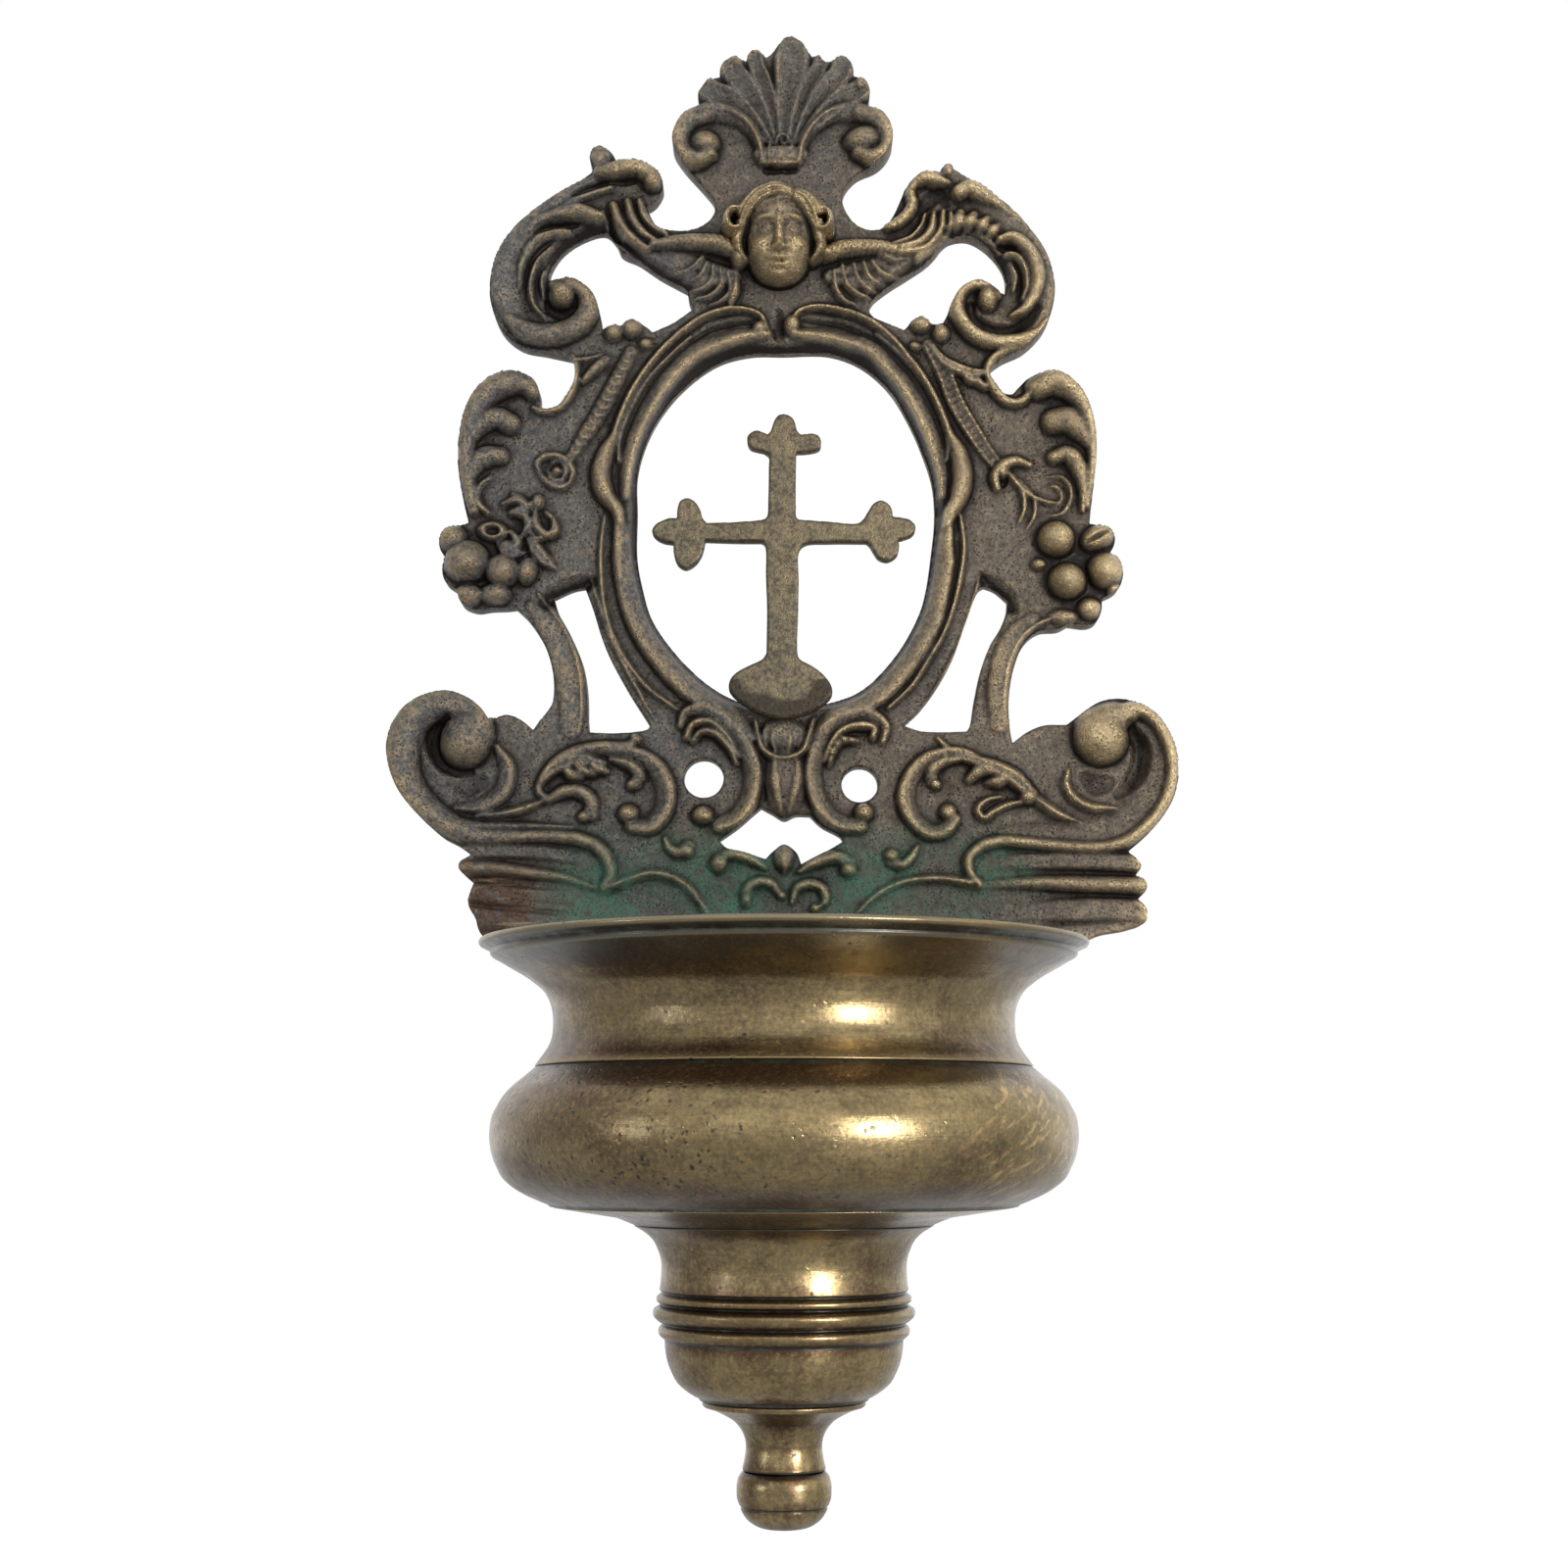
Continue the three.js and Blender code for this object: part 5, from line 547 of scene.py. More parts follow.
    "leaves": """
    # the leaf on the right hip
    bead 3.6 4.2 4 2.8 1.8 1.5 1.3 1 / 3.2 3.8 3.8 3.4 2.8 2.4 2.2 1.8 / 45.4 71 48.4 71.9 51.6 70.6 53.9 67.6
        54.9 63.4 55.1 59 54.7 54 54 49.4
    bead 3.8 4.2 3.2 1.4 / 3.2 3.7 3.3 2.2 / 48.4 64.9 50.8 65 53 62.9 54.5 60.4
    bead 2.2 2.9 2.6 1.4 0.8 / 2.6 3 2.8 2.2 1.8 / 48.2 58.3 50.6 58.8 52.6 56.3 53.4 52.5 53.2 48.4
    ridge 0.9 / 1.5 / 46.6 54.8 49.8 54.6 51.3 51.6 49.6 48 46.6 47.6
    ridge 0.8 / 1.3 / 46.8 53 48.8 52.8 49.6 51 48.4 49.2
    bead 1 1.6 2 1.7 1.3 / 1.8 2.4 2.8 2.5 2 / 44 56.9 41.4 57.6 39.2 56.7 37.7 54.8 38 52.6
    ridge 1.2 1.2 1 0.7 / 2 / 39.6 56 41.2 53.8 43.9 51.3 46.6 50.2 49.2 49.9
    ridge 1.1 1.2 1 0.6 / 1.9 / 40.8 54.8 42.6 51.6 42.8 48.6 41.8 46.2
    ridge 1 1 0.8 0.6 / 1.7 / 42 54 44.6 50.6 44.6 47.6 43.2 45
    bead 0.9 1.3 1.4 1.5 1.5 1.3 / 1.8 2.2 2.4 2.5 2.4 2 / 44.4 79.2 40 78 37.4 76.4 36.6 74.2 38 70.4 40.2 68.5
        42.6 68.6 44.2 70.2
    leaf 1 2 2.6 2.4 1.4 / 1.8 2.4 2.8 2.6 2 / 26.2 79.2 29 75.8 31.8 74.4 34.2 73.8 36.4 74
    bead 1.2 1.5 0.8 / 2.3 / 32 74 33.4 72.6 35 71.8
    bead 1.2 1.4 0.8 / 2.2 / 34.2 73.2 35.6 71.6 37 71
    # the leaf on the left hip
    bead 2.4 4 4.4 3.8 3 2.6 2.4 1.6 / 2.4 3.2 3.4 3.3 3 2.8 2.6 2 / -45 70.2 -46.6 71.6 -49.9 71.9 -53.4 70
        -55.7 66.2 -56.6 62 -56.7 57.4 -56 52 -55.2 48.4
    bead 3.2 3.6 2.8 1.4 / 2.8 3.2 3 2.2 / -49.2 64.6 -51.8 65.6 -54.6 63.8 -56.2 60.6
    bead 2.8 3.4 2.6 1.2 / 2.6 2.9 2.6 2 / -50.8 58.6 -53.2 58.4 -55.4 56.2 -56 53
    ridge 1 1.4 1.2 0.8 / 2 / -52.4 54.6 -54.2 53 -54.9 50.6 -54.8 48
    bead 0.9 1.2 1.3 1.3 1.1 / 1.8 2.1 2.2 2.2 1.8 / -45 67.4 -43 66.6 -40.1 67.4 -37.8 71.2 -37.4 75 -38.2 77
    ridge 1.1 / 1.8 / -46 77.6 -41 77.4 -36.4 76.4 -32.8 77.6
    bead 1 1.8 1.6 / 2 / -36.2 72.4 -34.4 74.2 -32 76.6
    ridge 1.2 1.4 1.4 1 / 2.2 / -45.8 45.6 -44 43.3 -41.4 44.4 -41 46.6 -42.4 48.2
    ridge 1.2 / 2 / -44.4 41.8 -42.6 40.6 -40.9 38.7
    bead 1.2 1.8 1.4 / 2.1 / -48.6 48 -46.4 48.6 -44.4 49.8
    bead 1 1.6 1.2 / 2 / -48.4 51.4 -46.6 50 -45.6 48.2""",
    "plinth": """
    # the big scroll on the right: dish, rim, ball and inner curl
    left 2 6 7 7 6 4 2 / 1 2 2.2 2.2 1.8 1.4 0.8 / 60 10.4 63.6 8.8 65.4 5 65.4 0.4 63.2 -4.4 59 -8.2 54 -9.6 46 -9.4
        38 -9
    bead 2.2 2 1.9 1.9 1.9 1.7 1.6 1.3 / 3.4 3.4 3.4 3.3 3 2.8 2.6 2.2 / 57.6 11.4 61.5 12.4 64.8 10.8 67.2 6.6
        67.9 1.8 66.6 -3.6 63.4 -8 59.8 -10.8 55 -12 48 -11.7 42 -11.1 37.6 -10.9 34.4 -11.8 32.2 -14 32.6 -16.8
        34 -18.4
    bead 7 5 2 / 4 3.6 3.2 / 55.8 8.6 58.6 10.8 61.6 11.8
    ridge 1.7 / 2.1 / 49.9 1.8 49.5 -0.8 50.8 -3.2 53.8 -4.8 58 -5
    # and its dragon of leaves
    leaf 0.8 1.5 2.2 3.2 3.6 2.6 / 1.6 2 2.4 2.8 3 2.4 / 27 7.4 29 5.4 31.6 4 35.6 2.6 40 0.4 43.4 -2.6
    bead 1.6 2.2 1.3 / 2.7 / 37.6 1.4 34.8 1.8 32.4 0
    bead 1.4 1.9 1 / 2.5 / 39.4 0.2 37.4 -0.4 35.6 -0.6
    ridge 1.3 / 2.3 / 42.8 -3.8 39.4 -4.4 36.8 -5.6 34.8 -6.8 33.9 -5.2 35.6 -3.6 38 -3
    ridge 1.8 1.9 1.3 0.5 / 2.2 2.2 1.8 1 / 44.5 -3.6 48.2 -6.1 52 -7.6
    right 1 2.4 3.2 3.5 3.3 2.8 / 2.2 2.8 3.1 3.3 3.2 2.9 / 35.4 3.2 31.4 4.8 28.4 4.6 25 3.4 22.4 0.5 21.4 -3.4
        22.6 -6.6 25.2 -9 27.8 -8.9 29.6 -7
    bead 0.7 1.3 1.7 1.8 / 2.3 / 31.6 3.7 28 3.2 25.9 1.4 26 -0.2
    # the big scroll on the left, rounder and more worn
    bead 2.4 4.4 4.8 4.8 4.4 3.6 2.4 1.8 1.8 1.9 1.6 / 2.8 3 3 3 2.9 2.7 2.6 2.6 2.6 2.6 2.2 / -53.4 11.4 -56 12.6
        -60.8 13.2 -65.2 10.9 -67.2 5.7 -67 1.2 -65.2 -2.6 -62 -5.9 -57.9 -8.4 -53.3 -10 -46.5 -10.1 -40.7 -10
        -36.1 -10.5 -32.7 -11.7 -30.5 -14.6 -30.2 -16.9 -31.3 -18.9
    ridge 0.8 1.5 1.5 1 0.6 / 2.1 / -61 -4.4 -57.8 -7 -54.2 -8 -45 -8.2 -37.2 -8.4
    bead 7 6 3 / 4.4 3.8 3.2 / -55.6 7.6 -54 9.8 -53 11.6
    left 1.4 3.4 3.8 3.2 1.4 / 2.4 3 3 2.6 1.8 / -50.6 5.8 -48.7 2.4 -49.2 -1.4 -52.2 -4.2 -57.4 -4.8
    ridge 1.5 / 2 / -41.6 -3.4 -44.2 -4.6 -48.8 -5.9 -54 -6.4
    bead 1.2 1.7 1.5 1.3 1 / 2.4 / -25.8 7.2 -27.4 6 -31.5 5.8 -36.1 5.2 -39.6 3.5 -41.9 1 -43 -1.9 -41.3 -3.4
    leaf 1 2.6 3 1.8 / 2.2 2.6 2.8 2.2 / -42.4 -0.4 -40 2 -36 3.4 -31.8 2.8
    bead 1 1.7 1.1 / 2.9 / -38.6 2.2 -37.2 0.8 -35.6 0.3
    bead 1 1.7 1.1 / 2.9 / -36.6 3.1 -35.2 1.5 -33.4 1
    bead 1 1.6 1 / 2.8 / -34.2 3.4 -32.8 2 -31 1.4
    left 1 2.4 3.4 4 3.8 3.2 / 2.2 2.8 3.2 3.4 3.3 3 / -36 4.4 -30 4.9 -25.6 4.2 -22.4 2 -20.8 -1.6 -21.2 -5.4
        -23.4 -8.1 -26.4 -8
    bead 0.8 1.4 1.7 1.8 / 2.4 / -30.4 3.6 -27 2.6 -25.5 0.9 -26 -0.6
    bead 1.2 1.8 1.9 1.9 2 / 2.5 / -41.3 -3.5 -38.4 -2.1 -35.6 -2.2 -33.7 -3.9 -33.8 -6
    # scrolls that hold the two screws
    right 1.6 3 3.8 3.7 3.5 3.5 3.6 3.2 / 2.4 3.2 3.5 3.5 3.4 3.4 3.4 3 / 17.2 6.8 17.6 9.4 14.6 11.5 10.8 11.1
        7.8 8.9 5.9 5 5.1 1 5.7 -2.6 7.5 -5.9 10.3 -7.8 13.2 -8
    bead 1 1.3 1.1 0.8 0.6 / 3 / 15.6 7.4 15.8 9 13.2 9.5 10 8.4 8 5.8 7 3.2
    bead 1 1.2 1.1 0.7 / 2.6 / 12.8 6.9 10.2 6.9 8.6 5 7.9 2.6 / 5 0.3
    left 1.6 3 3.9 3.8 3.6 3.6 3.7 3.2 / 2.4 3.2 3.5 3.5 3.4 3.4 3.4 3 / -18.1 9.6 -17.2 11.7 -14.4 12.2 -10.9 10.3
        -7.6 6.8 -5.6 2.2 -5.8 -2.4 -8 -6.4 -11.3 -8
    bead 1 1.3 1.1 0.8 0.6 / 3 / -17.2 7.4 -16.1 9.6 -13.2 10.2 -9.9 7.5 -7.9 4
    bead 1 1.2 1.1 0.7 / 2.6 / -16 6.9 -14.6 8.4 -12.4 8.3 -9.6 5.6 -8.3 2.8
    # shell and drop in the middle
    ridge 1.4 / 2.9 / -5 10.6 -4.6 8 -3.6 5.2 -0.4 3.7 3.2 4.9 4.4 8 5.2 10.8
    ridge 0.5 1.3 0.7 / 2.5 / -1.4 4.7 -2.1 7.2 -1.5 9.8
    ridge 0.5 1.3 0.7 / 2.5 / 0.6 4.6 1.1 7.2 0.4 9.8
    ridge 0.4 0.9 0.5 / 2.2 / -3 5.8 -3.5 8 -3 10
    ridge 0.4 0.9 0.5 / 2.2 / 2.5 5.6 3 8 2.4 10
    band 1.4 2.2 1.8 0.8 / 2.4 2.8 2.6 1.6 / -1.6 2.8 -1.4 -1 -0.6 -5.6
    band 1.4 2.2 1.8 0.8 / 2.4 2.8 2.6 1.6 / 2.4 2.8 2.1 -1 0.9 -5.6
    # foliage at the rim
    ridge 0.8 1 0.6 / 3 / 0 -11.8 0 -14 0 -16.4
    bead 0.8 1.5 1.8 2 / 2.3 / 2.6 -16.2 5.6 -14.6 9 -13.6 11.4 -14.6
    bead 0.8 1.4 1.6 2 / 2.3 / -3.2 -15.6 -6 -14 -9.4 -13.2 -11.4 -14
    bead 1.5 / 2.1 / 1.4 -21.8 2.2 -19.2 4.6 -18.3 6.8 -19.2 7.2 -21.4 5.6 -22.8
    bead 1.6 1.6 1.6 1 / 2.2 / -6.6 -21.6 -6.2 -19 -4.4 -18 -2.2 -18.4 -0.6 -20.4
    bead 0.8 1.3 1.8 1.8 / 2.2 / -20.8 -10.4 -19.8 -12.2 -18.2 -12.8 -16.6 -11.6
    bead 1.6 1.5 1.3 0.7 / 2.2 / 18.6 -14.6 20.7 -14.9 22.4 -13.4 23.4 -11.6
    # the arch over the rim and the mouldings beside it
    ridge 1.8 1.5 1.3 1.3 1 / 2.2 2.1 1.9 1.8 1.2 / 34 -18.4 31 -17.9 27.4 -17.4 23.4 -17.5 19.6 -18.4 16 -20.4
        12.8 -23.4
    ridge 1.8 1.6 1.6 1.8 1.6 / 2.2 2.2 2.2 2.2 1.6 / -31.1 -19.2 -27.6 -17.8 -23.6 -16.6 -20.2 -16.9 -16.7 -18.9
        -14.4 -21.8 -13 -24.2
    band 2 3 3.2 3.4 3.4 / 0 0.8 1.5 1.7 1.8 / 34 -14.9 42 -14.4 50 -14.3 57 -14.5 64 -14.9
    bead 1.2 1.6 2 2.3 2.4 / 0.4 1.6 2.5 2.9 3 / 33 -18.6 42 -18.1 50 -18.3 57 -18.5 64 -18.8
    band 3 3.8 4.4 4.6 4.6 / 0 0.6 1.5 2.1 2.3 / 38 -23.4 46 -23 53 -22.9 59 -23 65 -23.4
    band 3 3.4 3.6 3.6 / 0 0.6 1.1 1.2 / 36 -27.8 45 -27.4 54 -26.8 62 -25.8
    band 2 2.6 2.8 2.8 / 0 0.9 1.3 1.4 / -33 -14.5 -41 -13 -49 -12.6 -57 -13
    bead 0.9 1.3 1.7 2.1 2.3 / 0.4 1.7 2.4 2.7 2.8 / -32.4 -19.2 -38 -17.3 -45 -16.3 -51 -15.7 -58 -15.5
    band 2.4 3 3.4 3.6 / 0 0.8 1.4 1.8 / -36 -20.8 -44 -20.4 -50 -20 -57 -19.6
    ridge 1 1.4 1.2 / 0.3 1.3 1.4 / -38 -22.6 -46 -21.9 -56 -20.9
    band 3 3.6 4 4 / 0 0.7 1.2 1.3 / -34 -25.8 -42 -25.4 -49 -24.8 -56 -23.8
    ridge 1 1.4 1 / 0.3 1.2 1.2 / -36 -24.4 -45 -23.8 -54 -23""",
    # balls, fruit and buds: x, z, across, tall, rise and for some the turn
    "bulbs": """
    55.7 7.4 10 10 5, -56 6.4 9.6 9 4.8 30, 36.8 87.8 3.8 5 4, -40.2 88.5 5.4 5.2 3.8, 14.2 117.8 7.2 5 3.9 12,
    -14.4 117.2 5.8 5 3.8, -23.9 109.8 3.6 3.8 4, 29.9 112.1 2.2 3.2 2, 24.6 82.9 4 3.1 2.8, 28.3 81.3 3.3 3.6 2.6,
    23.5 78.9 2.4 1.9 2.1, -27.4 82.2 4 3.7 2.6, -30.7 81.3 3.5 3.4 2.4, -24.9 79.4 2.8 2.2 2.1, 1.4 82.8 3 4 3.2,
    -4.4 82.2 2.8 3 3, 48.3 43.1 6.8 6.7 5.4, 50.2 35.5 6.9 6.7 5.8, 57 37.5 6.8 6.8 5, 55.7 43.4 6.6 4.8 3.8 25,
    54.1 30.7 4.5 4.1 3.5, 45.2 38.6 2.8 2.2 2.4, 49.4 29.2 5.6 2.8 2, 58.6 34 3 3 2.4, -58.9 43.3 5.6 5.2 3.6,
    -56.2 39 8.6 8.2 5.4, -49.9 37.3 6.6 6.4 4.8, -45.6 37.4 3.9 5.4 3.4 -15, -55.9 33 5.4 4.4 3.4,
    -51.2 33.2 6.2 4 3.2, -49.2 41.8 3.4 2.8 2.8, -40.6 55.6 2 2 2.6, -43.8 50 2.6 3.2 2.6, 38.9 55.6 2.6 3.4 2.6,
    28.7 -5.7 3.1 3.2 3, 26.6 -0.8 2.3 2.1 2.5, -27.2 -6 3.9 3.6 3.2, -26.6 -0.9 2.4 2.2 2.6, -14.2 -6.3 3.9 3.5 3.5,
    14 -5.8 3.5 3.4 3.4, 42.8 -3 3.4 3 3.1, -35 -6.6 2.5 2.3 2.7, -26 7.2 2.2 2 2.6, 0.3 0 8 13 2, 0 8 8.4 6.4 2,
    0 -13.9 3.6 4.8 2.7, 11.3 -15.9 3 3 3, -11.3 -14.8 3.3 3.6 3.1, -17.1 -12.6 3.2 2.9 2.5, 18.8 -13.4 2.9 2.7 2.5,
    -6.6 -21.2 2 2 2.3, -0.4 -20.4 1.8 1.8 2.2, 5.4 -22.6 2 2 2.2, 14 128.6 3 2.6 2.2, -8.2 95 3.2 4.6 5.2,
    7.6 95.6 2.6 2.6 5""",
    "cup": (-51.8, 44.6, 6, 4, 3, -8),  # a bud with an open middle
    # hollows: strokes with the rise below nought
    "hollows": """
    bead 1.4 2.4 2.6 2.4 1.6 / -1.5 / 33.8 86.8 34.2 84.4 36.7 82.6 40.2 82 43.8 83.3 45.8 86
    bead 1 1.8 1 / -1.6 / 38.8 97.6 40.4 97.4 41.6 97.4
    bead 1.2 3 3 1.4 / -1 / 24.8 104 26.2 106.4 28.2 107.6 29.6 105.8
    bead 1.4 2 1.4 / -1.4 / -38 107.2 -35.6 108.4 -32.6 109.4
    bead 1 1.6 1 / -1.2 / -30.4 110 -27 110.4
    bead 1.4 2.4 2.4 1.4 / -1.4 / -42.4 89 -42.2 86.4 -40 85 -37.8 86
    bead 1 2 2 1 / -1.4 / -37.6 102 -41.4 101.6 -44.8 100
    bead 0.8 1.3 1.3 0.8 / -0.8 / 3.6 83.8 6.4 83.5 10 83 13.6 81.6 17 79.6
    bead 0.8 1.3 1.3 0.8 / -0.8 / -5 83.6 -8.6 83.4 -13 82.2 -17 79.8
    bead 1.4 2.2 2 / -0.9 / -0.9 85.4 -0.9 82.6 -0.9 79.4
    bead 1.6 2.8 2.8 1.6 / -1.7 / -59.4 11.2 -61.6 8.4 -61.4 4.8 -58.8 2.2 -55 1.4
    bead 2 3.6 3.6 2 / -1.3 / 60.8 9.6 62.8 5.6 61.8 0.8 58.6 -2.6
    bead 2.4 4 2.8 / -0.9 / 53 0.4 54.6 -0.8 57 -0.6
    bead 2.6 4.4 3 / -0.9 / -58.4 0 -56 -1 -53.4 -0.4
    bead 1 1.6 1 / -1.2 / 0 112.2 -2.6 112.3 2 112.2
    bead 0.6 1 0.6 / -1.4 / 53.8 42.4 55.6 43.3 57.6 44.6
    bead 0.7 1 0.7 / -1 / 38.6 54.4 39.2 53.4 39.8 54.6
    # walls that slope down to the openings
    ridge 2.6 4 4 3 / -1.7 -1.7 / 35.4 36.4 37.5 34.5 39.8 32.5 40.4 31
    ridge 3 4.6 4.6 3.4 / -2 -2 / -34.6 35.6 -37.5 34.6 -41 33 -42 32
    ridge 2 3 3.4 3 2 / -2.4 -2.4 / 29.4 100 33.6 99.9 37.3 97.5 39.8 94 40.2 92
    ridge 2 3.4 3.4 3 2 / -2.4 -2.4 / -30 99.4 -32.5 101 -36.3 100.1 -40.4 97.2 -42.5 93.5
    ridge 2.4 2.6 2.6 2.4 / -2 -2 / 16.2 88.2 19 90.5 25.8 95.1 28.8 98.5
    ridge 2.4 3 3 2.4 / -2.2 -2.2 / -17.5 90 -22.5 92.8 -29.5 97 -31.4 100""",
    "ovalSlope": ((3, 2.8, 2.2, 2, 2, 2, 2.2, 2.2, 2, 2, 2, 2, 2.2, 2.8, 3), (-2.4, -2.4)),
    # regions whose wear-and-sheen is raised (share above nought) or lowered (below), which lightens or darkens them as
    # worn brass with painted light: x, z, across, tall, share
    "wearAndSheenSpots": """
    1 128 44 30 -0.4, -44 98 34 44 -0.3, -22 94 26 22 -0.15, -50 45 30 24 -0.15, -50 3 50 30 0.05, 39 19 9 22 0.42,
    -38.5 20 8 22 0.3, 56 7.5 12 12 0.4, -44 12 14 8 0.15, 41 82 20 16 0.2, 43 11 12 8 0.2, 50 37 16 16 0.25,
    -55 39 14 14 0.1, 24 30 20 40 0.15, 28 97 30 14 0.2""",
}

# beads, ridges and the whole frame were read by their crests, so they are cast broader than that, most on the plinth
canvas = makeCanvas(*plate["box"], plate["cell"])
for group in ("frame", "plinth", "scrolls", "leaves", "flower", "crest", "wings"):
    for form, *row in strokesOf(plate[group]):
        broad = 1.0 if form not in ("bead", "ridge") and group != "frame" else 1.42 if group == "plinth" else 1.28
        layStroke(canvas, form, *row, swell=broad)
for bulb in rowsOf(plate["bulbs"]):
    layBulb(canvas, *bulb)
layBulb(canvas, *plate["cup"], form="ring")
for row in strokesOf(plate["hollows"]):
    layStroke(canvas, *row)
layStroke(canvas, "ridge", *plate["ovalSlope"], pairs(plate["oval"] + " 0 78.3"))
print("relief laid")

# The cherub's head is drawn again on a finer canvas of its own, on plain proportions: the eyes at half its height, the nose
# and mouth at the thirds below the brow. Places are from the middle of the head, and heights from the chin.
cherub = {
    "at": (-0.9, 89.4), "box": (-12, 12, -3, 22), "cell": 0.11, "edge": 0.3, "seed": 31,
    "skull": "0 9.4 14.8 18.6 8, 0 13 16.8 12.6 7.8, 0 4.6 10.8 9.4 7",  # bulbs
    # swells: sockets, brows, eyes, nose, nostrils, lip, cheeks, chin, forehead and pupils, each as a bulb's row
    "face": """
    2.6 9.2 4.8 3.8 -1.2, 2.7 11 5.2 2 0.7 -6, 2.6 9.1 3.2 2.4 1.2, 0 5.8 2.8 2.4 0.9, 1.1 5.5 1.5 1.4 0.6,
    0.5 4.9 0.8 0.6 -0.5, 0 4.3 0.9 1 -0.3, 3.7 5.8 5.4 5.2 1, 2.2 3.4 1 1 -0.3, 0 2 3 1.1 -0.45, 0 1 4.2 2.8 0.9,
    0 12.6 7 3.4 0.4, 2.6 9.1 0.9 0.9 -0.4""",
    "lines": """
    swell 1.6 1.9 2.2 2.7 / 0.5 0.9 1.1 1.2 / 0 10.8 0 9.2 0 7.4 0 5.6
    swell 0.5 0.7 0.7 0.5 / 0.2 0.45 0.45 0.2 / 1.2 8.9 2 9.9 3.1 10 4.1 9.2
    swell 0.4 0.6 0.6 0.4 / 0.1 0.32 0.32 0.1 / 1.3 8.7 2.1 8.1 3.2 8.1 4 8.7
    swell 0.6 1.1 1 1.1 0.6 / 0.2 0.6 0.5 0.6 0.2 / -2.1 3.5 -0.7 4 0 3.8 0.7 4 2.1 3.5
    swell 0.6 1.3 1.3 0.6 / 0.2 0.7 0.7 0.2 / -1.6 2.9 -0.6 2.6 0.6 2.6 1.6 2.9
    swell 0.4 0.6 0.6 0.4 / -0.3 -0.6 -0.6 -0.3 / -2 3.35 -0.6 3.3 0.6 3.3 2 3.35""",
    # the hair is a cap of two waves from a parting, with a curl over each temple, and furrows between the locks
    "hair": """
    bead 4.6 6.6 6.6 5 3 / 8.8 9.3 9 7.9 6.2 / 3 15 -0.6 15.7 -3.8 14.5 -6.2 12 -7.1 9.2
    bead 4.4 6 5.8 4.6 3 / 8.8 9.2 8.7 7.7 6.2 / 2.4 15.2 4.4 14.4 6 12.5 6.8 10.4 7 8.2
    bead 1.8 2.2 2.3 2.2 1.6 / 6.8 7.6 7.8 7.8 7.4 / -6.6 13.2 -8.6 13 -9.4 11.2 -8.4 9.4 -6.7 9.8
    bead 1.8 2.2 2.3 2.2 1.6 / 6.8 7.6 7.8 7.8 7.4 / 6.4 13 8.3 12.9 9.2 11 8.2 9.2 6.5 9.5
    bead 2.6 3 2.6 1.6 / 6 6.2 5.6 4.4 / -7 9.4 -7.5 7.8 -7.1 6 -6.1 4.8
    bead 2.6 3 2.6 1.6 / 6 6.2 5.6 4.4 / 6.9 9.2 7.4 7.6 7 5.8 6 4.6
    swell 0.8 / -0.6 / 2.6 17.4 -0.6 18.2 -4 17.2 -6.6 14.6
    swell 0.8 / -0.9 / 2.4 16.4 -0.8 17 -4 15.9 -6.4 13 -7.6 10.4
    swell 0.8 / -0.9 / 2.4 15.4 -0.6 15.7 -3.4 14.7 -5.6 12.4 -6.8 9.8
    swell 0.7 / -0.8 / 2.2 14.5 -0.4 14.6 -2.8 13.8 -4.8 12 -6 10
    swell 0.8 / -0.6 / 3 17 5 16.2 7 14
    swell 0.8 / -0.9 / 3 15.9 4.8 14.9 6.6 12.6 7.4 10.2
    swell 0.7 / -0.8 / 2.8 14.8 4.2 14 5.6 12 6.5 9.8
    swell 1 / -1 / 2.4 17.8 2.6 16 2.2 14
    swell 1.2 / -1.6 / -7.2 11.4 -8 11.6 -8.2 11
    swell 1.2 / -1.6 / 7 11.2 7.8 11.4 8 10.8
    swell 0.6 / -0.6 / -9 9.2 -8.2 8.8 -7 8.9
    swell 0.6 / -0.6 / 8.8 9 8 8.6 6.8 8.7
    swell 0.6 / -0.6 / -8.5 7.2 -7.6 6.8 -6.6 6.9
    swell 0.6 / -0.6 / 8.3 7 7.4 6.6 6.4 6.7""",
    "outline": """
    0 20.6 3.4 20.2 6.8 18.2 9 15.4 10.8 12.6 10.6 9.6 9.6 7 8.2 4.4 6 2 3.4 -0.2 0 -1.2 -3.4 -0.2 -6 2 -8.2 4.4
    -9.8 7 -10.9 9.6 -11 12.6 -9.2 15.6 -6.8 18.2 -3.4 20.2""",
}


# Lays the head in full, or only its mass, lowered so that the finer head covers it. A row of the face or its lines that
# starts right of the middle is laid on the left too.
def layHead(canvas, drop=0.0, full=True):
    at = cherub["at"]
    for x, z, *size in rowsOf(cherub["skull"]):
        layBulb(canvas, at[0] + x, at[1] + z, *np.subtract(size, drop), soft=1.4)
    if not full:
        return
    for side in (1, -1):
        for x, z, across, tall, rise, *turn in rowsOf(cherub["face"]):
            if side > 0 or x > 0:
                layBulb(canvas, at[0] + side * x, at[1] + z, across, tall, rise, *np.multiply(side, turn), form="swell")
        for form, wide, rise, path in strokesOf(cherub["lines"]):
            if side > 0 or path[0] > 0:
                layStroke(canvas, form, wide, rise, np.reshape(path, (-1, 2)) * (side, 1) + at)
    for form, wide, rise, path in strokesOf(cherub["hair"]):
        layStroke(canvas, form, wide, rise, np.reshape(path, (-1, 2)) + at, soft=0.8)


layHead(canvas, 1.2, False)

loops = [outlinePath(plate["outline"]), smoothPath(pairs(plate["oval"]), outlineStep, closed=True)[:-1]]
loops += [outlinePath(text) for text in plate["openings"]]
turnAround = np.linspace(0, 2 * math.pi, 48, endpoint=False)
loops += [np.stack([x + r * np.cos(turnAround), z + r * np.sin(turnAround)], 1) for x, z, r in rowsOf(plate["screws"])]
canvas["depth"] = metalDepth(canvas, loops)
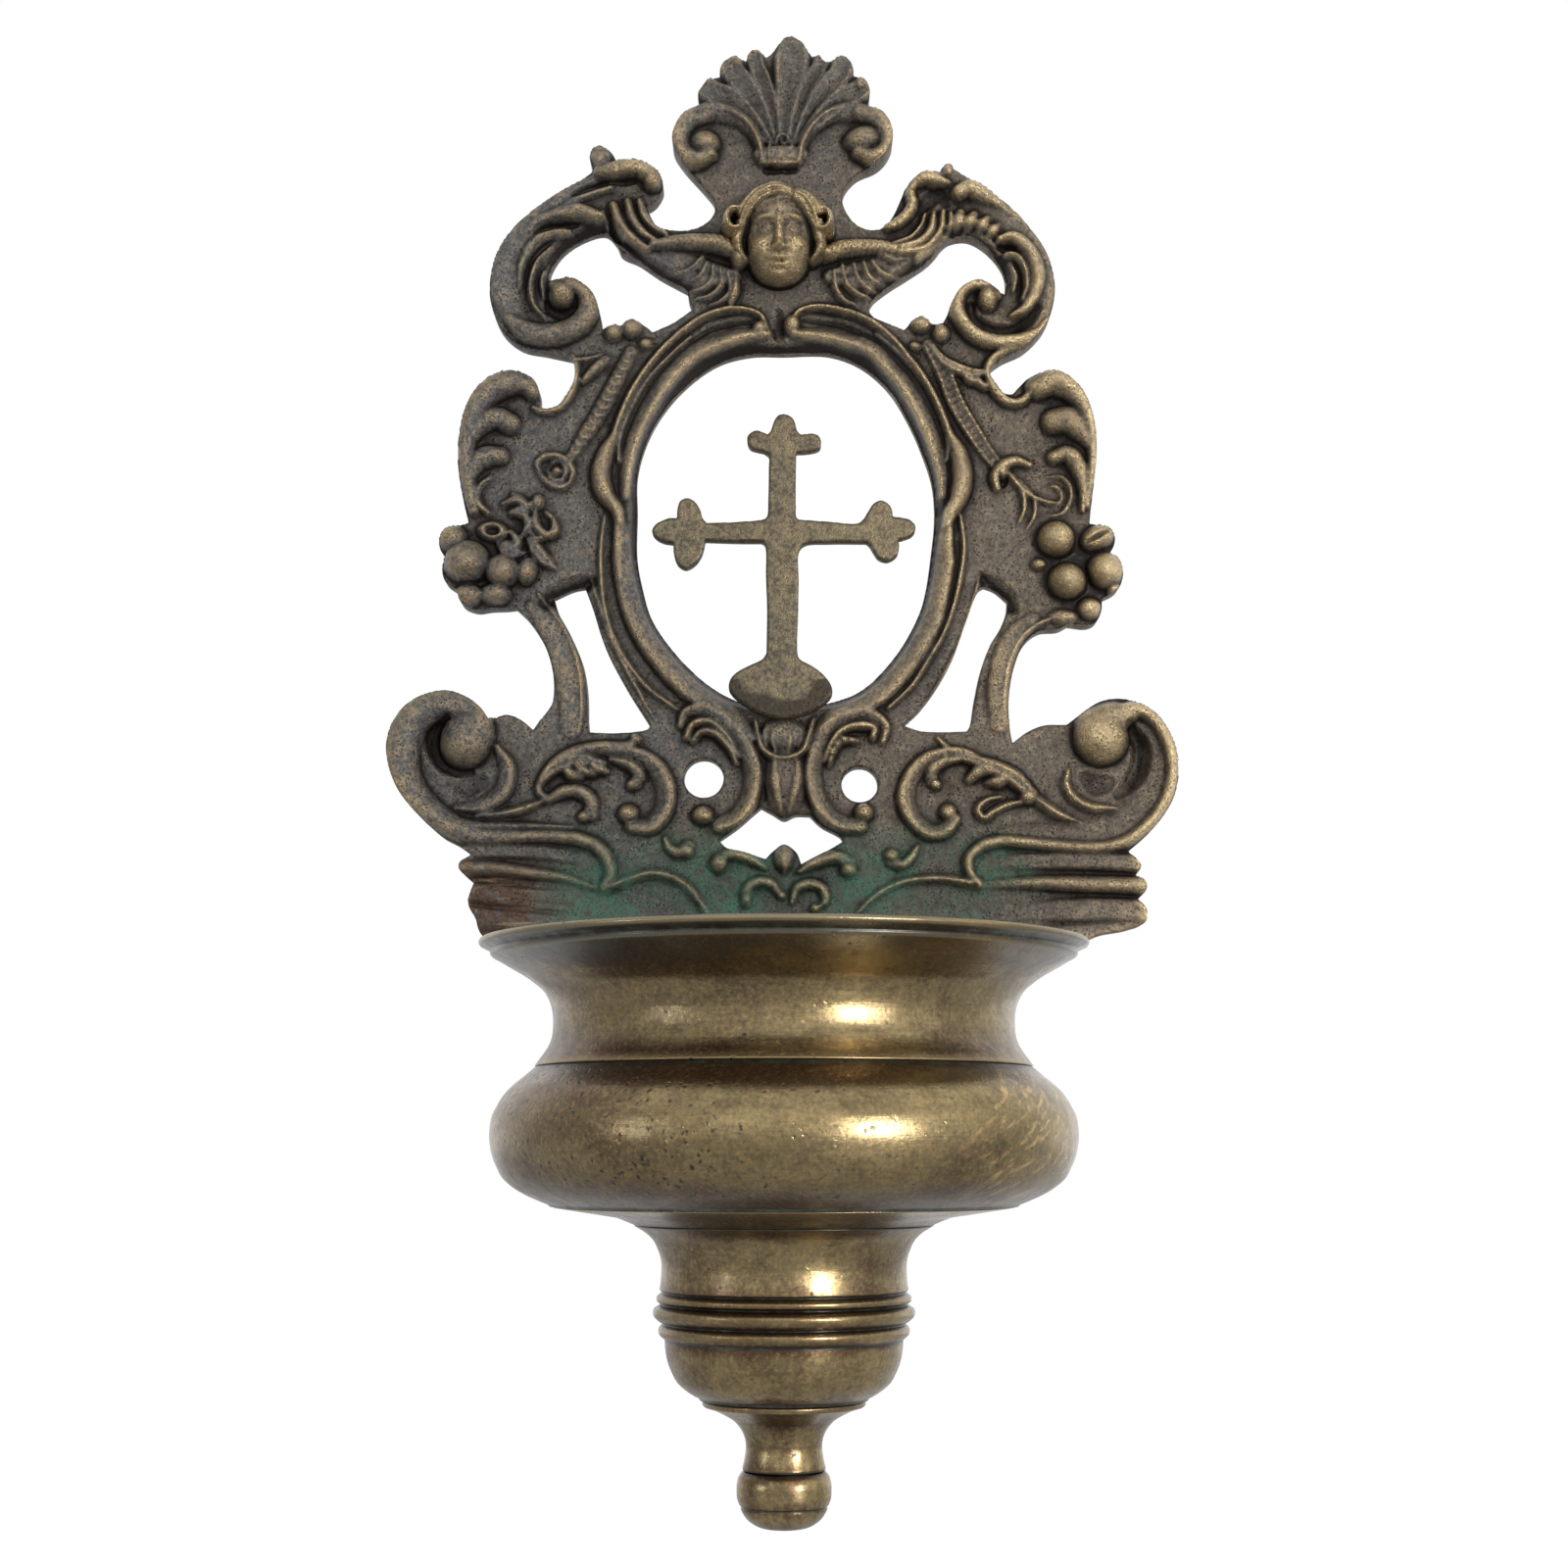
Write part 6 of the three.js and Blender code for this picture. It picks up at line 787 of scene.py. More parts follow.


# A worn casting: every form spreads a little into the ground round it, the ground is uneven and the edge turns over.
# The masks are the sums of how far each height stands over or under the mean of those round it, for three reaches. What
# stands over becomes rubbed brass with a painted highlight on the crests; what lies under becomes dirt with painted
# shade in the creases.
def castSkin(canvas, edge, seed, spread=1.5, extra=0.0):
    cell, rise = canvas["cell"], canvas["rise"]
    rise = 0.8 * rise + 0.29 * blurred(rise, spread, cell)
    uneven = ((0.16, 3.4), (0.06, 1.1), (0.035, 0.45))  # heights and pitches
    rise += sum(share * softNoise(rise.shape, reach, cell, seed + i) for i, (share, reach) in enumerate(uneven))
    canvas["rise"] = rise = blurred(rise, 0.15, cell) - edgeDrop(canvas, edge)
    rise = np.where(canvas["depth"] > 0, rise, 0)
    # a reach, and the difference over it that counts in full
    over = [(rise - blurred(rise, reach, cell)) / most for reach, most in ((0.5, 0.95), (1, 1.3), (2.8, 3))]
    under = [(blurred(rise, reach, cell) - rise) / most for reach, most in ((0.5, 0.7), (0.9, 0.85), (3, 3.2))]
    worn, deep = (np.clip(np.clip(layers, 0, 1).sum(0), 0, mostWearAndSheen) for layers in (over, under))
    return {"worn": np.clip(worn + extra, 0, mostWearAndSheen), "deep": deep}


masks = castSkin(canvas, plate["edge"], plate["seed"])
for x, z, across, tall, share in rowsOf(plate["wearAndSheenSpots"]):
    masks["worn"] += share * np.exp(-((canvas["x"] - x) * 2 / across) ** 2 - ((canvas["z"] - z) * 2 / tall) ** 2)
masks["worn"] = np.clip(masks["worn"], 0, mostWearAndSheen)
for name, low, high in plate["pieces"]:
    meshCanvas(canvas, name, low, high, 0, "back_plate", "patina", masks)

# towards its outline the head sinks into the plate
(left, right, low, high), (x0, z0), cell = cherub["box"], cherub["at"], cherub["cell"]
head = makeCanvas(x0 + left, x0 + right, z0 + low, z0 + high, cell)
rows, cols = (np.clip((head[a] - canvas[a][0, 0]) / plate["cell"], 0, None) for a in ("z", "x"))
r, c = rows.astype(int), cols.astype(int)
rows, cols = rows - r, cols - c
ground = sum(canvas["rise"][r + i, c + j] * np.abs(1 - i - rows) * np.abs(1 - j - cols) for i in (0, 1) for j in (0, 1))
layHead(head)
head["depth"] = metalDepth(head, [smoothPath(pairs(cherub["outline"]) + (x0, z0), 0.2, closed=True)[:-1]], 1.4)
# the whole face gets 0.55 more wear-and-sheen, so it reads lighter: worn brass with a painted highlight
faceMasks = castSkin(head, cherub["edge"], cherub["seed"], 0.4, 0.55)
sink = np.clip(head["depth"] / 1.3, 0, 1)
head["rise"] = np.maximum(head["rise"], 0) * sink + (ground - 0.35) * (1 - sink)
meshCanvas(head, "plateCherub", -farOff, farOff, groundFace - 0.8, "back_plate", "patina", faceMasks)


# A closed profile of radius r and height h is turned about an upright axis: x = r sin a, y = -r cos a, z = h. What would
# stand behind the plate's face is filed flat. A groove is where the radius falls short of its mean along the profile.
def turnPiece(spec):
    loop = outlinePath(spec["profile"], spec["step"])
    count = spec["sides"]
    angle = np.linspace(0, 2 * math.pi, count, endpoint=False)
    radius, height = loop[:, 0], loop[:, 1]
    x = radius[:, None] * np.sin(angle)
    y = np.minimum(-basinAxis - radius[:, None] * np.cos(angle), -groundFace)
    ids = np.arange(x.size).reshape(x.shape)
    onAxis = radius < nextToNothing
    ids[onAxis] = ids[onAxis][:, :1]  # there a whole ring is one point
    a, b = ids, np.roll(ids, -1, axis=0)
    faces = np.stack([a, np.roll(a, -1, axis=1), np.roll(b, -1, axis=1), b], axis=-1).reshape(-1, 4)
    # the profile runs clockwise on the page when its enclosed area comes out below nought
    if np.sum(radius * np.roll(height, -1) - np.roll(radius, -1) * height) < 0:
        faces = faces[:, ::-1]
    faces = faces[(faces[:, 0] != faces[:, 1]) | (faces[:, 2] != faces[:, 3])]
    kept, faces = np.unique(faces, return_inverse=True)
    faces = faces.reshape(-1, 4)
    first, last = faces[:, 0] == faces[:, 1], faces[:, 2] == faces[:, 3]
    faces = faces[~first & ~last].tolist() + faces[first & ~last][:, 1:].tolist() + faces[~first & last][:, :3].tolist()
    kernel = np.ones(9) / 9
    wrapped = np.concatenate([radius[-12:], radius, radius[:12]])
    smooth = np.convolve(np.convolve(wrapped, kernel, "same"), kernel, "same")[12:-12]
    groove = np.repeat(np.clip((smooth - radius) / 0.4, -1, 1), count)
    # dirt lies along the joints, and on the bulge one wide row paints shade under its belly: share x the bell curve of
    # the distance to each, once narrow and once wide
    line, fade, share = np.array([(*row, 1)[:3] for row in rowsOf(spec["dirtAndShade"])]).T[:, :, None]
    fine, soil = (np.repeat(np.max(share * np.exp(-((height - line) / reach) ** 2), axis=0), count)
                  for reach in (fade, spec.get("reach", 1.2)))
    masks = {"worn": np.maximum(-groove, 0), "deep": np.maximum(groove, fine), "soil": soil}
    masks = {label: values[kept] for label, values in masks.items()}
    spots = np.stack([x.ravel(), y.ravel(), np.repeat(height, count)], 1)[kept]
    makePiece(spec["node"].replace("_", ".") + ".fine", spots, faces, masks, spec["node"], "turned_brass")


collar = {
    "node": "basin_collar", "step": 0.25, "sides": 224, "reach": 3.2,
    "dirtAndShade": "-33.75 0.75, -51.6 0.2 0.6",  # height, width and share
    "profile": """
    46.3 -32.05 / 46.95 -32.3 47.1 -32.7 46.9 -33.1 / 46 -33.5 / 45.2 -34 / 45.35 -34.3 45.1 -34.7 44.2 -35.2
    42.3 -36.3 40.2 -37.5 38.5 -38.7 37.2 -39.8 36.4 -41 35.9 -42.2 35.6 -43.6 35.55 -45.6 35.7 -47 36.1 -48.2
    36.8 -49.4 37.7 -50.6 38.25 -51.4 / 38.05 -51.6 / 36 -51.6 / 35.5 -50.5 34.4 -48.8 33.6 -46.8 33.4 -43.6 33.8 -41
    35 -38.9 37.2 -37 40.4 -35.1 43.4 -33.3 44.6 -32.3 45 -32""",
}
bulge = {
    "node": "basin_bulge", "step": 0.3, "sides": 224, "reach": 3,
    # the third row is painted shade: a wide dark band over the underside of the belly
    "dirtAndShade": "-51.95 0.5, -72.4 0.5, -71.4 5.2 0.4",
    "profile": """
    38.15 -51.6 / 38.45 -51.85 / 39.8 -53 41.3 -54.2 42.5 -55.4 43.4 -56.6 44 -57.7 44.6 -58.9 44.85 -60.1 44.96 -62.4
    44.55 -64.8 43.6 -67.1 42.9 -68.3 41.6 -69.5 39.7 -70.7 37.5 -71.7 36 -72.3 / 35.7 -72.6 / 30.1 -72.6 /
    30.1 -70.6 / 34 -70.6 / 37.6 -69.5 40.2 -67.6 42 -65 42.6 -62.2 42.2 -59.6 40.8 -57 38.6 -54.6 36.4 -52.6
    35.6 -51.6""",
}
floorPan = {
    "node": "basin_floor", "step": 0.5, "sides": 192,
    "dirtAndShade": "-73.6 0.3 0.5, -75.3 0.3",
    "profile": """
    35.1 -72.6 / 35.15 -72.75 / 26 -74.2 / 25.3 -74.4 23.2 -75.25 / 22.9 -75.4 / 2.3 -75.4 / 2.3 -72.6""",
}
pendant = {
    "node": "pendant_body", "step": 0.18, "sides": 160,
    "dirtAndShade": "-75.6 0.25 0.8, -85.45 0.28, -87.25 0.34, -90.1 0.34, -92.6 0.35, -101.2 0.35",
    "profile": """
    22.75 -75.4 / 22.85 -75.55 / 21.1 -76.6 19.9 -77.8 19.3 -79 18.9 -80.1 18.7 -81.3 18.7 -82.6 18.85 -84.4
    18.95 -85.1 / 18.55 -85.45 / 18.95 -85.7 / 19.3 -86 19.42 -86.4 19.3 -86.8 19 -87.05 / 18.6 -87.25 / 19.2 -87.5 /
    19.75 -87.85 19.95 -88.4 19.8 -89 19.3 -89.55 18.9 -89.85 / 18.4 -90.1 / 18.75 -90.4 / 19.05 -90.8 19.1 -91.3
    18.9 -91.8 18.6 -92.1 / 18.1 -92.5 / 18.1 -93 18 -94.1 17.75 -95.4 17.4 -96.5 16.9 -97.6 16.2 -98.8 15 -99.9
    13.6 -100.8 / 12.9 -101.1 / 12.8 -101.4 / 2.3 -101.4 / 2.3 -98.4 / 12 -98.2 15 -96 15.6 -92 15.8 -84 16.4 -79
    20.5 -75.4""",
}
stem = {
    "node": "finial_stem", "step": 0.16, "sides": 128,
    "dirtAndShade": "-101.5 0.2 0.8, -104.5 0.2 0.4, -108 0.2 0.3, -111.7 0.3",
    "profile": """
    12 -101.4 / 12.35 -101.6 12.4 -101.9 12.3 -102.2 / 12.1 -102.4 / 10.8 -102.8 9.5 -103.4 8.3 -104.05 7.5 -104.6
    6.5 -105.8 5.95 -107 5.76 -108.2 5.9 -109.6 6.1 -110.6 6.3 -111.4 / 6.2 -111.75 / 2.3 -111.8 / 2.3 -101.4""",
}
knob = {
    "node": "finial_knob", "step": 0.16, "sides": 128,
    "dirtAndShade": "-111.9 0.35, -117.1 0.28 0.8, -119.8 0.6 0.5",
    "profile": """
    5.8 -111.8 / 6.3 -111.95 / 6.86 -112.7 7.12 -113.7 7.15 -114.6 7.1 -115.8 6.75 -116.8 / 6.4 -117.05 / 6.55 -117.3
    6.2 -118.1 5.6 -118.9 4.86 -119.5 3.9 -120 2.9 -120.25 1.4 -120.37 0 -120.4 / 0 -111.8""",
}
for spec in (collar, bulge, floorPan, pendant, stem, knob):
    turnPiece(spec)

cross = {
    "name": "cross.fine", "node": "cross", "slot": "cross_brass", "box": (-24.5, 24.5, 9.5, 67), "cell": 0.2, "edge": 0.4,
    "thickness": 2.6, "back": groundFace, "high": farOff, "solder": (-0.5, 19, 22, 16, 17.5),
    "outline": """
    0.9 65.5 1.6 64.9 2 64 2.3 62.8 3 62 / 4 62.1 5 62.2 6 61.9 6.5 61.2 6.6 60.3 6.4 59.6 5.6 59.2 4 58.9 2.2 58.8 /
    2.1 54 2.1 49 2.2 46.8 2.6 46.4 / 8 46 13 45.7 14 46.4 14.9 47.8 15.9 49.3 17.2 49.9 18.4 49.4 19.1 48.4 19.3 47 /
    20.8 46.8 22.3 46.4 23.2 45.5 23.3 44.6 22.7 43.7 21.3 43.1 20.2 42.8 / 20.4 41.6 20.1 40.2 19.3 39.4 18.1 39
    16.7 39.5 15.9 40.6 15.2 41.8 14.6 42.4 / 8 42.4 3.8 42.1 2.7 41 2.6 35 2.5 30 2.5 21.6 3 21 5 19.9 7 18.3
    8.3 16.4 8.4 14.8 6 12.5 3 11.2 -0.3 10.7 -3.3 11.2 -6.5 12.8 -9 14.8 -9.7 16 -9.4 17.6 -8.2 18.9 -6 20.1
    -3.8 21.2 -3.1 22.2 / -3 30 -3.2 36 -3.4 42 -4 42.5 / -8 42.5 -14 42.7 / -14.2 41.4 -14.7 39.9 -15.8 38.4
    -17.4 37.6 -18.8 38.4 -19.5 40.2 -19.6 42.2 / -21.4 42.5 -22.8 43.3 -23.4 44.3 -22.8 45.5 -21.4 46.3 -20.3 46.7
    -19 46.7 / -18.9 48.4 -18.4 49.8 -17.2 50.3 -15.9 49.7 -14.9 48.2 -14.4 46.6 -13.7 45.8 / -8 46 -3.5 46.5 -3 47
    -2.8 50 -2.7 56 -2.7 58.2 -3.6 59 / -5 59.3 -6 59.7 -6.5 60.6 -6.5 61.6 -5.8 62.4 -4.8 62.7 -3.8 62.4 -2.9 62 /
    -2.4 62.6 -2 63.8 -1.6 64.8 -0.9 65.6 0 65.8""",
}
tongue = {
    "name": "plateTongue", "node": "back_plate", "slot": "patina", "box": (-30, 30, -70, -28), "cell": 1.0, "edge": 0.6,
    "thickness": -0.1, "back": 0.06, "high": -30.5,
    "outline": """
    28 -29 / 28 -58 / 27.6 -61 25 -64.6 20 -66.8 12 -67.9 0 -68.1 -12 -67.9 -20 -66.8 -25 -64.6 -27.6 -61 -28 -58 /
    -28 -29""",
}


# A flat sawn piece: height = thickness, less the turn of its edge, plus a little unevenness. Solder lies dark round a spot.
def flatPiece(spec):
    cell = spec["cell"]
    sheet = makeCanvas(*spec["box"], cell)
    sheet["depth"] = metalDepth(sheet, [outlinePath(spec["outline"], min(outlineStep, cell))], 3 * cell + 1)
    shape = sheet["x"].shape
    sheet["rise"] = spec["thickness"] + 0.04 * softNoise(shape, 3, cell, 11) - edgeDrop(sheet, spec["edge"])
    masks = {"worn": np.full(shape, 0.5), "deep": 0.8 * np.clip(1 - sheet["depth"] / 0.5, 0, 1)}
    if "solder" in spec:
        x, z, across, tall, top = spec["solder"]
        q = np.hypot((sheet["x"] - x) * 2 / across, (sheet["z"] - z) * 2 / tall) + 0.05 * softNoise(shape, 1.2, cell, 5)
        masks["deep"] = np.maximum(masks["deep"], np.clip((q - 0.62) / 0.12, 0, 0.9) * (sheet["z"] < top))
    meshCanvas(sheet, spec["name"], -farOff, spec["high"], spec["back"], spec["node"], spec["slot"], masks)


flatPiece(cross)
flatPiece(tongue)


# a screen colour of 0 to 255 turned into light: ((v + 0.055) / 1.055) to the power 2.4, straight for the darkest
def tint(r, g, b):
    return tuple((v / 255 / 12.92 if v <= 10 else ((v / 255 + 0.055) / 1.055) ** 2.4) for v in (r, g, b)) + (1,)


# wires a socket to another one, or sets its value
def plug(socket, source):
    if isinstance(source, bpy.types.NodeSocket):
        socket.id_data.links.new(source, socket)
    else:
        socket.default_value = source


# a shader node with its settings, and its sockets wired or set by name or number
def addNode(tree, kind, wires={}, **settings):
    node = tree.nodes.new(kind if kind.startswith("Node") else "ShaderNode" + kind)
    for name, value in settings.items():
        setattr(node, name, value)
    for socket, source in wires.items():
        plug(node.inputs[socket], source)
    return node


# the result of one sum on two values, of which one at least is wired, held to 0 to 1 if asked
def sums(operation, a, b=0.0, held=False):
    tree = (a if isinstance(a, bpy.types.NodeSocket) else b).id_data
    return addNode(tree, "Math", {0: a, 1: b}, operation=operation, use_clamp=held).outputs[0]


# a + b
def plus(a, b, held=False):
    return sums("ADD", a, b, held)


# a - b
def minus(a, b, held=False):
    return sums("SUBTRACT", a, b, held)


# a x b
def times(a, b, held=False):
    return sums("MULTIPLY", a, b, held)


# (1 - share) x a + share x b
def blend(share, a, b):
    return addNode(share.id_data, "Mix", {"Factor": share, 6: a, 7: b}, data_type="RGBA").outputs[2]


# colours laid over the first, each by its own share
def layered(color, *layers):
    for share, over in layers:
        color = blend(share, color, over)
    return color


# low to high becomes toLow to toHigh on a straight line, and no further
def remap(value, low, high, toLow=0.0, toHigh=1.0):
    wires = {"Value": value, "From Min": low, "From Max": high, "To Min": toLow, "To Max": toHigh}
    return addNode(value.id_data, "MapRange", wires).outputs[0]


# cloudy noise: waves of that scale and finer ones, each lower by the share that makes it rough
def noise(spot, scale, detail=4, rough=0.55):
    wires = {"Vector": spot, "Scale": scale, "Detail": detail, "Roughness": rough}
    return addNode(spot.id_data, "TexNoise", wires).outputs["Fac"]


# the distance to the nearest of scattered points
def dots(spot, scale):
    return addNode(spot.id_data, "TexVoronoi", {"Vector": spot, "Scale": scale}, feature="F1").outputs["Distance"]


# a place, part by part
def partsOf(place):
    return addNode(place.id_data, "SeparateXYZ", {0: place}).outputs


# a place from its parts
def spotOf(x, y, z):
    return addNode(z.id_data, "CombineXYZ", {0: x, 1: y, 2: z}).outputs[0]


# one sum on two places; the second may be a number that scales the first
def vectors(operation, a, b):
    slot = "Scale" if operation == "SCALE" else 1
    return addNode(a.id_data, "VectorMath", {0: a, slot: b}, operation=operation).outputs[0]


# the same place pushed about by a noise, as far as the reach
def bent(spot, scale, reach):
    push = addNode(spot.id_data, "TexNoise", {"Vector": spot, "Scale": scale, "Detail": 2}).outputs["Color"]
    return vectors("ADD", spot, vectors("SCALE", push, reach))


# a node group that takes a place, masks and colours, and gives what goes into a finish
def makeGroup(name, masks, colors):
    tree = bpy.data.node_groups.new(name, "ShaderNodeTree")
    rows = [("Place", "INPUT", "Vector", None)] + [(label, "INPUT", "Float", 0.0) for label in masks.split()]
    rows += [(label, "INPUT", "Color", tint(*color)) for label, color in colors.items()]
    rows += [("Color", "OUTPUT", "Color", None)]
    rows += [(label, "OUTPUT", "Float", None) for label in ("Roughness", "Metallic", "Height")]
    for label, way, kind, value in rows:
        socket = tree.interface.new_socket(name=label, in_out=way, socket_type="NodeSocket" + kind)
        if value is not None:
            socket.default_value = value
    return tree, addNode(tree, "NodeGroupInput").outputs, addNode(tree, "NodeGroupOutput").inputs


# Aged cast brass: dark in the hollows with dirt and painted shade, grey brown in the open and rubbed to the metal on
# what stands out, with a painted highlight on the crests; the right side is painted as lit, brassier and more rubbed,
# and the left as shaded, bluer and darker
patinaGroup, g, out = makeGroup("agedSkin", "Worn Deep Green Rust", {
    "Bright": (206, 184, 142), "Bare": (156, 138, 110), "Skin": (125, 116, 105), "Blue": (109, 110, 110),
    "Dark": (34, 27, 22), "Verdigris": (66, 112, 92), "Brown": (84, 64, 52)})
place = g["Place"]
cloud, mottle, grit = noise(place, 55, 5), noise(place, 480, 8, 0.72), noise(place, 1400, 5, 0.78)
# painted light: side runs from nought on the left, painted as shaded with a blue grey reflection, to 1 on the right,
# painted as lit and brassier
side = plus(remap(partsOf(place)[0], -0.06, 0.06), remap(cloud, 0.3, 0.7, -0.35, 0.35), True)
pitMask = times(remap(dots(place, 1900), 0.12, 0.4, 1, 0), remap(mottle, 0.44, 0.58), True)
# the wear-and-sheen counts more on the right, so the crests there carry a stronger painted highlight
rubAndSheen = times(g["Worn"], remap(side, 0, 1, 0.4, 0.78))
rubAndSheen = plus(plus(rubAndSheen, remap(mottle, 0.3, 0.7, -0.3, 0.3)), remap(grit, 0.3, 0.7, -0.3, 0.3))
# painted shade: the deep mask darkens creases and hollows, partly as dirt and partly as shade; the pits add dark marks
# of their own
shade = plus(times(g["Deep"], 0.85), times(pitMask, 0.5), True)
streaks = noise(vectors("MULTIPLY", place, (90, 90, 900)), 1, 4, 0.6)
green = times(g["Green"], times(remap(cloud, 0.36, 0.52), remap(mottle, 0.36, 0.6)), True)
color = layered(
    blend(remap(side, 0.15, 0.75), g["Blue"], g["Skin"]),
    (remap(mottle, 0.3, 0.66, 0.55, 0), g["Dark"]),
    (remap(mottle, 0.52, 0.74, 0, 0.55), g["Bare"]),
    (remap(grit, 0.34, 0.5, 0.6, 0), g["Dark"]),
    (remap(grit, 0.52, 0.66, 0, 0.65), g["Bare"]),
    (remap(rubAndSheen, 0.15, 0.75), g["Bare"]),
    # the most rubbed crests become bright: bare brass with a painted glint
    (remap(rubAndSheen, 0.72, 1.25), g["Bright"]),
    (shade, g["Dark"]),
    (times(g["Rust"], remap(mottle, 0.36, 0.52), True), blend(remap(streaks, 0.55, 0.66, 0, 0.8), g["Brown"], g["Bare"])),
    (times(g["Green"], remap(rubAndSheen, 0.9, 0.3, 0, 0.4), True), g["Dark"]),
    (green, g["Verdigris"]))
rough = plus(remap(rubAndSheen, 0.2, 1.2, 0.42, 0.2), remap(grit, 0.3, 0.7, -0.12, 0.14))
plug(out["Color"], color)
plug(out["Roughness"], plus(rough, times(green, 0.25), True))
plug(out["Metallic"], minus(remap(rubAndSheen, 0.2, 1, 0.7, 0.96), times(green, 0.6), True))
plug(out["Height"], minus(plus(times(mottle, 0.7), times(grit, 0.6)), times(pitMask, 0.55)))

# Turned brass: fine rings left by the tool, long stains round the bowl, pits, and fresh scratches where Fresh is up;
# the right side is painted lighter and brassier as lit, and the deep mask darkens the joints with dirt and the bulge's
# underside with painted shade
turnedGroup, g, out = makeGroup("turnedSkin", "Worn Deep Soil Fresh Pitted Rim", {
    "Bare": (163, 143, 101), "Skin": (114, 100, 75), "Brown": (96, 68, 47), "Grey": (102, 108, 106), "Dark": (42, 35, 26),
    "Verdigris": (94, 110, 100), "Gold": (206, 172, 112)})
place = g["Place"]
x, y, z = partsOf(place)
ahead = minus(-basinAxis * mm, y)
turn, radius = sums("ARCTAN2", x, ahead), sums("SQRT", plus(times(x, x), times(ahead, ahead)))
rings = noise(spotOf(times(turn, 0.8), times(radius, 400), times(z, 400)), 5, 5, 0.7)
stains = noise(spotOf(times(turn, 2.2), times(radius, 90), times(z, 90)), 1, 7, 0.62)
scratches = noise(spotOf(times(turn, 9), 0.0, plus(times(z, 700), times(turn, -16))), 1, 5, 0.7)
cloud, mottle, grit = noise(place, 45, 4), noise(place, 320, 7, 0.68), noise(place, 1500, 5, 0.75)
pitted = remap(plus(mottle, times(g["Pitted"], 0.24)), 0.53, 0.66)
pitMask = times(remap(dots(bent(place, 500, 0.0022), 700), 0.1, 0.32, 1, 0), pitted, True)
specks = times(remap(dots(place, 1500), 0.1, 0.26, 1, 0), remap(mottle, 0.5, 0.62), True)
# painted light: side runs from the left to the right of the bowl, and the tone it drives paints the right side, towards
# the main lamp, lighter and brassier
side = plus(remap(x, -0.036, 0.024), remap(cloud, 0.3, 0.7, -0.25, 0.25), True)
tone = plus(times(side, 0.6), remap(stains, 0.3, 0.7, -0.15, 0.65), True)
smudge = minus(plus(stains, times(side, 0.12)), times(g["Soil"], 0.3))
fresh = times(g["Fresh"], times(remap(scratches, 0.52, 0.58), remap(mottle, 0.4, 0.55)), True)
shade = plus(times(g["Deep"], 1.1), times(pitMask, 0.85), True)
color = layered(
    blend(tone, g["Skin"], g["Bare"]),
    (remap(smudge, 0.54, 0.34, 0, 0.85), g["Brown"]),
    (remap(mottle, 0.3, 0.56, 0.5, 0), g["Dark"]),
    (remap(rings, 0.35, 0.6, 0.2, 0), g["Dark"]),
    (remap(grit, 0.36, 0.5, 0.4, 0), g["Dark"]),
    (remap(grit, 0.52, 0.66, 0, 0.35), g["Gold"]),
    (times(g["Rim"], remap(plus(stains, times(side, 0.15)), 0.75, 0.5), True), g["Grey"]),
    (times(specks, 0.5), g["Dark"]),
    (times(g["Worn"], 0.6, True), g["Bare"]),
    (fresh, g["Gold"]),
    (shade, g["Dark"]),
    (times(remap(g["Deep"], 0.5, 1), remap(mottle, 0.46, 0.6, 0, 0.4), True), g["Verdigris"]))
height = minus(plus(plus(times(rings, 0.16), times(mottle, 0.4)), times(grit, 0.22)), times(pitMask, 0.6))
plug(out["Color"], color)
plug(out["Roughness"], plus(remap(tone, 0, 1, 0.3, 0.17), remap(mottle, 0.3, 0.7, 0.12, -0.05), True))
plug(out["Metallic"], remap(shade, 0, 1, 0.96, 0.7))
plug(out["Height"], plus(height, times(fresh, 0.25)))


# 1 inside a box of the object's coordinates, falling to nought over the given distance outside it, for each axis that has bounds
def boxMask(place, low, high, fade):
    edges = [remap(minus((b - a) / 2, sums("ABSOLUTE", minus(part, (a + b) / 2))), -reach, 0)
             for part, a, b, reach in zip(partsOf(place), low, high, fade) if a is not None]
    share = edges[0]
    for edge in edges[1:]:
        share = times(share, edge)
    return share


# a new material, with its node tree and the sockets of its shader
def newMaterial(name):
    material = bpy.data.materials.new(name)
    material.use_nodes = True
    return material, material.node_tree, material.node_tree.nodes["Principled BSDF"].inputs


# a finish: the group's colour, gloss and bumps, with its own colours and masks, under a thin film of wax
def makeMaterial(name, group, colors={}, bump=0.5, film=0.1, boxes={}):
    material, tree, shader = newMaterial(name)
    place = addNode(tree, "TexCoord").outputs["Object"]
    skin = addNode(tree, "Group", {label: tint(*color) for label, color in colors.items()}, node_tree=group)
    plug(skin.inputs["Place"], place)
    for label in ("Worn", "Deep", "Soil"):
        if label in skin.inputs:
            plug(skin.inputs[label], addNode(tree, "Attribute", attribute_name=label.lower()).outputs["Fac"])
    for label, box in boxes.items():
        plug(skin.inputs[label], boxMask(place, *box))
    shader["Coat Weight"].default_value, shader["Coat Roughness"].default_value = film, 0.3
    for label, socket in (("Color", "Base Color"), ("Roughness", "Roughness"), ("Metallic", "Metallic")):
        plug(shader[socket], skin.outputs[label])
    bumps = addNode(tree, "Bump", {"Height": skin.outputs["Height"], "Strength": bump, "Distance": 0.0004})
    plug(shader["Normal"], bumps.outputs["Normal"])
    return material


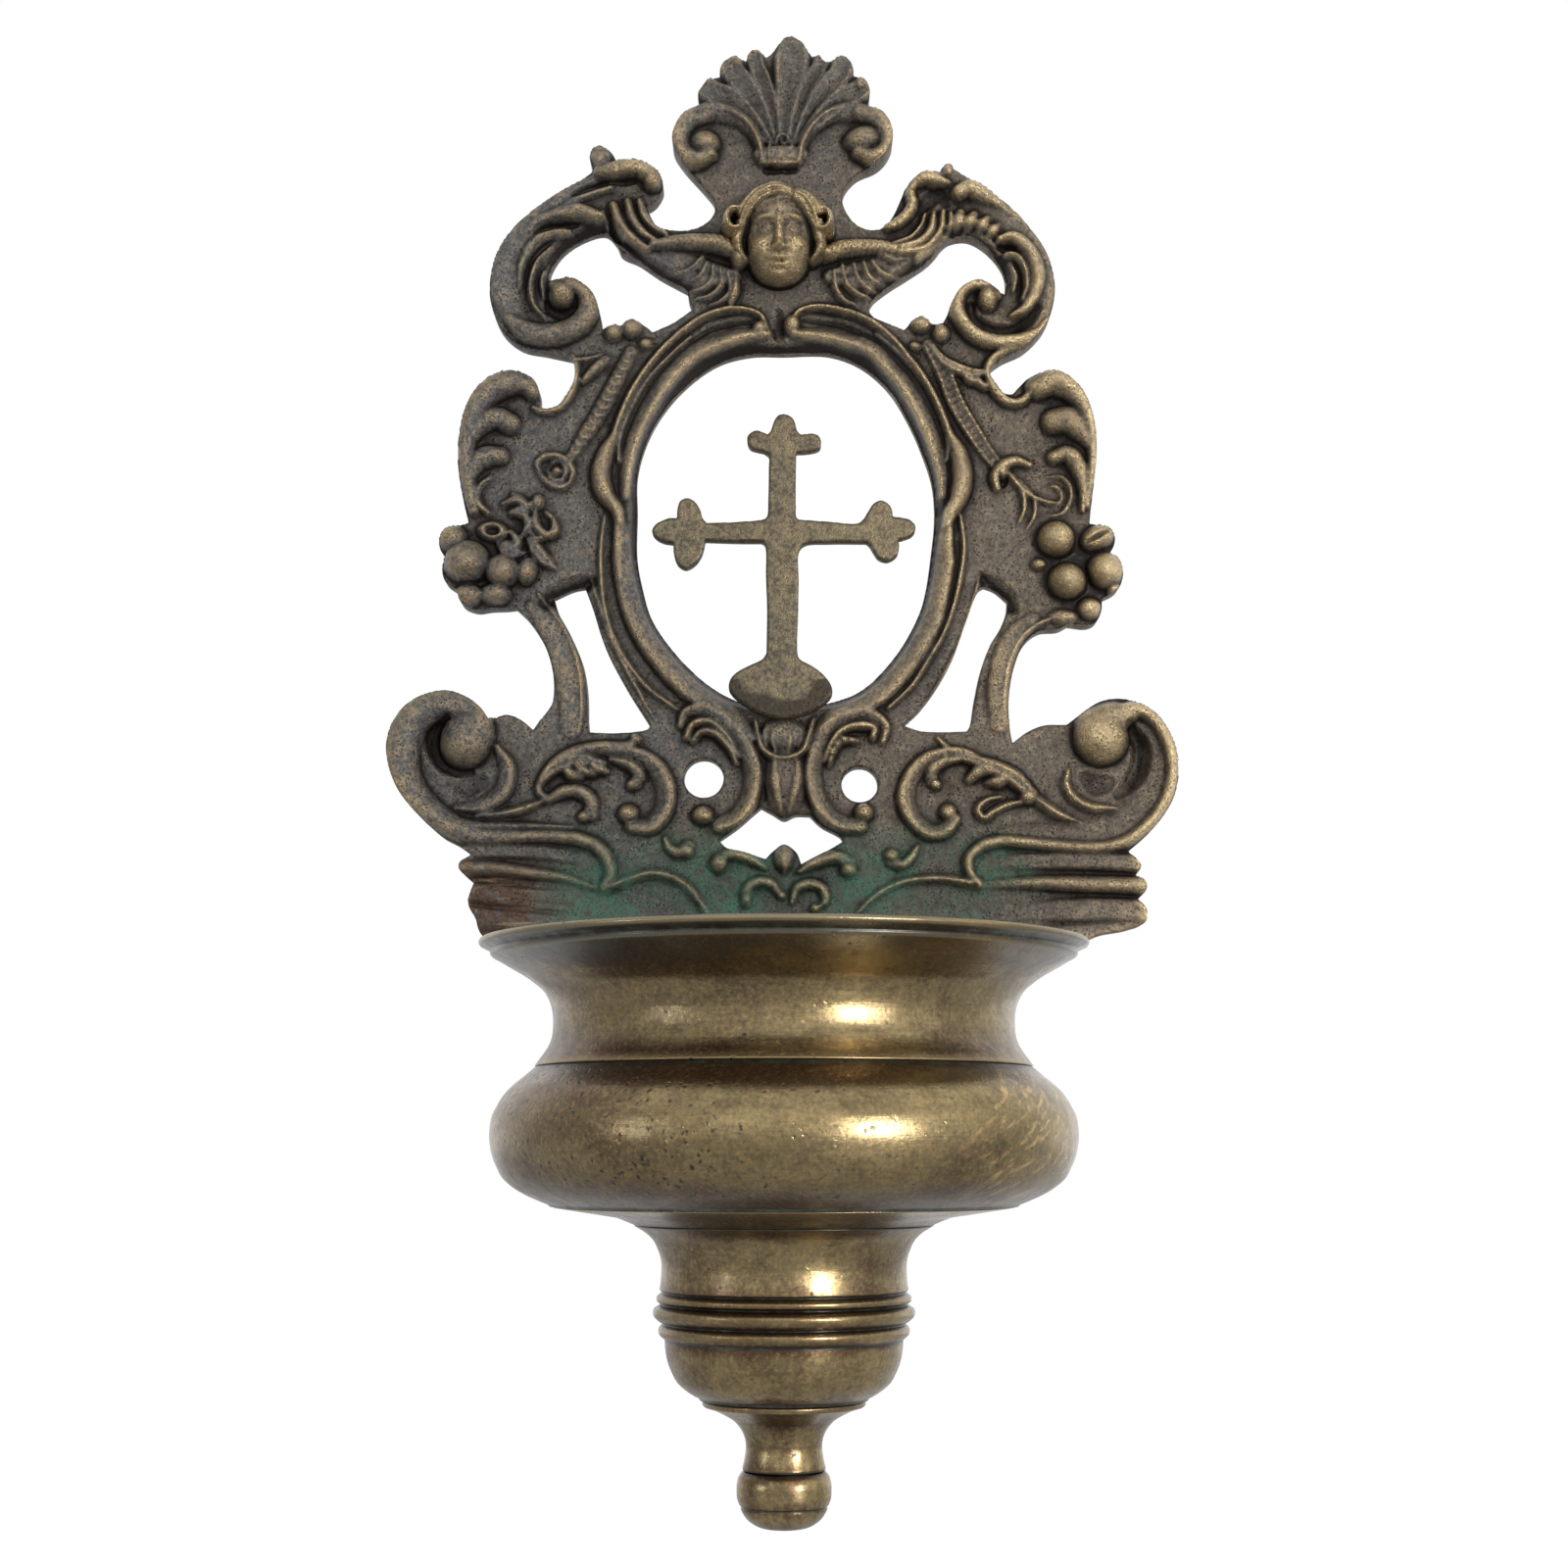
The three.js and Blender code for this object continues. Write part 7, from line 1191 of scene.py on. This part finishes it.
# a box has its low corner, its high corner and its fade, each along x, y and z, with None where it has no bounds
materials = {
    "patina": makeMaterial("agedPlate", patinaGroup, bump=1, boxes={
        "Green": ((-0.033, -0.1, -0.04), (0.037, -0.0015, -0.018), (0.012, 0.0012, 0.012)),
        "Rust": ((-0.08, -0.1, -0.04), (-0.046, -0.0015, -0.02), (0.01, 0.0012, 0.01))}),
    "cross_brass": makeMaterial("sawnBrass", patinaGroup, {
        "Skin": (115, 104, 85), "Blue": (104, 98, 83), "Bare": (134, 120, 93), "Bright": (148, 133, 103)}, bump=0.35),
    "turned_brass": makeMaterial("turnedBrass", turnedGroup, bump=0.36, film=0.32, boxes={
        "Fresh": ((0.03, -0.1, -0.071), (0.046, -0.052, -0.056), (0.006, 0.006, 0.006)),
        "Pitted": ((-0.04, None, -0.068), (-0.01, None, -0.053), (0.005, None, 0.005)),
        "Rim": ((-0.06, None, -0.0345), (0.06, None, -0.03), (0.004, None, 0.004))}),
    "iron": makeMaterial("rustyIron", patinaGroup, {
        "Skin": (84, 66, 52), "Blue": (70, 66, 62), "Bare": (120, 112, 104), "Bright": (134, 126, 118)}),
    "leather": makeMaterial("oldLeather", patinaGroup, {
        "Skin": (80, 54, 38), "Blue": (66, 44, 34), "Bare": (112, 80, 56), "Bright": (120, 88, 62)}),
}
for item in bpy.data.objects:
    if item.get("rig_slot", "") in materials:
        item.data.materials.append(materials[item["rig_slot"]])
for node, finish in (("basin_rivet_left", "turned_brass"), ("basin_rivet_right", "turned_brass"), ("tie_rod", "iron"),
                     ("tie_rod_nut", "iron"), ("sealing_washer", "leather")):
    for holder in frame["nodes"][node].material_slots:
        holder.material = materials[finish]
print("materials placed")

# the camera's place and tilt were worked out from the ellipses of the rim and the bulge
camera = addObject("camera", bpy.data.cameras.new("camera"))
camera.location = (0, -0.4296, -0.0635)
camera.rotation_euler = (math.radians(98.4), 0, 0)
camera.data.lens, camera.data.sensor_width = 56.25, 36
camera.data.clip_start, camera.data.clip_end = 0.01, 50
bpy.context.scene.camera = camera


# a square lamp turned to its aim: it leans by the angle whose tangent is the way out over the way up
def addLamp(name, place, size, power, color, aim=(0, 0, -0.03)):
    lamp = addObject(name, bpy.data.lights.new(name, "AREA"))
    lamp.data.size, lamp.data.energy, lamp.data.color = size, power, color
    lamp.location = place
    away = np.subtract(place, aim)
    lamp.rotation_euler = (math.atan2(math.hypot(away[0], away[1]), away[2]), 0, math.atan2(away[0], -away[1]))


addLamp("lampRight", (0.71, -1.06, 0.04), 0.1, 8, (1, 0.98, 0.95))
addLamp("lampLeft", (-1.02, -0.7, 0.04), 0.08, 1, (0.9, 0.95, 1))


# 1 for what the camera sees straight, in a gloss or through glass
def seenIn(tree):
    rays = addNode(tree, "LightPath").outputs
    return plus(plus(rays["Is Camera Ray"], rays["Is Glossy Ray"]), rays["Is Transmission Ray"], True)


# an even grey
def grey(level):
    return (level, level, level, 1)


world = bpy.context.scene.world = bpy.data.worlds.new("studio")
world.use_nodes = True
tree = world.node_tree
plug(tree.nodes["Background"].inputs["Color"], blend(seenIn(tree), grey(0.5), grey(1)))


# a part of the studio, which isn't part of the object
def stagePiece(name, spots, faces):
    mesh = bpy.data.meshes.new(name)
    mesh.from_pydata(spots, [], faces)
    piece = addObject(name, mesh)
    return piece


floor = stagePiece("studioFloor", [(-8, -8, -0.3), (8, -8, -0.3), (8, 8, -0.3), (-8, 8, -0.3)], [(0, 1, 2, 3)])
paper, tree, shader = newMaterial("paper")
grain = noise(addNode(tree, "TexCoord").outputs["Object"], 30, 3)
plug(shader["Base Color"], blend(grain, grey(0.88), grey(0.92)))
shader["Roughness"].default_value, shader["Emission Color"].default_value = 0.9, grey(1)
plug(shader["Emission Strength"], times(seenIn(tree), 0.56))
floor.data.materials.append(paper)

# a grey curtain round the front of the studio and a cloth under the font, darker towards the floor, which only the metal's
# reflections see
studio = {"turns": 48, "radius": 1.8, "foot": -0.29, "top": 1.5, "opening": (9, 39)}
count, around = studio["turns"], np.linspace(-math.pi, math.pi, studio["turns"], endpoint=False)
foot = studio["radius"] * np.stack([np.sin(around), -np.cos(around)], 1)
spots = [(x, y, z) for z in (studio["foot"], studio["top"]) for x, y in foot] + [(0, 0, studio["foot"])]
walls = [(i, i + 1, i + count + 1, i + count) for i in range(*studio["opening"])]
under = [(2 * count, i, (i + 1) % count) for i in range(count)]
curtain = stagePiece("studioCurtain", spots, walls + under)
curtain.visible_camera = curtain.visible_diffuse = curtain.visible_shadow = False
cloths = (("leftCloth", 0.52, 10), ("middleCloth", 1.06, 10), ("rightCloth", 1.1, 6), ("sideCloth", 0.66, 4),
          ("floorCloth", 0.9, 48))  # glow, and how many panels
for label, level, panels in cloths:
    cloth, tree, shader = newMaterial(label)
    shader["Base Color"].default_value, shader["Emission Color"].default_value = grey(0.1), grey(level)
    up = partsOf(addNode(tree, "TexCoord").outputs["Object"])[2]
    plug(shader["Emission Strength"], remap(up, studio["foot"], 0.3, 0.5, 1))
    curtain.data.materials.append(cloth)
curtain.data.polygons.foreach_set("material_index", np.repeat(range(len(cloths)), [panels for _, _, panels in cloths]))

bpy.context.scene.view_settings.view_transform = "Standard"
print("camera, lamps and studio set")
